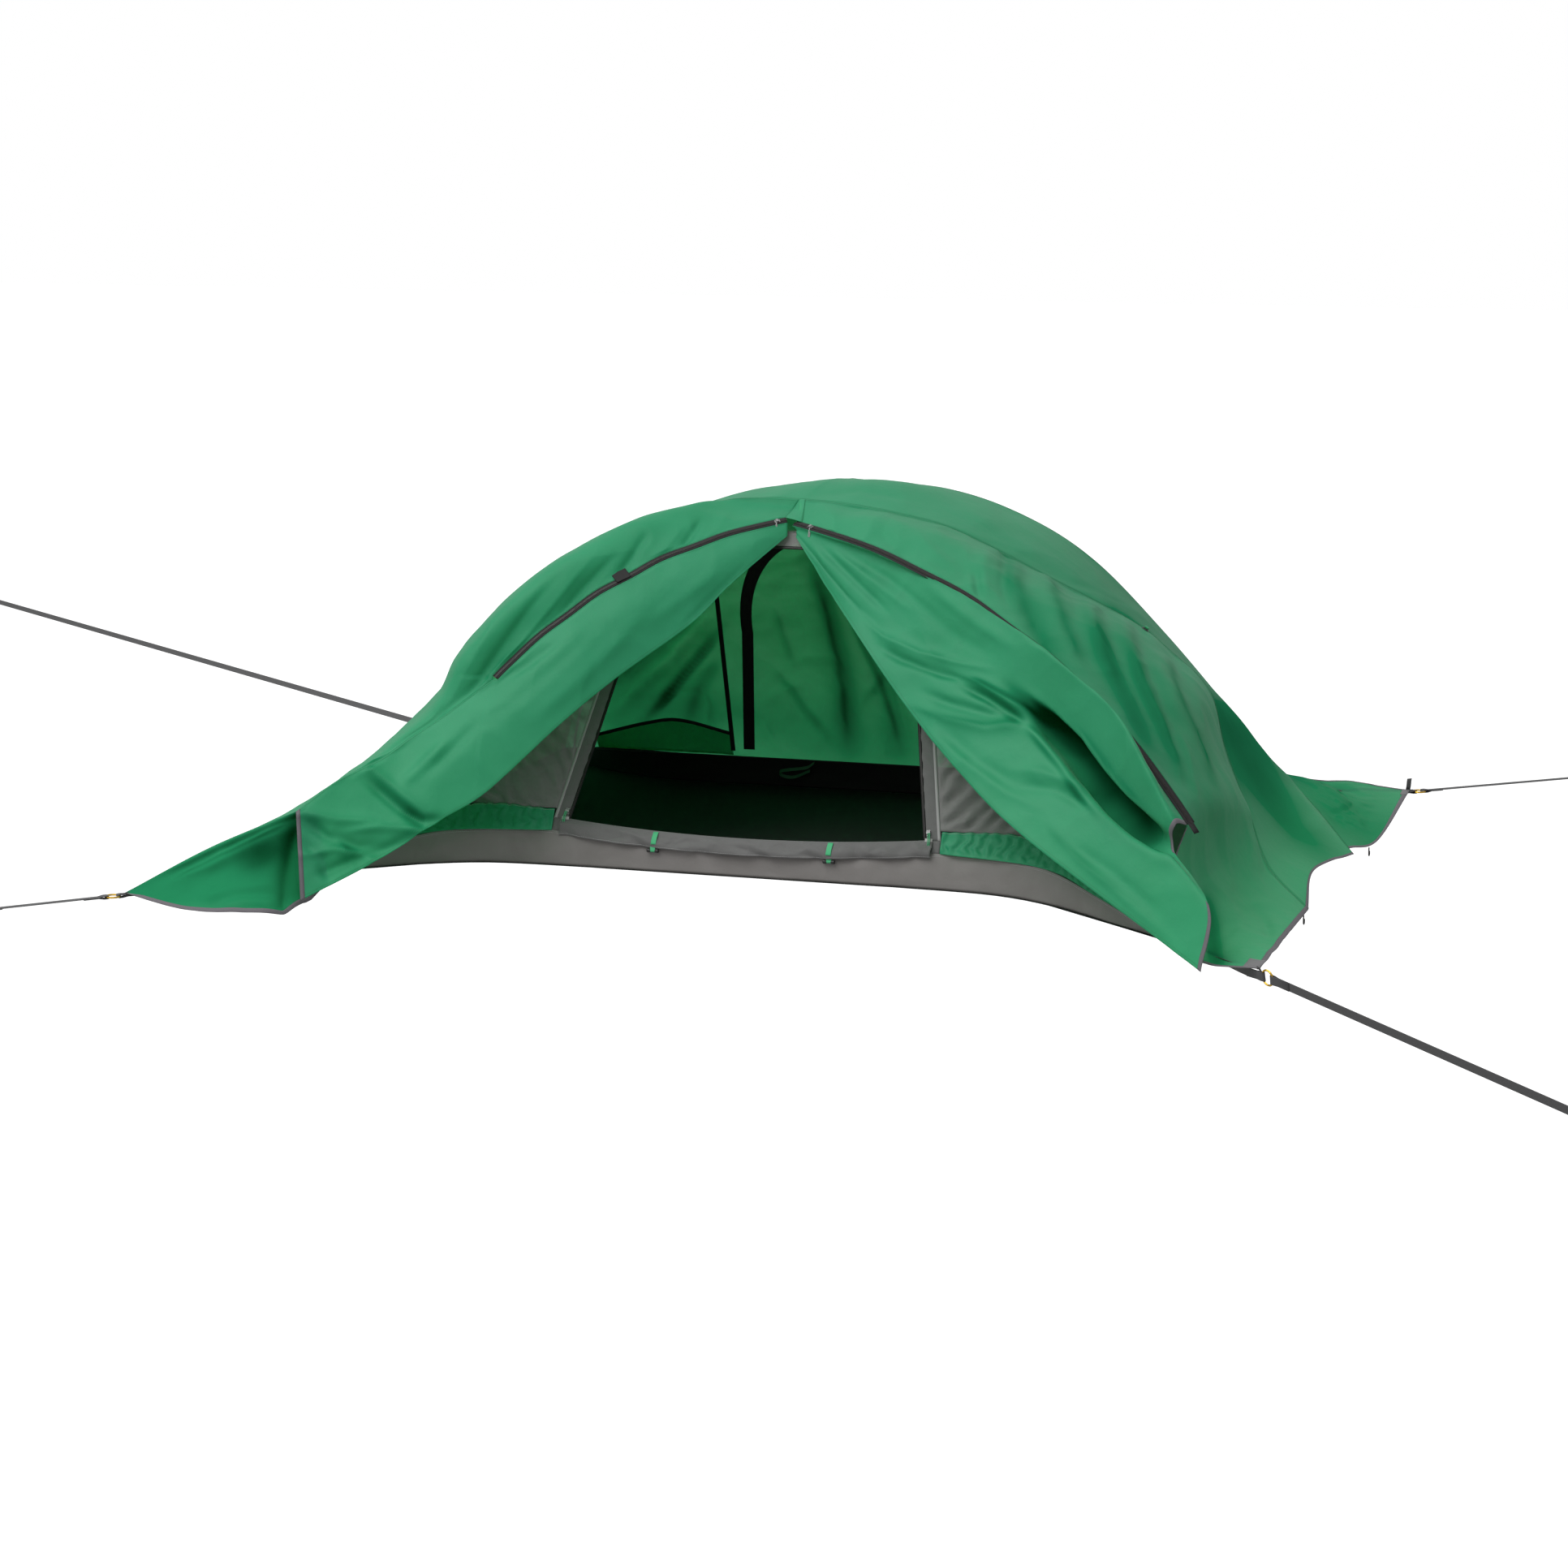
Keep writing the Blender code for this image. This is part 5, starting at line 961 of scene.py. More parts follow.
# The right door half hangs from its zip in one deep gathered fold down to the right corner,
# with sharp creases where the cloth turns over itself.
RIGHT_DOOR_FOLDS = (
    (10, 6, "crease", ((1045, 752), (1090, 786), (1135, 806), (1180, 817), (1240, 828))),
    (-10, 6, "ridge", ((1070, 790), (1110, 812), (1160, 830), (1218, 842))),
    (13, 6, "crease", ((1155, 822), (1205, 840), (1251, 868), (1296, 892))),
    (-13, 6, "ridge", ((1172, 838), (1215, 860), (1255, 885), (1292, 908))),
    (9, 6, "crease", ((1111, 863), (1164, 886), (1215, 898), (1288, 886))),
    (-9, 7, "ridge", ((1122, 848), (1170, 867), (1220, 880), (1264, 886))),
    (7, 8, "crease", ((1128, 884), (1180, 932), (1240, 977), (1305, 1008))),
    (-6, 9, "ridge", ((1150, 890), (1200, 935), (1262, 975))),
    (7, 6, "crease", ((1222, 946), (1287, 952), (1348, 978), (1405, 1018))),
    (-7, 8, "ridge", ((1240, 966), (1300, 972), (1355, 1002))),
    (5, 5, "crease", ((994, 660), (1030, 712), (1075, 762))),
    (-5, 5, "ridge", ((1002, 664), (1050, 712), (1105, 765))),
    (5, 5, "crease", ((1014, 668), (1070, 712), (1135, 762))),
    (-4, 6, "ridge", ((1030, 676), (1095, 714), (1165, 768))),
    (6, 8, "ridge", ((1130, 712), (1200, 765), (1262, 808))),
    (-5, 9, "ridge", ((1120, 740), (1185, 788), (1240, 815))),
    (-105, 11, "ridge", ((1258, 858), (1293, 890), (1322, 922), (1352, 962), (1378, 992), (1404, 1018),
                        (1450, 1052))),
    (16, 6, "ridge", ((1250, 838), (1292, 872), (1336, 912), (1368, 955), (1398, 990), (1440, 1028))),
    (12, 6, "ridge", ((1244, 868), (1276, 905), (1306, 942), (1334, 982), (1362, 1012))),
    (6, 6, "crease", ((1275, 1000), (1330, 1060), (1400, 1120), (1470, 1180))),
    (-5, 8, "ridge", ((1300, 1030), (1370, 1075), (1440, 1135))),
)
door_top = arc_row(arc_right, half_tape, DOOR_COLUMNS)
rows = [door_top]
for table in (DOOR_FOLD_SHARES, DOOR_VALLEY_SHARES, DOOR_CREST_SHARES, FREE_RIGHT_SHARES):
    rows.append(spline(places(table), DOOR_COLUMNS))
door_grid = loft(rows, 110)
# Painted shade for the right door, in thousandths of full darkness: the deep valley of the fold is painted
# almost black, and a few creases fainter.
RIGHT_DOOR_SHADES = (
    (950, 8, "ridge", ((1222, 822), (1256, 856), (1293, 890), (1322, 922), (1352, 962), (1378, 992),
                       (1404, 1018),
                       (1450, 1052))),
    (300, 4, "ridge", ((1170, 830), (1210, 842), (1250, 862), (1300, 896))),
    (220, 4, "ridge", ((1110, 868), (1160, 884), (1210, 892), (1270, 890))),
    (140, 5, "ridge", ((1275, 1000), (1330, 1060), (1400, 1120))),
)
door_shade = np.clip(fold_height(in_photo(door_grid), RIGHT_DOOR_SHADES), 0, 1)
door_right_grid = folded(door_grid, RIGHT_DOOR_FOLDS, crumple(door_grid, 0.004, 0.11, (1.4, 1.0, 1.4),
                                                              17.0), ("first",))
trims = [binding("right_door_low_end", door_right_grid[80:], "end", grosgrain),
         binding("right_door_high_end", door_right_grid[:58], "end", grosgrain),
         stitched("right_door_seam", [(door_right_grid, "first", 0.004), (door_right_grid, "last", 0.010)],
                  green_thread)]
cloth_sheet("right_door_half", door_right_grid, ["fly_door_right"], ripstop,
            shade=door_shade)

# The rear of the fly falls from the rear seam to the rear rings. It hangs slack behind the
# inner tent, so creases cross it that are seen through the doorway.
REAR_COLUMNS = 440
REAR_FOLDS = (
    (6, 6, "crease", ((1582, 952), (1620, 985), (1668, 1012))),
    (-8, 8, "ridge", ((1590, 975), (1630, 1002), (1662, 1030))),
    (-16, 12, "ridge", ((1540, 905), (1575, 946), (1614, 998), (1662, 1040))),
    (5, 5, "crease", ((1625, 968), (1660, 978), (1700, 985))),
    (-5, 6, "ridge", ((1630, 1005), (1665, 998), (1690, 1010))),
    (4, 5, "crease", ((1640, 985), (1668, 1000), (1684, 1024))),
    (34, 7, "step", ((1000, 690), (1010, 730), (1031, 828), (1048, 935))),
    (-12, 9, "ridge", ((1022, 690), (1050, 770), (1084, 842), (1116, 935))),
    (9, 4, "crease", ((1040, 730), (1060, 785), (1088, 850), (1110, 920))),
    (-14, 5, "ridge", ((895, 768), (847, 828), (795, 892))),
    (18, 10, "ridge", ((888, 745), (826, 813), (735, 895))),
    (-12, 8, "ridge", ((865, 745), (805, 800), (742, 860))),
    (7, 3, "crease", ((945, 815), (988, 871), (1026, 920))),
    (7, 3, "crease", ((948, 740), (966, 792), (980, 830))),
    (6, 4, "crease", ((940, 832), (990, 816), (1055, 824))),
    (6, 4, "crease", ((930, 872), (965, 852), (1000, 846))),
    (7, 4, "crease", ((1110, 800), (1082, 842), (1058, 875))),
    (-9, 6, "ridge", ((1098, 790), (1106, 850), (1124, 930))),
    (8, 3, "crease", ((860, 840), (872, 872), (868, 900))),
    (-7, 5, "ridge", ((800, 862), (838, 850), (882, 858))),
)
rear = spline(rear[::8], REAR_COLUMNS)
belly = spline(places(REAR_BELLY_SHARES), len(rear))
rear_hem = spline(places(REAR_HEM_SHARES), len(rear))
rear_grid = loft([rear, belly, rear_hem], 110)
rear_wrinkles = (crumple(rear_grid, 0.012, 0.22, (1.0, 1.0, 1.6), 23.0)
                 + crumple(rear_grid, 0.004, 0.09, seed=29.0))
# Painted shade for the rear sheet, in thousandths of full darkness: dark bands along its creases seen through
# the doorway, over its lower left, and down its right end.
REAR_SHADES = (
    (620, 15, "ridge", ((995, 640), (1012, 730), (1036, 828), (1052, 960))),
    (300, 16, "ridge", ((1060, 690), (1075, 770), (1095, 842), (1110, 960))),
    (450, 4, "ridge", ((1040, 730), (1060, 785), (1088, 850), (1116, 940))),
    (520, 6, "ridge", ((905, 755), (847, 828), (780, 905))),
    (480, 14, "ridge", ((880, 720), (818, 790), (735, 862))),
    (350, 9, "ridge", ((895, 800), (860, 850), (845, 900))),
    (260, 4, "ridge", ((945, 815), (988, 871), (1030, 925))),
    (240, 4, "ridge", ((948, 740), (966, 792), (980, 830))),
    (220, 5, "ridge", ((1110, 800), (1082, 842), (1058, 875))),
    (260, 60, "ridge", ((700, 905), (780, 900), (900, 912))),
    (240, 40, "ridge", ((640, 860), (800, 862), (900, 880), (1000, 905), (1160, 930), (1300, 940))),
    (290, 60, "ridge", ((1480, 860), (1590, 950), (1660, 1010), (1720, 1040), (1800, 1080))),
)
rear_shade = np.clip(fold_height(in_photo(rear_grid), REAR_SHADES), 0, 1)
rear_grid = folded(rear_grid, REAR_FOLDS, rear_wrinkles, ("first", "start", "end"), 26)
trims = [binding("rear_hem", rear_grid, "last", grosgrain),
         binding("rear_hem_left", rear_grid, "start", grosgrain),
         binding("rear_hem_right", rear_grid, "end", grosgrain),
         stitched("rear_seams", [(rear_grid, "first", 0.004), (rear_grid, "last", 0.011)],
                  green_thread)]
cloth_sheet("rear_sheet", rear_grid, ["fly_rear"], ripstop,
            shade=rear_shade)

# Each fly zip is a black tape 25 mm wide with a brown-black nylon coil along its middle.
for name, arc, count in (("left", arc_left, 150), ("right", arc_right, 150)):
    asides = (-1.0, -0.5, -0.18, 0.0, 0.18, 0.5, 1.0)
    grid = np.array([arc_row(arc, half_tape * a, count, 0.0006) for a in asides])
    coils = []
    ups = []
    for aside in (-0.0021, 0.0021):
        coils.append(arc_row(arc, aside, count, 0.0018))
        ups.append(arc_row(arc, aside, count, 1.0) - arc_row(arc, aside, count, 0.0))
    coil = repeated("fly_zip_coil_" + name, coils, ups, (0.0012, 0.0034, 0.0016), 0.0021, zip_coil)
    cloth_sheet("fly_zip_tape_" + name, grid, ["fly_zip_" + name], black_tape,
                thickness=0.0007)
tail = [[arc_place(arc_right, share, aside, 0.0012) for share in (0.996, 1.004, 1.012, 1.02)]
        for aside in (-0.008, 0.0, 0.008)]
strip("fly_zip_tail_right", tail, black_tape, 0.0012)

# The inner tent is fine grey no-see-um mesh, a knit with holes of about 1 mm. Its panels hang
# from the seams of the front and rear walls, which slope in towards the poles.
FLOOR_Z = 0.027
WALL_SLOPE = 0.506
WALL_FOOT_Z = 0.130
WALL_FOOT_Y = 0.700
WALL_TOP_Z = 1.02
DOOR_SILL_Z = 0.165
SILL_SAG = 0.026
DOOR_HALF_WIDTH = 0.567
TAPE_WIDTH = 0.050
DOOR_JAMB_TOP_Z = 0.62
DOOR_JAMB_TOP_HALF = 0.475
DOOR_TOP_Z = 0.975
DOOR_TOP_HALF = 0.09
GUSSET_FOOT_Z = 0.1925
INNER_EDGE_SHARES = ((0.632, 0.1116), (0.575, 0.300), (0.470, 0.515), (0.305, 0.721), (0.086, 0.8755))
MESH_PITCH = 0.0012


def net_material(name, colour, cover):
    """Knitted mesh: threads in both directions at the mesh's pitch, with clear holes."""
    made = bpy.data.materials.new(name)
    made.use_nodes = True
    nodes = made.node_tree
    principled = nodes.nodes["Principled BSDF"]
    flat_place = add_node(nodes, "ShaderNodeUVMap", {"uv_map": "UVMap"})
    scaled = add_node(nodes, "ShaderNodeVectorMath", {"operation": "SCALE", "Scale": 1 / MESH_PITCH},
                      {0: flat_place.outputs[0]})
    part = add_node(nodes, "ShaderNodeVectorMath", {"operation": "FRACTION"}, {0: scaled.outputs[0]})
    axes = add_node(nodes, "ShaderNodeSeparateXYZ", {}, {0: part.outputs[0]})
    low = add_node(nodes, "ShaderNodeMath", {"operation": "MINIMUM"},
                   {0: axes.outputs[0], 1: axes.outputs[1]})
    solid = add_node(nodes, "ShaderNodeMath", {"operation": "LESS_THAN", 1: cover}, {0: low.outputs[0]})
    where = add_node(nodes, "ShaderNodeTexCoord")
    folds = add_node(nodes, "ShaderNodeTexNoise", {"Scale": 22.0, "Detail": 3.0, "Distortion": 0.8},
                     {"Vector": where.outputs["Object"]})
    raised = add_node(nodes, "ShaderNodeBump", {"Strength": 0.5, "Distance": 0.006},
                      {"Height": folds.outputs[0]})
    nodes.links.new(raised.outputs[0], principled.inputs["Normal"])
    principled.inputs["Base Color"].default_value = hex_colour(colour)
    principled.inputs["Roughness"].default_value = 0.7
    principled.inputs["Sheen Weight"].default_value = 0.3
    hole = add_node(nodes, "ShaderNodeBsdfTransparent")
    mixed = add_node(nodes, "ShaderNodeMixShader", {}, {0: solid.outputs[0], 1: hole.outputs[0],
                                                       2: principled.outputs[0]})
    nodes.links.new(mixed.outputs[0], nodes.nodes["Material Output"].inputs["Surface"])
    return made


grey_mesh = net_material("grey_no_see_um_mesh", "#7E7E7C", 0.42)
# The rear wall's mesh has thinner threads and a far darker grey than the front's. Its darkness is painted
# shade, as it hangs in shade inside the tent.
shaded_rear_mesh = net_material("shaded_thin_grey_mesh", "#3E423F", 0.06)
light_mesh = net_material("light_grey_mesh", "#5A5A59", 0.72)
light_thread = plain("light_grey_thread", "#A4A4A4", 0.7)
light_tape = plain("light_grey_tape", "#8C8C8B", 0.7, sheen=0.2)


def wall_y(z):
    return WALL_FOOT_Y - WALL_SLOPE * (z - WALL_FOOT_Z)


def wall_grid(inner, outer, low, high, side, rows, cols, stand=0.0):
    """A panel of the front (-1) or rear (1) wall between two lines that give X at a height."""
    grid = np.zeros((rows, cols, 3))
    for r, z in enumerate(np.linspace(low, high, rows)):
        xs = np.linspace(inner(z), outer(z), cols)
        grid[r, :, 0] = xs
        grid[r, :, 1] = side * (wall_y(z) + stand)
        grid[r, :, 2] = z
    return grid


def edge_x(z):
    """Half the width of the front and rear walls at a height."""
    line = spline([(x * RING_SPAN_X / 2, 0, h * FLY_TOP) for x, h in INNER_EDGE_SHARES], 60)
    return float(np.interp(z, line[:, 2], line[:, 0]))


def jamb_x(z):
    """Half the width of the doorway at a height: straight up the jambs, then an arch."""
    if z <= DOOR_JAMB_TOP_Z:
        low = (z - DOOR_SILL_Z) / (DOOR_JAMB_TOP_Z - DOOR_SILL_Z)
        return DOOR_HALF_WIDTH + (DOOR_JAMB_TOP_HALF - DOOR_HALF_WIDTH) * low
    high = min(1.0, (z - DOOR_JAMB_TOP_Z) / (DOOR_TOP_Z - DOOR_JAMB_TOP_Z))
    return DOOR_TOP_HALF + (DOOR_JAMB_TOP_HALF - DOOR_TOP_HALF) * math.sqrt(1 - high ** 2)


def billow(grid, amount, wrinkles):
    """A panel that hangs out a little in its middle, with wrinkles."""
    rows, cols = grid.shape[:2]
    bulge = np.outer(np.sin(np.pi * np.linspace(0, 1, rows)), np.sin(np.pi * np.linspace(0, 1, cols)))
    mask = edge_mask((rows, cols), ("first", "last", "start", "end"), 3)
    return grid + facing(grid) * (amount * bulge + wrinkles * mask)[..., None]


def slanted(grid, amount, pitch, slope, seed=0.0):
    """Fine creases that run slantwise in a wall, closer and fainter in places."""
    x, z = grid[..., 0], grid[..., 2]
    phase = (x + slope * z) / pitch * 2 * math.pi
    drift = crumple(grid, 2.5, 0.12, seed=seed)
    strength = 0.6 + crumple(grid, 0.8, 0.10, seed=seed + 4)
    return amount * np.sin(phase + drift) * np.clip(strength, 0, 1.4)


for name, sign in (("left", -1), ("right", 1)):
    trims = []
    grid = wall_grid(lambda z: sign * jamb_x(z), lambda z: sign * (jamb_x(z) + TAPE_WIDTH), DOOR_SILL_Z,
                     DOOR_JAMB_TOP_Z, -1, 60, 9)
    grid = billow(grid, 0.002, slanted(grid, 0.0012, 0.05, 1.2, 31.0 + sign))
    trims = [stitched("door_tape_stitches_" + name, [(grid, "end", 0.002), (grid, "end", 0.010)],
                      light_thread),
             strip("door_tape_edge_" + name, [inset(grid, "end", d, 0.0011) for d in (0.001, 0.005, 0.010)],
                   light_tape)]
    cloth_sheet("door_tape_" + name, grid, ["inner_tape_" + name], light_mesh)

    low_grid = wall_grid(lambda z: sign * (jamb_x(z) + TAPE_WIDTH), lambda z: sign * edge_x(z), GUSSET_FOOT_Z,
                         DOOR_JAMB_TOP_Z, -1, 70, 46)
    high_grid = wall_grid(lambda z: sign * jamb_x(z), lambda z: sign * max(edge_x(z), jamb_x(z) + 0.002),
                          DOOR_JAMB_TOP_Z, WALL_TOP_Z - 0.001, -1, 46, 46)
    whole = np.concatenate([low_grid, high_grid[1:]])
    whole = billow(whole, 0.010, slanted(whole, 0.0080, 0.065, -0.9 * sign, 37.0 + sign))
    cloth_sheet("front_gusset_" + name, whole, ["inner_gusset_" + name], grey_mesh)

grid = wall_grid(lambda z: -DOOR_TOP_HALF, lambda z: DOOR_TOP_HALF, DOOR_TOP_Z, WALL_TOP_Z, -1, 8, 20)
cloth_sheet("front_peak", grid, ["inner_front_peak"], grey_mesh)

x_half = INNER_EDGE_SHARES[-1][0] * RING_SPAN_X / 2
y_half = wall_y(WALL_TOP_Z)
grid = np.array([[(x, y, WALL_TOP_Z + 0.0013) for x in np.linspace(-x_half, x_half, 20)]
                 for y in np.linspace(-y_half, y_half, 26)])
cloth_sheet("roof_mesh", grid, ["inner_roof"], grey_mesh)

# The rear wall uses the darker mesh, whose colour is painted shade.
grid = wall_grid(lambda z: -edge_x(z), edge_x, WALL_FOOT_Z - 0.004, WALL_TOP_Z - 0.001, 1, 60, 80)
grid = billow(grid, 0.010, crumple(grid, 0.006, 0.16, seed=41.0))
cloth_sheet("rear_wall_mesh", grid, ["inner_rear_wall"], shaded_rear_mesh)

# The inner door's coil zips run up the doorway's edges and over its arch, on black tape. A
# green cord pull hangs from each slider, and pale patches hold the zips' ends.
arch = [(jamb_x(z), z) for z in np.linspace(DOOR_SILL_Z, DOOR_JAMB_TOP_Z, 40)]
turns = np.linspace(0, math.pi / 2, 50)[1:]
arch += [(DOOR_TOP_HALF + (DOOR_JAMB_TOP_HALF - DOOR_TOP_HALF) * math.cos(t),
          DOOR_JAMB_TOP_Z + (DOOR_TOP_Z - DOOR_JAMB_TOP_Z) * math.sin(t)) for t in turns]
outline = [(-x, z) for x, z in arch] + [(x, z) for x, z in arch[::-1]]
wall_out = np.array([0, -1, WALL_SLOPE]) / math.hypot(1, WALL_SLOPE)
line = np.array([(x, -wall_y(z), z) for x, z in outline])
sideways = np.gradient(line, axis=0)
sideways = np.cross(sideways, wall_out)
sideways /= np.linalg.norm(sideways, axis=1, keepdims=True)
zip_rows = [line + sideways * aside + wall_out * 0.0006 for aside in (-0.005, 0.0, 0.005)]
strip("doorway_zip_tape", zip_rows, black_tape)
repeated("doorway_zip_coil", [line + wall_out * 0.0014], [np.tile(wall_out, (len(line), 1))],
         (0.0011, 0.0034, 0.0014), 0.0019, zip_coil)

# The rear door has the same arch on the inside of the rear wall, under a 55 mm black flap.
REAR_DOOR_SHARE = 0.72
REAR_DOOR_RISE_SHARE = 0.955
REAR_ZIP_WIDTH = 0.055
flap_black = plain("black_zip_flap", "#0D0E0D", 0.85)
inner_line = np.array([(x * REAR_DOOR_SHARE, z * REAR_DOOR_RISE_SHARE) for x, z in outline])
wide = np.array([((x + math.copysign(REAR_ZIP_WIDTH, x)) * REAR_DOOR_SHARE, z * REAR_DOOR_RISE_SHARE)
                 for x, z in outline])
wide[:, 1] += np.interp(np.arange(len(wide)), [0, 40, len(wide) / 2, len(wide) - 40, len(wide)],
                        [0, 0, 0.04, 0, 0])
rows = []
for share in np.linspace(0, 1, 5):
    flat = inner_line * (1 - share) + wide * share
    rows.append(np.array([(x, wall_y(z) - 0.004, z) for x, z in flat]))
cloth_sheet("rear_door_flap", np.array(rows), ["rear_door_zip"], flap_black)

# The green corner panels close the front wall beside the doorway, gathered on elastic so that
# fine pleats run across them.
CORNER_PANEL_SHARES = ((0.355, 0.4665, 0.163), (0.495, 0.475, 0.168), (0.610, 0.560, 0.135),
                       (0.780, 0.795, 0.042))
TUB_TOP_SHARES = ((0.000, 0.4875, 0.1116), (0.330, 0.4875, 0.1116), (0.400, 0.4875, 0.1116),
                  (0.545, 0.540, 0.105),
                  (0.660, 0.650, 0.072), (0.785, 0.805, 0.032))
panel_x = DOOR_HALF_WIDTH + TAPE_WIDTH + 0.0008
for name, sign in (("left", -1), ("right", 1)):
    top = [at((sign * x, -y, z)) for x, y, z in CORNER_PANEL_SHARES]
    low = [at((sign * x, -y, z)) for x, y, z in TUB_TOP_SHARES[2:]]
    top[0][0] = sign * panel_x
    low[0] = np.array([sign * panel_x, -WALL_FOOT_Y, WALL_FOOT_Z])
    grid = loft([spline(top, 150), spline(low, 150)], 24)
    grid[:, :, 1] -= 0.0010
    along = np.arange(150) / 150
    pleats = 0.0030 * np.sin(along * 150 + crumple(grid, 3.0, 0.05, seed=43.0) + np.linspace(0, 3,
                                                                                             24)[:, None])
    grid = grid + facing(grid) * (pleats * edge_mask((24, 150), ("last",), 5))[..., None]
    trims = [stitched("corner_panel_stitches_" + name, [(grid, "first", 0.004)], light_thread)]
    # These panels get less painted fold shade than the fly, so their pleats darken them less.
    cloth_sheet("corner_panel_" + name, grid, ["inner_corner_panel_" + name], ripstop,
                shade=-0.12)

# The bathtub walls are grey coated polyester, black on the inside as the floor is. They rise
# from the floor's edge to the foot of the mesh, and sag a little between the corners.
FLOOR_FRONT_SHARES = ((0.000, -0.515), (0.240, -0.515), (0.300, -0.515), (0.460, -0.530), (0.580, -0.600),
                      (0.700, -0.722), (0.810, -0.835))
TUB_INSET_SHARE = 0.985
TUB_SIDE_SHARES = ((0.690, -0.520), (0.700, -0.250), (0.700, 0.000))
FLOOR_SIDE_SHARES = ((0.760, -0.550), (0.725, -0.250), (0.715, 0.000))
FLOOR_TIP_SHARE = 0.86
tub_grey = bpy.data.materials.new("grey_coated_polyester")
tub_grey.use_nodes = True
tree = tub_grey.node_tree
shader = tree.nodes["Principled BSDF"]
where = add_node(tree, "ShaderNodeTexCoord")
coarse = add_node(tree, "ShaderNodeTexNoise", {"Scale": 12.0, "Detail": 5.0, "Distortion": 0.5},
                  {"Vector": where.outputs["Object"]})
tone = add_node(tree, "ShaderNodeMix", {"data_type": "RGBA", 6: hex_colour("#6A6764"),
                                        7: hex_colour("#7A7775")},
                {0: coarse.outputs[0]})
raised = add_node(tree, "ShaderNodeBump", {"Strength": 0.5, "Distance": 0.006}, {"Height": coarse.outputs[0]})
tree.links.new(tone.outputs[2], shader.inputs["Base Color"])
tree.links.new(raised.outputs[0], shader.inputs["Normal"])
shader.inputs["Roughness"].default_value = 0.6
coat_black = plain("black_floor_coating", "#060806", 0.75)


def tub_side(name, foot, top, cad_node, inward, columns=150):
    """One bathtub wall as two faces: the grey outside and the black inside."""
    low = spline(foot, columns)
    high = spline(top, columns)
    low[:, 2] = FLOOR_Z + 0.0012
    grid = loft([low, high], 16)
    grid = billow(grid, 0.003, crumple(grid, 0.0025, 0.09, (2.0, 1.0, 1.0), 47.0))
    lining = strip(name + "_lining", grid + np.array(inward) * 0.0012, coat_black)
    if name.startswith("front"):
        stitched(name + "_seam", [(grid, "last", 0.004), (grid, "last", 0.009)], light_thread)
    cloth_sheet(name, grid, [cad_node], tub_grey)
    return grid


foot = [(x * RING_SPAN_X / 2, y * RING_SPAN_Y / 2 * TUB_INSET_SHARE, 0) for x, y in FLOOR_FRONT_SHARES]
front_foot = [(-x, y, z) for x, y, z in foot[:0:-1]] + foot
front_top = [at((-x, -y, z)) for x, y, z in TUB_TOP_SHARES[:0:-1]] + [at((x, -y, z)) for x, y,
                                                                      z in TUB_TOP_SHARES]
tub_side("front_bathtub_wall", front_foot, front_top, "bathtub_front", (0, 1, 0), 260)
tub_side("rear_bathtub_wall", [(x, -y, z) for x, y, z in front_foot], [(x, -y, z) for x, y, z in front_top],
         "bathtub_rear", (0, -1, 0), 260)
corner_x = INNER_EDGE_SHARES[0][0] * RING_SPAN_X / 2
for name, sign in (("left", -1), ("right", 1)):
    side = [(sign * x * RING_SPAN_X / 2, y * RING_SPAN_Y / 2, 0) for x, y in TUB_SIDE_SHARES]
    side = side + [(x, -y, z) for x, y, z in side[-2::-1]]
    top = [(sign * corner_x, y, WALL_FOOT_Z) for y in np.linspace(-WALL_FOOT_Y, WALL_FOOT_Y, 4)]
    tub_side(name + "_bathtub_wall", side, top, "bathtub_" + name, (-sign, 0, 0), 80)

# The floor is one star-shaped sheet of black coated polyester, held flat by the load webbing
# under it. Its inner part ripples by about a millimetre.
quarter = [(x * RING_SPAN_X / 2, y * RING_SPAN_Y / 2) for x, y in FLOOR_FRONT_SHARES]
quarter = [tuple(p[:2]) for p in spline([(x, y, 0) for x, y in quarter], 30)]
tip = np.array([RING_SPAN_X / 2, -RING_SPAN_Y / 2])
across = np.array([-tip[1], tip[0]]) / np.linalg.norm(tip) * -WEB_WIDTH
quarter += [tuple(tip * FLOOR_TIP_SHARE + across), tuple(tip * FLOOR_TIP_SHARE - across)]
quarter += [(x * RING_SPAN_X / 2, y * RING_SPAN_Y / 2) for x, y in FLOOR_SIDE_SHARES]
right = quarter + [(x, -y) for x, y in quarter[-2::-1]]
outline = right + [(-x, y) for x, y in right[-2:0:-1]]
bm = bmesh.new()
rim = [bm.verts.new((x, y, FLOOR_Z + 0.0005)) for x, y in outline]
edges = [bm.edges.new((rim[k - 1], rim[k])) for k in range(len(rim))]
bmesh.ops.triangle_fill(bm, edges=edges, use_beauty=True, normal=(0.0, 0.0, 1.0))
for _ in range(3):
    bmesh.ops.subdivide_edges(bm, edges=[e for e in bm.edges if e.calc_length() > 0.05], cuts=1)
    bmesh.ops.triangulate(bm, faces=bm.faces[:])
for vert in bm.verts:
    if not vert.is_boundary:
        ripple = noise.noise(Vector((vert.co.x * 4, vert.co.y * 4, 3.0)))
        vert.co.z += 0.0012 * ripple
floor_layer = bm.loops.layers.uv.new("UVMap")
for face in bm.faces:
    for loop in face.loops:
        loop[floor_layer].uv = (loop.vert.co.x, loop.vert.co.y)
floor_area = sum(f.calc_area() for f in bm.faces)
mesh = bpy.data.meshes.new("floor_sheet")
bm.to_mesh(mesh)
bm.free()
floor_sheet = bpy.data.objects.new("floor_sheet", mesh)
scene.collection.objects.link(floor_sheet)
thicken(floor_sheet, 0.0006)
floor_sheet.data.materials.append(coat_black)
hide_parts("floor")
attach(floor_sheet, "tent")

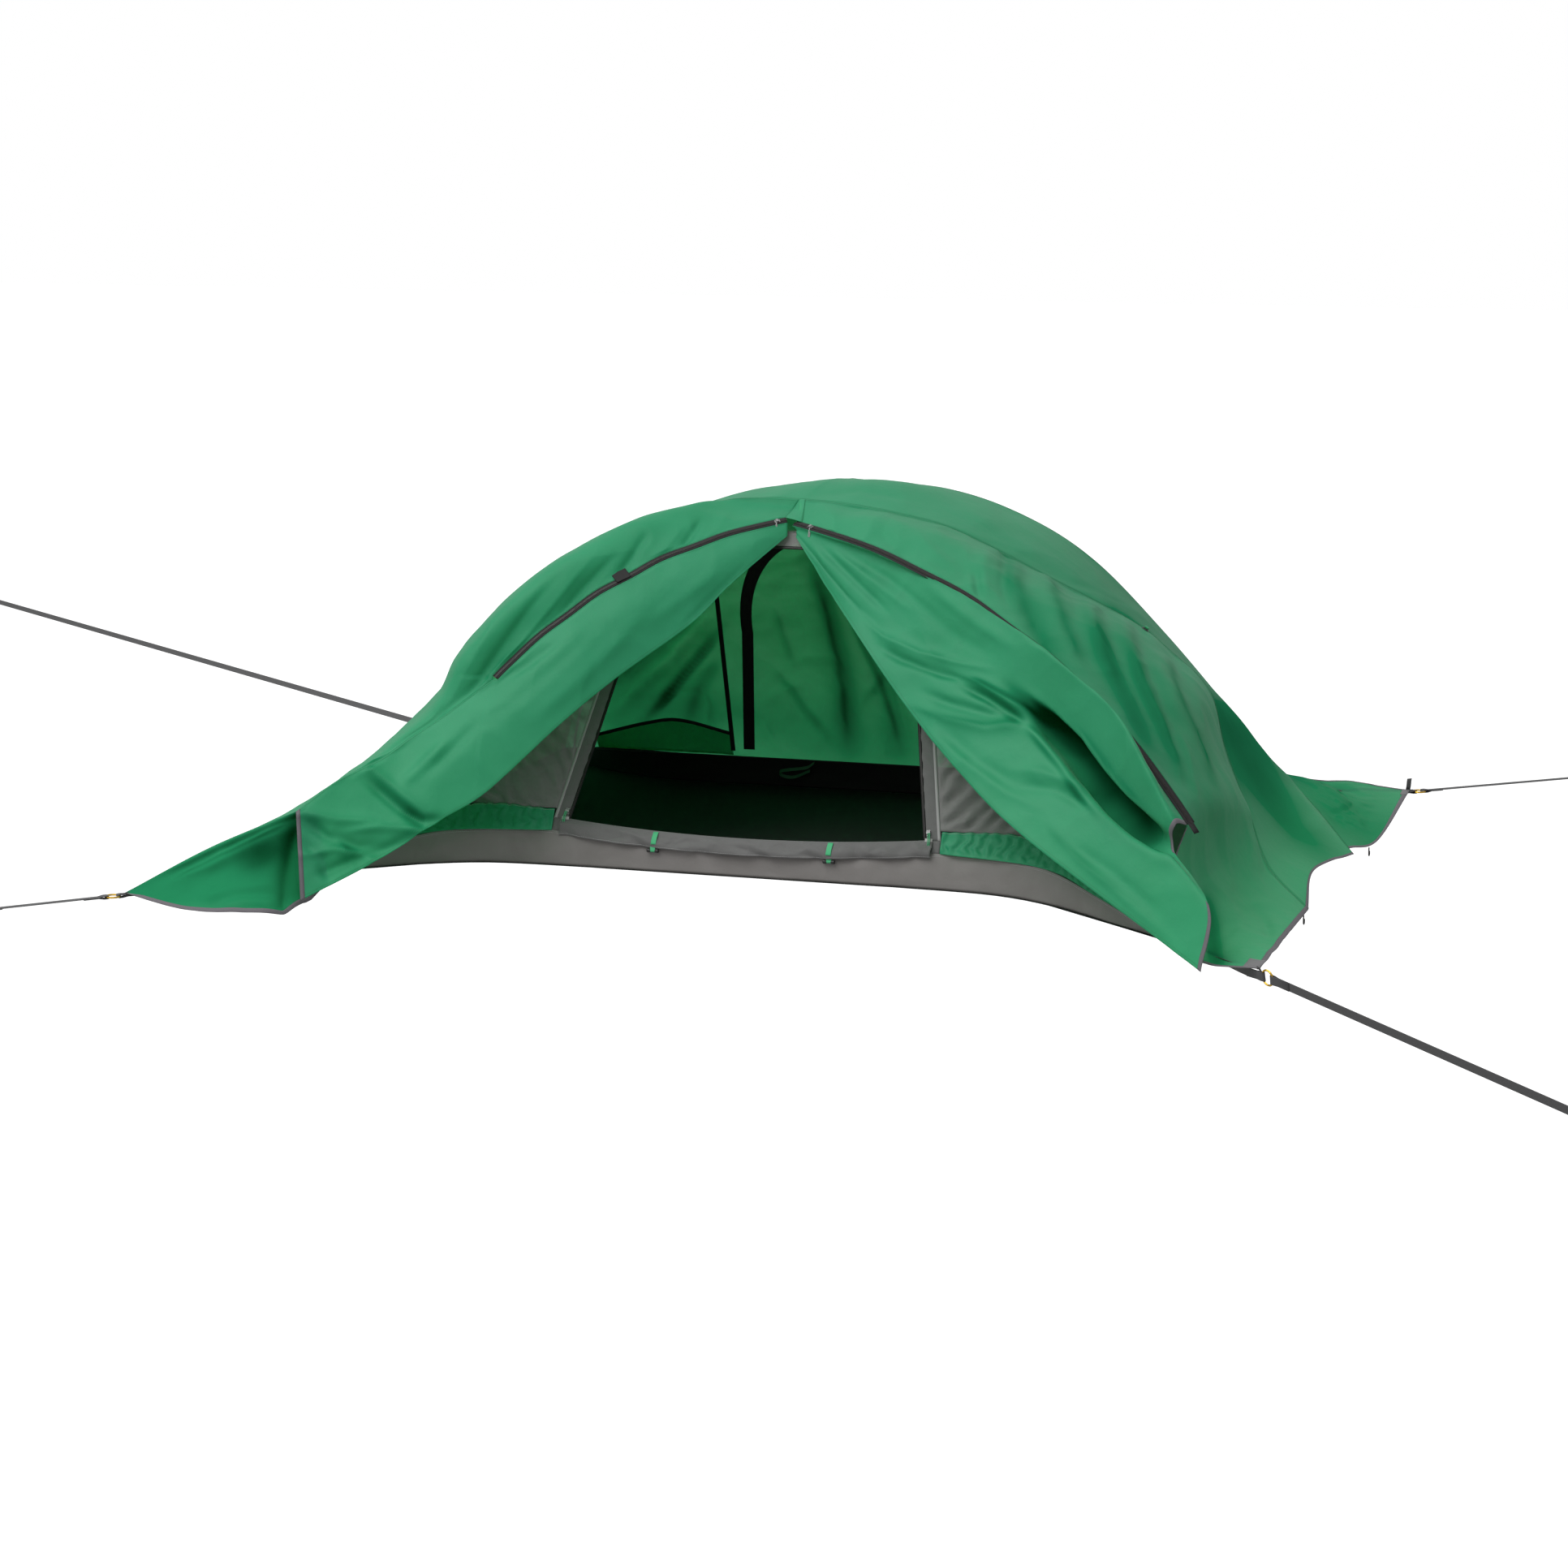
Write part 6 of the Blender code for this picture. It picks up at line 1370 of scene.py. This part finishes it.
# The side walls of the inner tent are solid green polyester from the front to the rear wall.
for name, sign in (("left", -1), ("right", 1)):
    grid = np.zeros((40, 60, 3))
    for c, z in enumerate(np.linspace(WALL_FOOT_Z - 0.004, WALL_TOP_Z - 0.001, 60)):
        for r, share in enumerate(np.linspace(-1, 1, 40)):
            grid[r, c] = (sign * (edge_x(z) + 0.0013), share * (wall_y(z) - 0.0013), z)
    grid = billow(grid, 0.008, crumple(grid, 0.007, 0.15, seed=53.0))
    cloth_sheet("inner_side_wall_" + name, grid, ["inner_%s_wall" % name], ripstop)

# The sill strip and the lowered half of the inner door are light mesh. The door lies rolled
# down over the sill in loose wrinkles.
sill_half = panel_x - 0.0004


def sill_z(x):
    return DOOR_SILL_Z - SILL_SAG * max(0.0, 1 - (x / DOOR_HALF_WIDTH) ** 2)


xs = np.linspace(-sill_half, sill_half, 160)
grid = np.array([[(x, -wall_y(z), z) for x in xs for z in [WALL_FOOT_Z + (sill_z(x) - WALL_FOOT_Z) * share]]
                 for share in np.linspace(0.01, 0.99, 8)])
cloth_sheet("sill_strip", grid, ["inner_sill"], light_mesh)
LOWERED_DROP = 0.046
LOWERED_BILLOW = 0.0125
LOWERED_ROUND_SHARE = 0.8
half = DOOR_HALF_WIDTH + TAPE_WIDTH / 2
xs = np.linspace(-half, half, 240)
rows = []
for share in np.linspace(0, 1, 20):
    row = []
    for x in xs:
        z = sill_z(x) - 0.0004 - share * LOWERED_DROP
        loose = LOWERED_BILLOW * math.sin(math.pi * share * LOWERED_ROUND_SHARE)
        row.append((x, -(wall_y(z) + 0.0013 + loose), z))
    rows.append(row)
grid = np.array(rows)
waves = 0.0040 * np.sin(grid[..., 0] * 34 + grid[..., 2] * 90 + crumple(grid, 3.0, 0.10, seed=59.0))
waves += crumple(grid, 0.004, 0.05, (3.0, 1.0, 1.0), 61.0)
grid = grid + facing(grid) * (waves * edge_mask(grid.shape[:2], ("first",), 8))[..., None]
trims = [stitched("lowered_door_stitches", [(grid, "last", 0.004)], light_thread)]
cloth_sheet("lowered_inner_door", grid, ["inner_door_lowered"], light_mesh)

# Behind the mesh a green panel closes the low left part of the rear door, with a black tape on
# its top edge, and a narrow seam tape runs up beside the door.
REAR_PANEL_EDGE = ((-0.978, 0.182), (-0.775, 0.240), (-0.655, 0.255), (-0.487, 0.216))
REAR_SEAM_TAPE = ((-0.485, 0.150), (-0.468, 0.400), (-0.445, 0.746))
edge = spline([(x, wall_y(z) - 0.006, z) for x, z in REAR_PANEL_EDGE], 60)
foot_line = np.array([(x, wall_y(WALL_FOOT_Z) - 0.006, WALL_FOOT_Z + 0.004) for x in edge[:, 0]])
panel_grid = loft([edge, foot_line], 12)
strip("rear_low_panel", panel_grid + facing(panel_grid) * crumple(panel_grid, 0.003, 0.08,
                                                                  seed=71.0)[..., None],
      ripstop)
strip("rear_low_panel_tape", [edge + (0, -0.0012, dz) for dz in (0.006, 0.0, -0.006)], black_tape)
seam = spline([(x, wall_y(z) - 0.008, z) for x, z in REAR_SEAM_TAPE], 60)
strip("rear_seam_tape", [seam + (dx, 0, 0) for dx in (-0.008, 0.0, 0.008)], black_tape)


def tube_object(name, path, diameter, material, body="tent", resolution=2):
    """A round cord or wire along a smooth path, as a plain mesh."""
    curve = bpy.data.curves.new(name, "CURVE")
    curve.dimensions = "3D"
    curve.bevel_depth = diameter / 2
    curve.bevel_resolution = resolution
    curve.use_fill_caps = True
    line = curve.splines.new("POLY")
    line.points.add(len(path) - 1)
    for point, place in zip(line.points, path):
        point.co = (*place, 1.0)
    made = bpy.data.objects.new(name, curve)
    scene.collection.objects.link(made)
    graph = bpy.context.evaluated_depsgraph_get()
    graph.update()
    mesh = bpy.data.meshes.new_from_object(made.evaluated_get(graph))
    bpy.data.objects.remove(made)
    obj = bpy.data.objects.new(name, mesh)
    scene.collection.objects.link(obj)
    for polygon in mesh.polygons:
        polygon.use_smooth = True
    mesh.materials.clear()
    mesh.materials.append(material)
    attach(obj, body)
    return obj


def ribbon_piece(name, path, width_dirs, width, material, body="tent", thickness=0.0009):
    """A short flat ribbon along a path."""
    obj = web_strip(name, path, width_dirs, width, thickness)
    obj.data.materials.append(material)
    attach(obj, body)
    return obj


# Load webbing crosses under the floor on both diagonals and carries the load between rings.
WEB_TWIST_RUN = 0.30
web_top = FLOOR_Z - 0.0004 - WEB_THICK / 2
for name, one, other, lift in (("load_webbing_a", "fl", "br", web_top),
                               ("load_webbing_b", "bl", "fr", web_top - WEB_THICK - 0.0004)):
    start, end = (np.array([CORNERS[c][0] * RING_SPAN_X / 2, CORNERS[c][1] * RING_SPAN_Y / 2,
                            0.0]) for c in (one, other))
    span = np.linalg.norm(end - start)
    direction = (end - start) / span
    first_tilt, last_tilt = -RING_TILT[one], RING_TILT[other]
    first = eye_path(start, direction, tilted_width(direction, first_tilt))
    last = eye_path(end, -direction, tilted_width(-direction, -last_tilt))
    reach = np.linalg.norm(first[-1] - start)
    run = span - 2 * reach
    path = list(first)
    widths = [tilted_width(direction, first_tilt)] * len(first)
    for stop in np.concatenate([np.linspace(0.03, 0.30, 10), [run / 2], run - np.linspace(0.30, 0.03, 10)]):
        near = min(1.0, stop / WEB_TWIST_RUN)
        far = min(1.0, (run - stop) / WEB_TWIST_RUN)
        path.append(start + direction * (reach + stop) + np.array([0, 0, lift * min(near, far)]))
        widths.append(tilted_width(direction, first_tilt * (1 - near) + last_tilt * (1 - far)))
    path += last[::-1]
    widths += [tilted_width(direction, last_tilt)] * len(last)
    load_web = web_strip(name + "_strap", path, widths, WEB_WIDTH, WEB_THICK)
    load_web.data.materials.append(webbing)
    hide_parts(name)
    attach(load_web, "tent")
    run = sum(float(np.linalg.norm(b - a)) for a, b in zip(path, path[1:]))

# Two toggles hang below the sill to hold the rolled inner door: a green ribbon and a black bar.
ribbon_green = plain("green_ribbon", "#2FA068", 0.65, sheen=0.2)
TOGGLE_X = 0.280
TOGGLE_PIVOT_Z = 0.110
RIBBON_DROP = 0.020
TOGGLE_LENGTH = 0.038
TOGGLE_RADIUS = 0.006
RIBBON_WIDTH = 0.020
RIBBON_SHARE = 0.8
WAIST_SHARE = 0.62
TIE_ASIDE = 0.002
TIE_LIFT = 0.0024
TIE_FRONT = 0.004
moulded_black = plain("moulded_black_plastic", "#1A1A1A", 0.38)


def turned_bar(name, centre, length, radius, material, body):
    """A moulded toggle bar: thick at its ends, with a waist where the ribbon goes round it."""
    profile = ((-0.50, 0.30), (-0.49, 0.72), (-0.46, 0.94), (-0.40, 1.00), (-0.28, 0.90), (-0.14, 0.62),
               (0.0, 0.55), (0.14, 0.62), (0.28, 0.90), (0.40, 1.00), (0.46, 0.94), (0.49, 0.72),
               (0.50, 0.30))
    sides = 20
    places_round = []
    for x, r in profile:
        for k in range(sides):
            turn = 2 * math.pi * k / sides
            places_round.append((centre[0] + x * length, centre[1] + r * radius * math.cos(turn),
                                 centre[2] + r * radius * math.sin(turn)))
    faces = [(i * sides + k, i * sides + (k + 1) % sides, (i + 1) * sides + (k + 1) % sides,
              (i + 1) * sides + k)
             for i in range(len(profile) - 1) for k in range(sides)]
    faces += [tuple(range(sides - 1, -1, -1)), tuple((len(profile) - 1) * sides + k for k in range(sides))]
    obj = mesh_from(name, places_round, faces)
    bm = bmesh.new()
    bm.from_mesh(obj.data)
    bmesh.ops.recalc_face_normals(bm, faces=bm.faces[:])
    bm.to_mesh(obj.data)
    bm.free()
    obj.data.materials.append(material)
    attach(obj, body)
    return obj


for name, sign in (("left", -1), ("right", 1)):
    low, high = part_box("sill_toggle_" + name)
    x = sign * TOGGLE_X
    y = (low[1] + high[1]) / 2
    bar_z = TOGGLE_PIVOT_Z - RIBBON_DROP
    body = "sill_toggle_" + name
    bar = turned_bar("toggle_bar_" + name, (x, y, bar_z), TOGGLE_LENGTH, TOGGLE_RADIUS, moulded_black,
                     body)
    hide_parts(body)
    waist = TOGGLE_RADIUS * WAIST_SHARE
    round_bar = [(x, y + waist * math.cos(t), bar_z + waist * math.sin(t))
                 for t in np.linspace(math.pi * 0.62, math.pi * 2.38, 14)]
    path = [(x, y - 0.0006, TOGGLE_PIVOT_Z)] + round_bar + [(x, y + 0.0006, TOGGLE_PIVOT_Z)]
    ribbon_piece("toggle_ribbon_" + name, path, [(1, 0, 0)] * len(path), RIBBON_WIDTH * RIBBON_SHARE,
                 ribbon_green, body)
    z_top = sill_z(x) - 0.002
    fixed = []
    for z in np.linspace(z_top, TOGGLE_PIVOT_Z, 10):
        loose = LOWERED_BILLOW * math.sin(math.pi * LOWERED_ROUND_SHARE * (z_top - z) / LOWERED_DROP)
        fixed.append((x - sign * TIE_ASIDE, -(wall_y(z) + TIE_LIFT + loose) - TIE_FRONT, z))
    ribbon_piece("toggle_tie_" + name, fixed, [(1, 0, 0)] * len(fixed), RIBBON_WIDTH * RIBBON_SHARE,
                 ribbon_green)

# Green cord pulls hang from the two inner sliders, and pale reinforcing patches end the zips.
pale_patch = plain("pale_reinforcement_cloth", "#9C9C9A", 0.7, sheen=0.2)
PULL_CORD = 0.0028
PATCH_HALF = 0.012
END_PATCH_LIFT = 0.0030
for name, sign in (("left", -1), ("right", 1)):
    low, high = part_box("inner_slider_" + name)
    x = (low[0] + high[0]) / 2
    z_low = low[2]
    y_front = low[1]
    pull = [(x, y_front + 0.002, z_low + 0.010), (x + sign * 0.002, y_front - 0.007, z_low - 0.002),
            (x + sign * 0.003, y_front - 0.014, z_low - 0.018),
            (x + sign * 0.001, y_front - 0.016, z_low - 0.036)]
    back = [(px + sign * 0.005, py, pz) for px, py, pz in pull[::-1]]
    loop = spline(pull + back, 40)
    tube_object("inner_pull_" + name, loop, PULL_CORD, ribbon_green, "inner_slider_" + name)
    patch_x = sign * (DOOR_HALF_WIDTH + PATCH_HALF)
    rows = [[(patch_x + dx, -(wall_y(z) + END_PATCH_LIFT), z)
             for dx in np.linspace(-PATCH_HALF, PATCH_HALF, 5)]
            for z in np.linspace(DOOR_SILL_Z - 0.020, DOOR_SILL_Z + 0.006, 5)]
    strip("zip_end_patch_" + name, rows, pale_patch)

# A green ribbon loop for hanging gear is sewn on the rear bathtub wall.
low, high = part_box("gear_loop")
loop_y = low[1] - 0.001
loop_x, loop_z = (low[0] + high[0]) / 2, (low[2] + high[2]) / 2
loop_path = spline([(loop_x + 0.060, loop_y, loop_z + 0.012),
                    (loop_x + 0.035, loop_y - 0.012, loop_z - 0.004),
                    (loop_x - 0.020, loop_y - 0.022, loop_z - 0.012), (loop_x - 0.056, loop_y - 0.020,
                                                                       loop_z - 0.020),
                    (loop_x - 0.050, loop_y - 0.010, loop_z - 0.036), (loop_x - 0.010, loop_y - 0.004,
                                                                       loop_z - 0.040),
                    (loop_x + 0.045, loop_y, loop_z - 0.016)], 60)
widths = [(0.1, 0.35, 1.0)] * len(loop_path)
gear_green = plain("dark_green_ribbon", "#155434", 0.7)
gear = ribbon_piece("gear_loop_ribbon", loop_path, widths, RIBBON_WIDTH * 0.55, gear_green)
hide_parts("gear_loop")

# Grey patches reinforce the fly's corner tips, tied to the rings with black elastic cord.
patch_grey = plain("grey_reinforcement_cloth", "#5E5C5F", 0.7, sheen=0.2)
elastic = plain("black_elastic_cord", "#17181A", 0.6, sheen=0.3)
PATCH_LIFT = 0.0011
tips = {"fl": (wing_grid, wing_grid[-14:, :5], wing_grid[-1, 0]),
        "fr": (band_right_grid, band_right_grid[-12:, -6:], band_right_grid[-1, -1]),
        "br": (rear_grid, rear_grid[-7:, -4:], rear_grid[-1, -1]),
        "bl": (rear_grid, rear_grid[-7:, :4], rear_grid[-1, 0])}
for corner, (sheet_grid, part_grid, tip_place) in tips.items():
    lift = facing(part_grid) * PATCH_LIFT
    strip("tip_patch_" + corner, part_grid + lift, patch_grey)
    ring_at = np.array([CORNERS[corner][0] * RING_SPAN_X / 2, CORNERS[corner][1] * RING_SPAN_Y / 2, 0.0])
    inward = tip_place - ring_at
    inward[2] = 0
    inward /= np.linalg.norm(inward)
    near_wire = ring_at + inward * RING_RADIUS
    tie = spline([tip_place + inward * 0.012 + (0, 0, 0.003), tip_place + (0, 0, 0.001),
                  near_wire + (0, 0, 0.006),
                  near_wire - inward * 0.006 + (0, 0, 0.0), near_wire - inward * 0.001 - (0, 0, 0.006),
                  tip_place + (0, 0, -0.004), tip_place + inward * 0.012 + (0, 0, -0.003)], 40)
    tube_object("tip_tie_" + corner, tie, 0.003, elastic)

# A black tab stands on the back right tip, and a square black tab covers the left zip's fold.
tip_place = rear_grid[-1, -1]
tab = [tip_place + (-0.006, 0, 0.001), tip_place + (-0.004, 0, 0.014), tip_place + (-0.003, 0.001, 0.030),
       tip_place + (-0.002, 0.002, 0.040)]
ribbon_piece("back_tip_tab", tab, [(1, 0.4, 0.1)] * 4, 0.016, webbing, thickness=0.0016)
TAB_SHARE = 0.52
spot = arc_place(arc_left, TAB_SHARE, -0.012, 0.0045)
along = arc_place(arc_left, TAB_SHARE + 0.02, -0.012, 0.0045) - spot
along /= np.linalg.norm(along)
up = arc_place(arc_left, TAB_SHARE, -0.032, 0.0055) - spot
up /= np.linalg.norm(up)
tab_grid = np.array([[spot + along * a + up * b + np.cross(up, along) * (0.0008 * math.sin(a * 90))
                      for a in np.linspace(-0.024, 0.024, 12)] for b in np.linspace(-0.018, 0.024, 12)])
strip("left_zip_tab", tab_grid, black_tape, 0.0012)

# The left band's end laps over the right band above the sliders, so that no gap shows there.
edge = band_left_grid[:, 0]
over = inset(band_right_grid, "start", 0.020, 0.0022)
lap = loft([edge + (0, 0, 0.0006), (edge + over) / 2 + facing(band_right_grid)[:, 2] * 0.002, over], 8)
strip("apex_overlap", lap, ripstop, FLY_CLOTH)

# Guy-out loops: a green ribbon tab holds each black cord loop at the side seam.
for name, sheet_grid in (("left", band_left_grid), ("right", band_right_grid)):
    low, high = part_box("guy_loop_" + name)
    middle = (np.array(low) + np.array(high)) / 2
    nearest = int(np.argmin(np.linalg.norm(sheet_grid[0] - middle, axis=1)))
    start = sheet_grid[0, nearest]
    way = middle - start
    out = facing(sheet_grid)[2, nearest]
    side = np.cross(way, out)
    side /= np.linalg.norm(side)
    tab = [start + out * 0.0012, start + way * 0.4 + out * 0.003, start + way * 0.75 + out * 0.006,
           start + way * 0.75 + out * 0.010, start + way * 0.4 + out * 0.009, start + out * 0.004]
    ribbon_piece("guy_tab_" + name, spline(tab, 24), [side] * 24, 0.012, ribbon_green)

# The rigid pieces keep the CAD model's shapes: plated rings, alloy poles, moulded plastic cups,
# clip and hooks, and die-cast zip sliders.
yellow_zinc = plain("yellow_zinc_plated_steel", "#C9A13A", 0.32, 1.0)
cast_zinc = plain("grey_die_cast_zinc", "#8C8D8C", 0.42, 0.8)
anodised = plain("anodised_pole_alloy", "#8E9194", 0.34, 1.0)
finishes = [("corner_ring_" + c, yellow_zinc) for c in CORNERS] + [("pole_pocket_" + c,
                                                                    moulded_black) for c in CORNERS]
finishes += [("pole_a", anodised), ("pole_b", anodised), ("crown_clip", moulded_black)]
finishes += [(kind + side, cast_zinc)
             for kind in ("fly_slider_", "inner_slider_") for side in ("left", "right")]
finishes += [("hem_hook_%s_%s" % (side, end), moulded_black)
             for side in ("left", "right") for end in ("front", "rear")]
finishes += [("guy_loop_" + side, elastic) for side in ("left", "right")]
for name, finish in finishes:
    for material_slot in node[name].material_slots:
        material_slot.material = finish

# Short grey cord pulls hang from the two fly sliders at the top of the doorway.
for name in ("left", "right"):
    low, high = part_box("fly_slider_" + name)
    x, y = (low[0] + high[0]) / 2, low[1]
    pull = spline([(x, y + 0.004, low[2] + 0.004), (x, y - 0.003, low[2] - 0.004),
                   (x - 0.002, y - 0.004, low[2] - 0.022),
                   (x + 0.002, y - 0.004, low[2] - 0.022), (x + 0.002, y - 0.002, low[2] - 0.002)], 30)
    tube_object("fly_pull_" + name, pull, 0.003, pale_patch, "fly_slider_" + name)
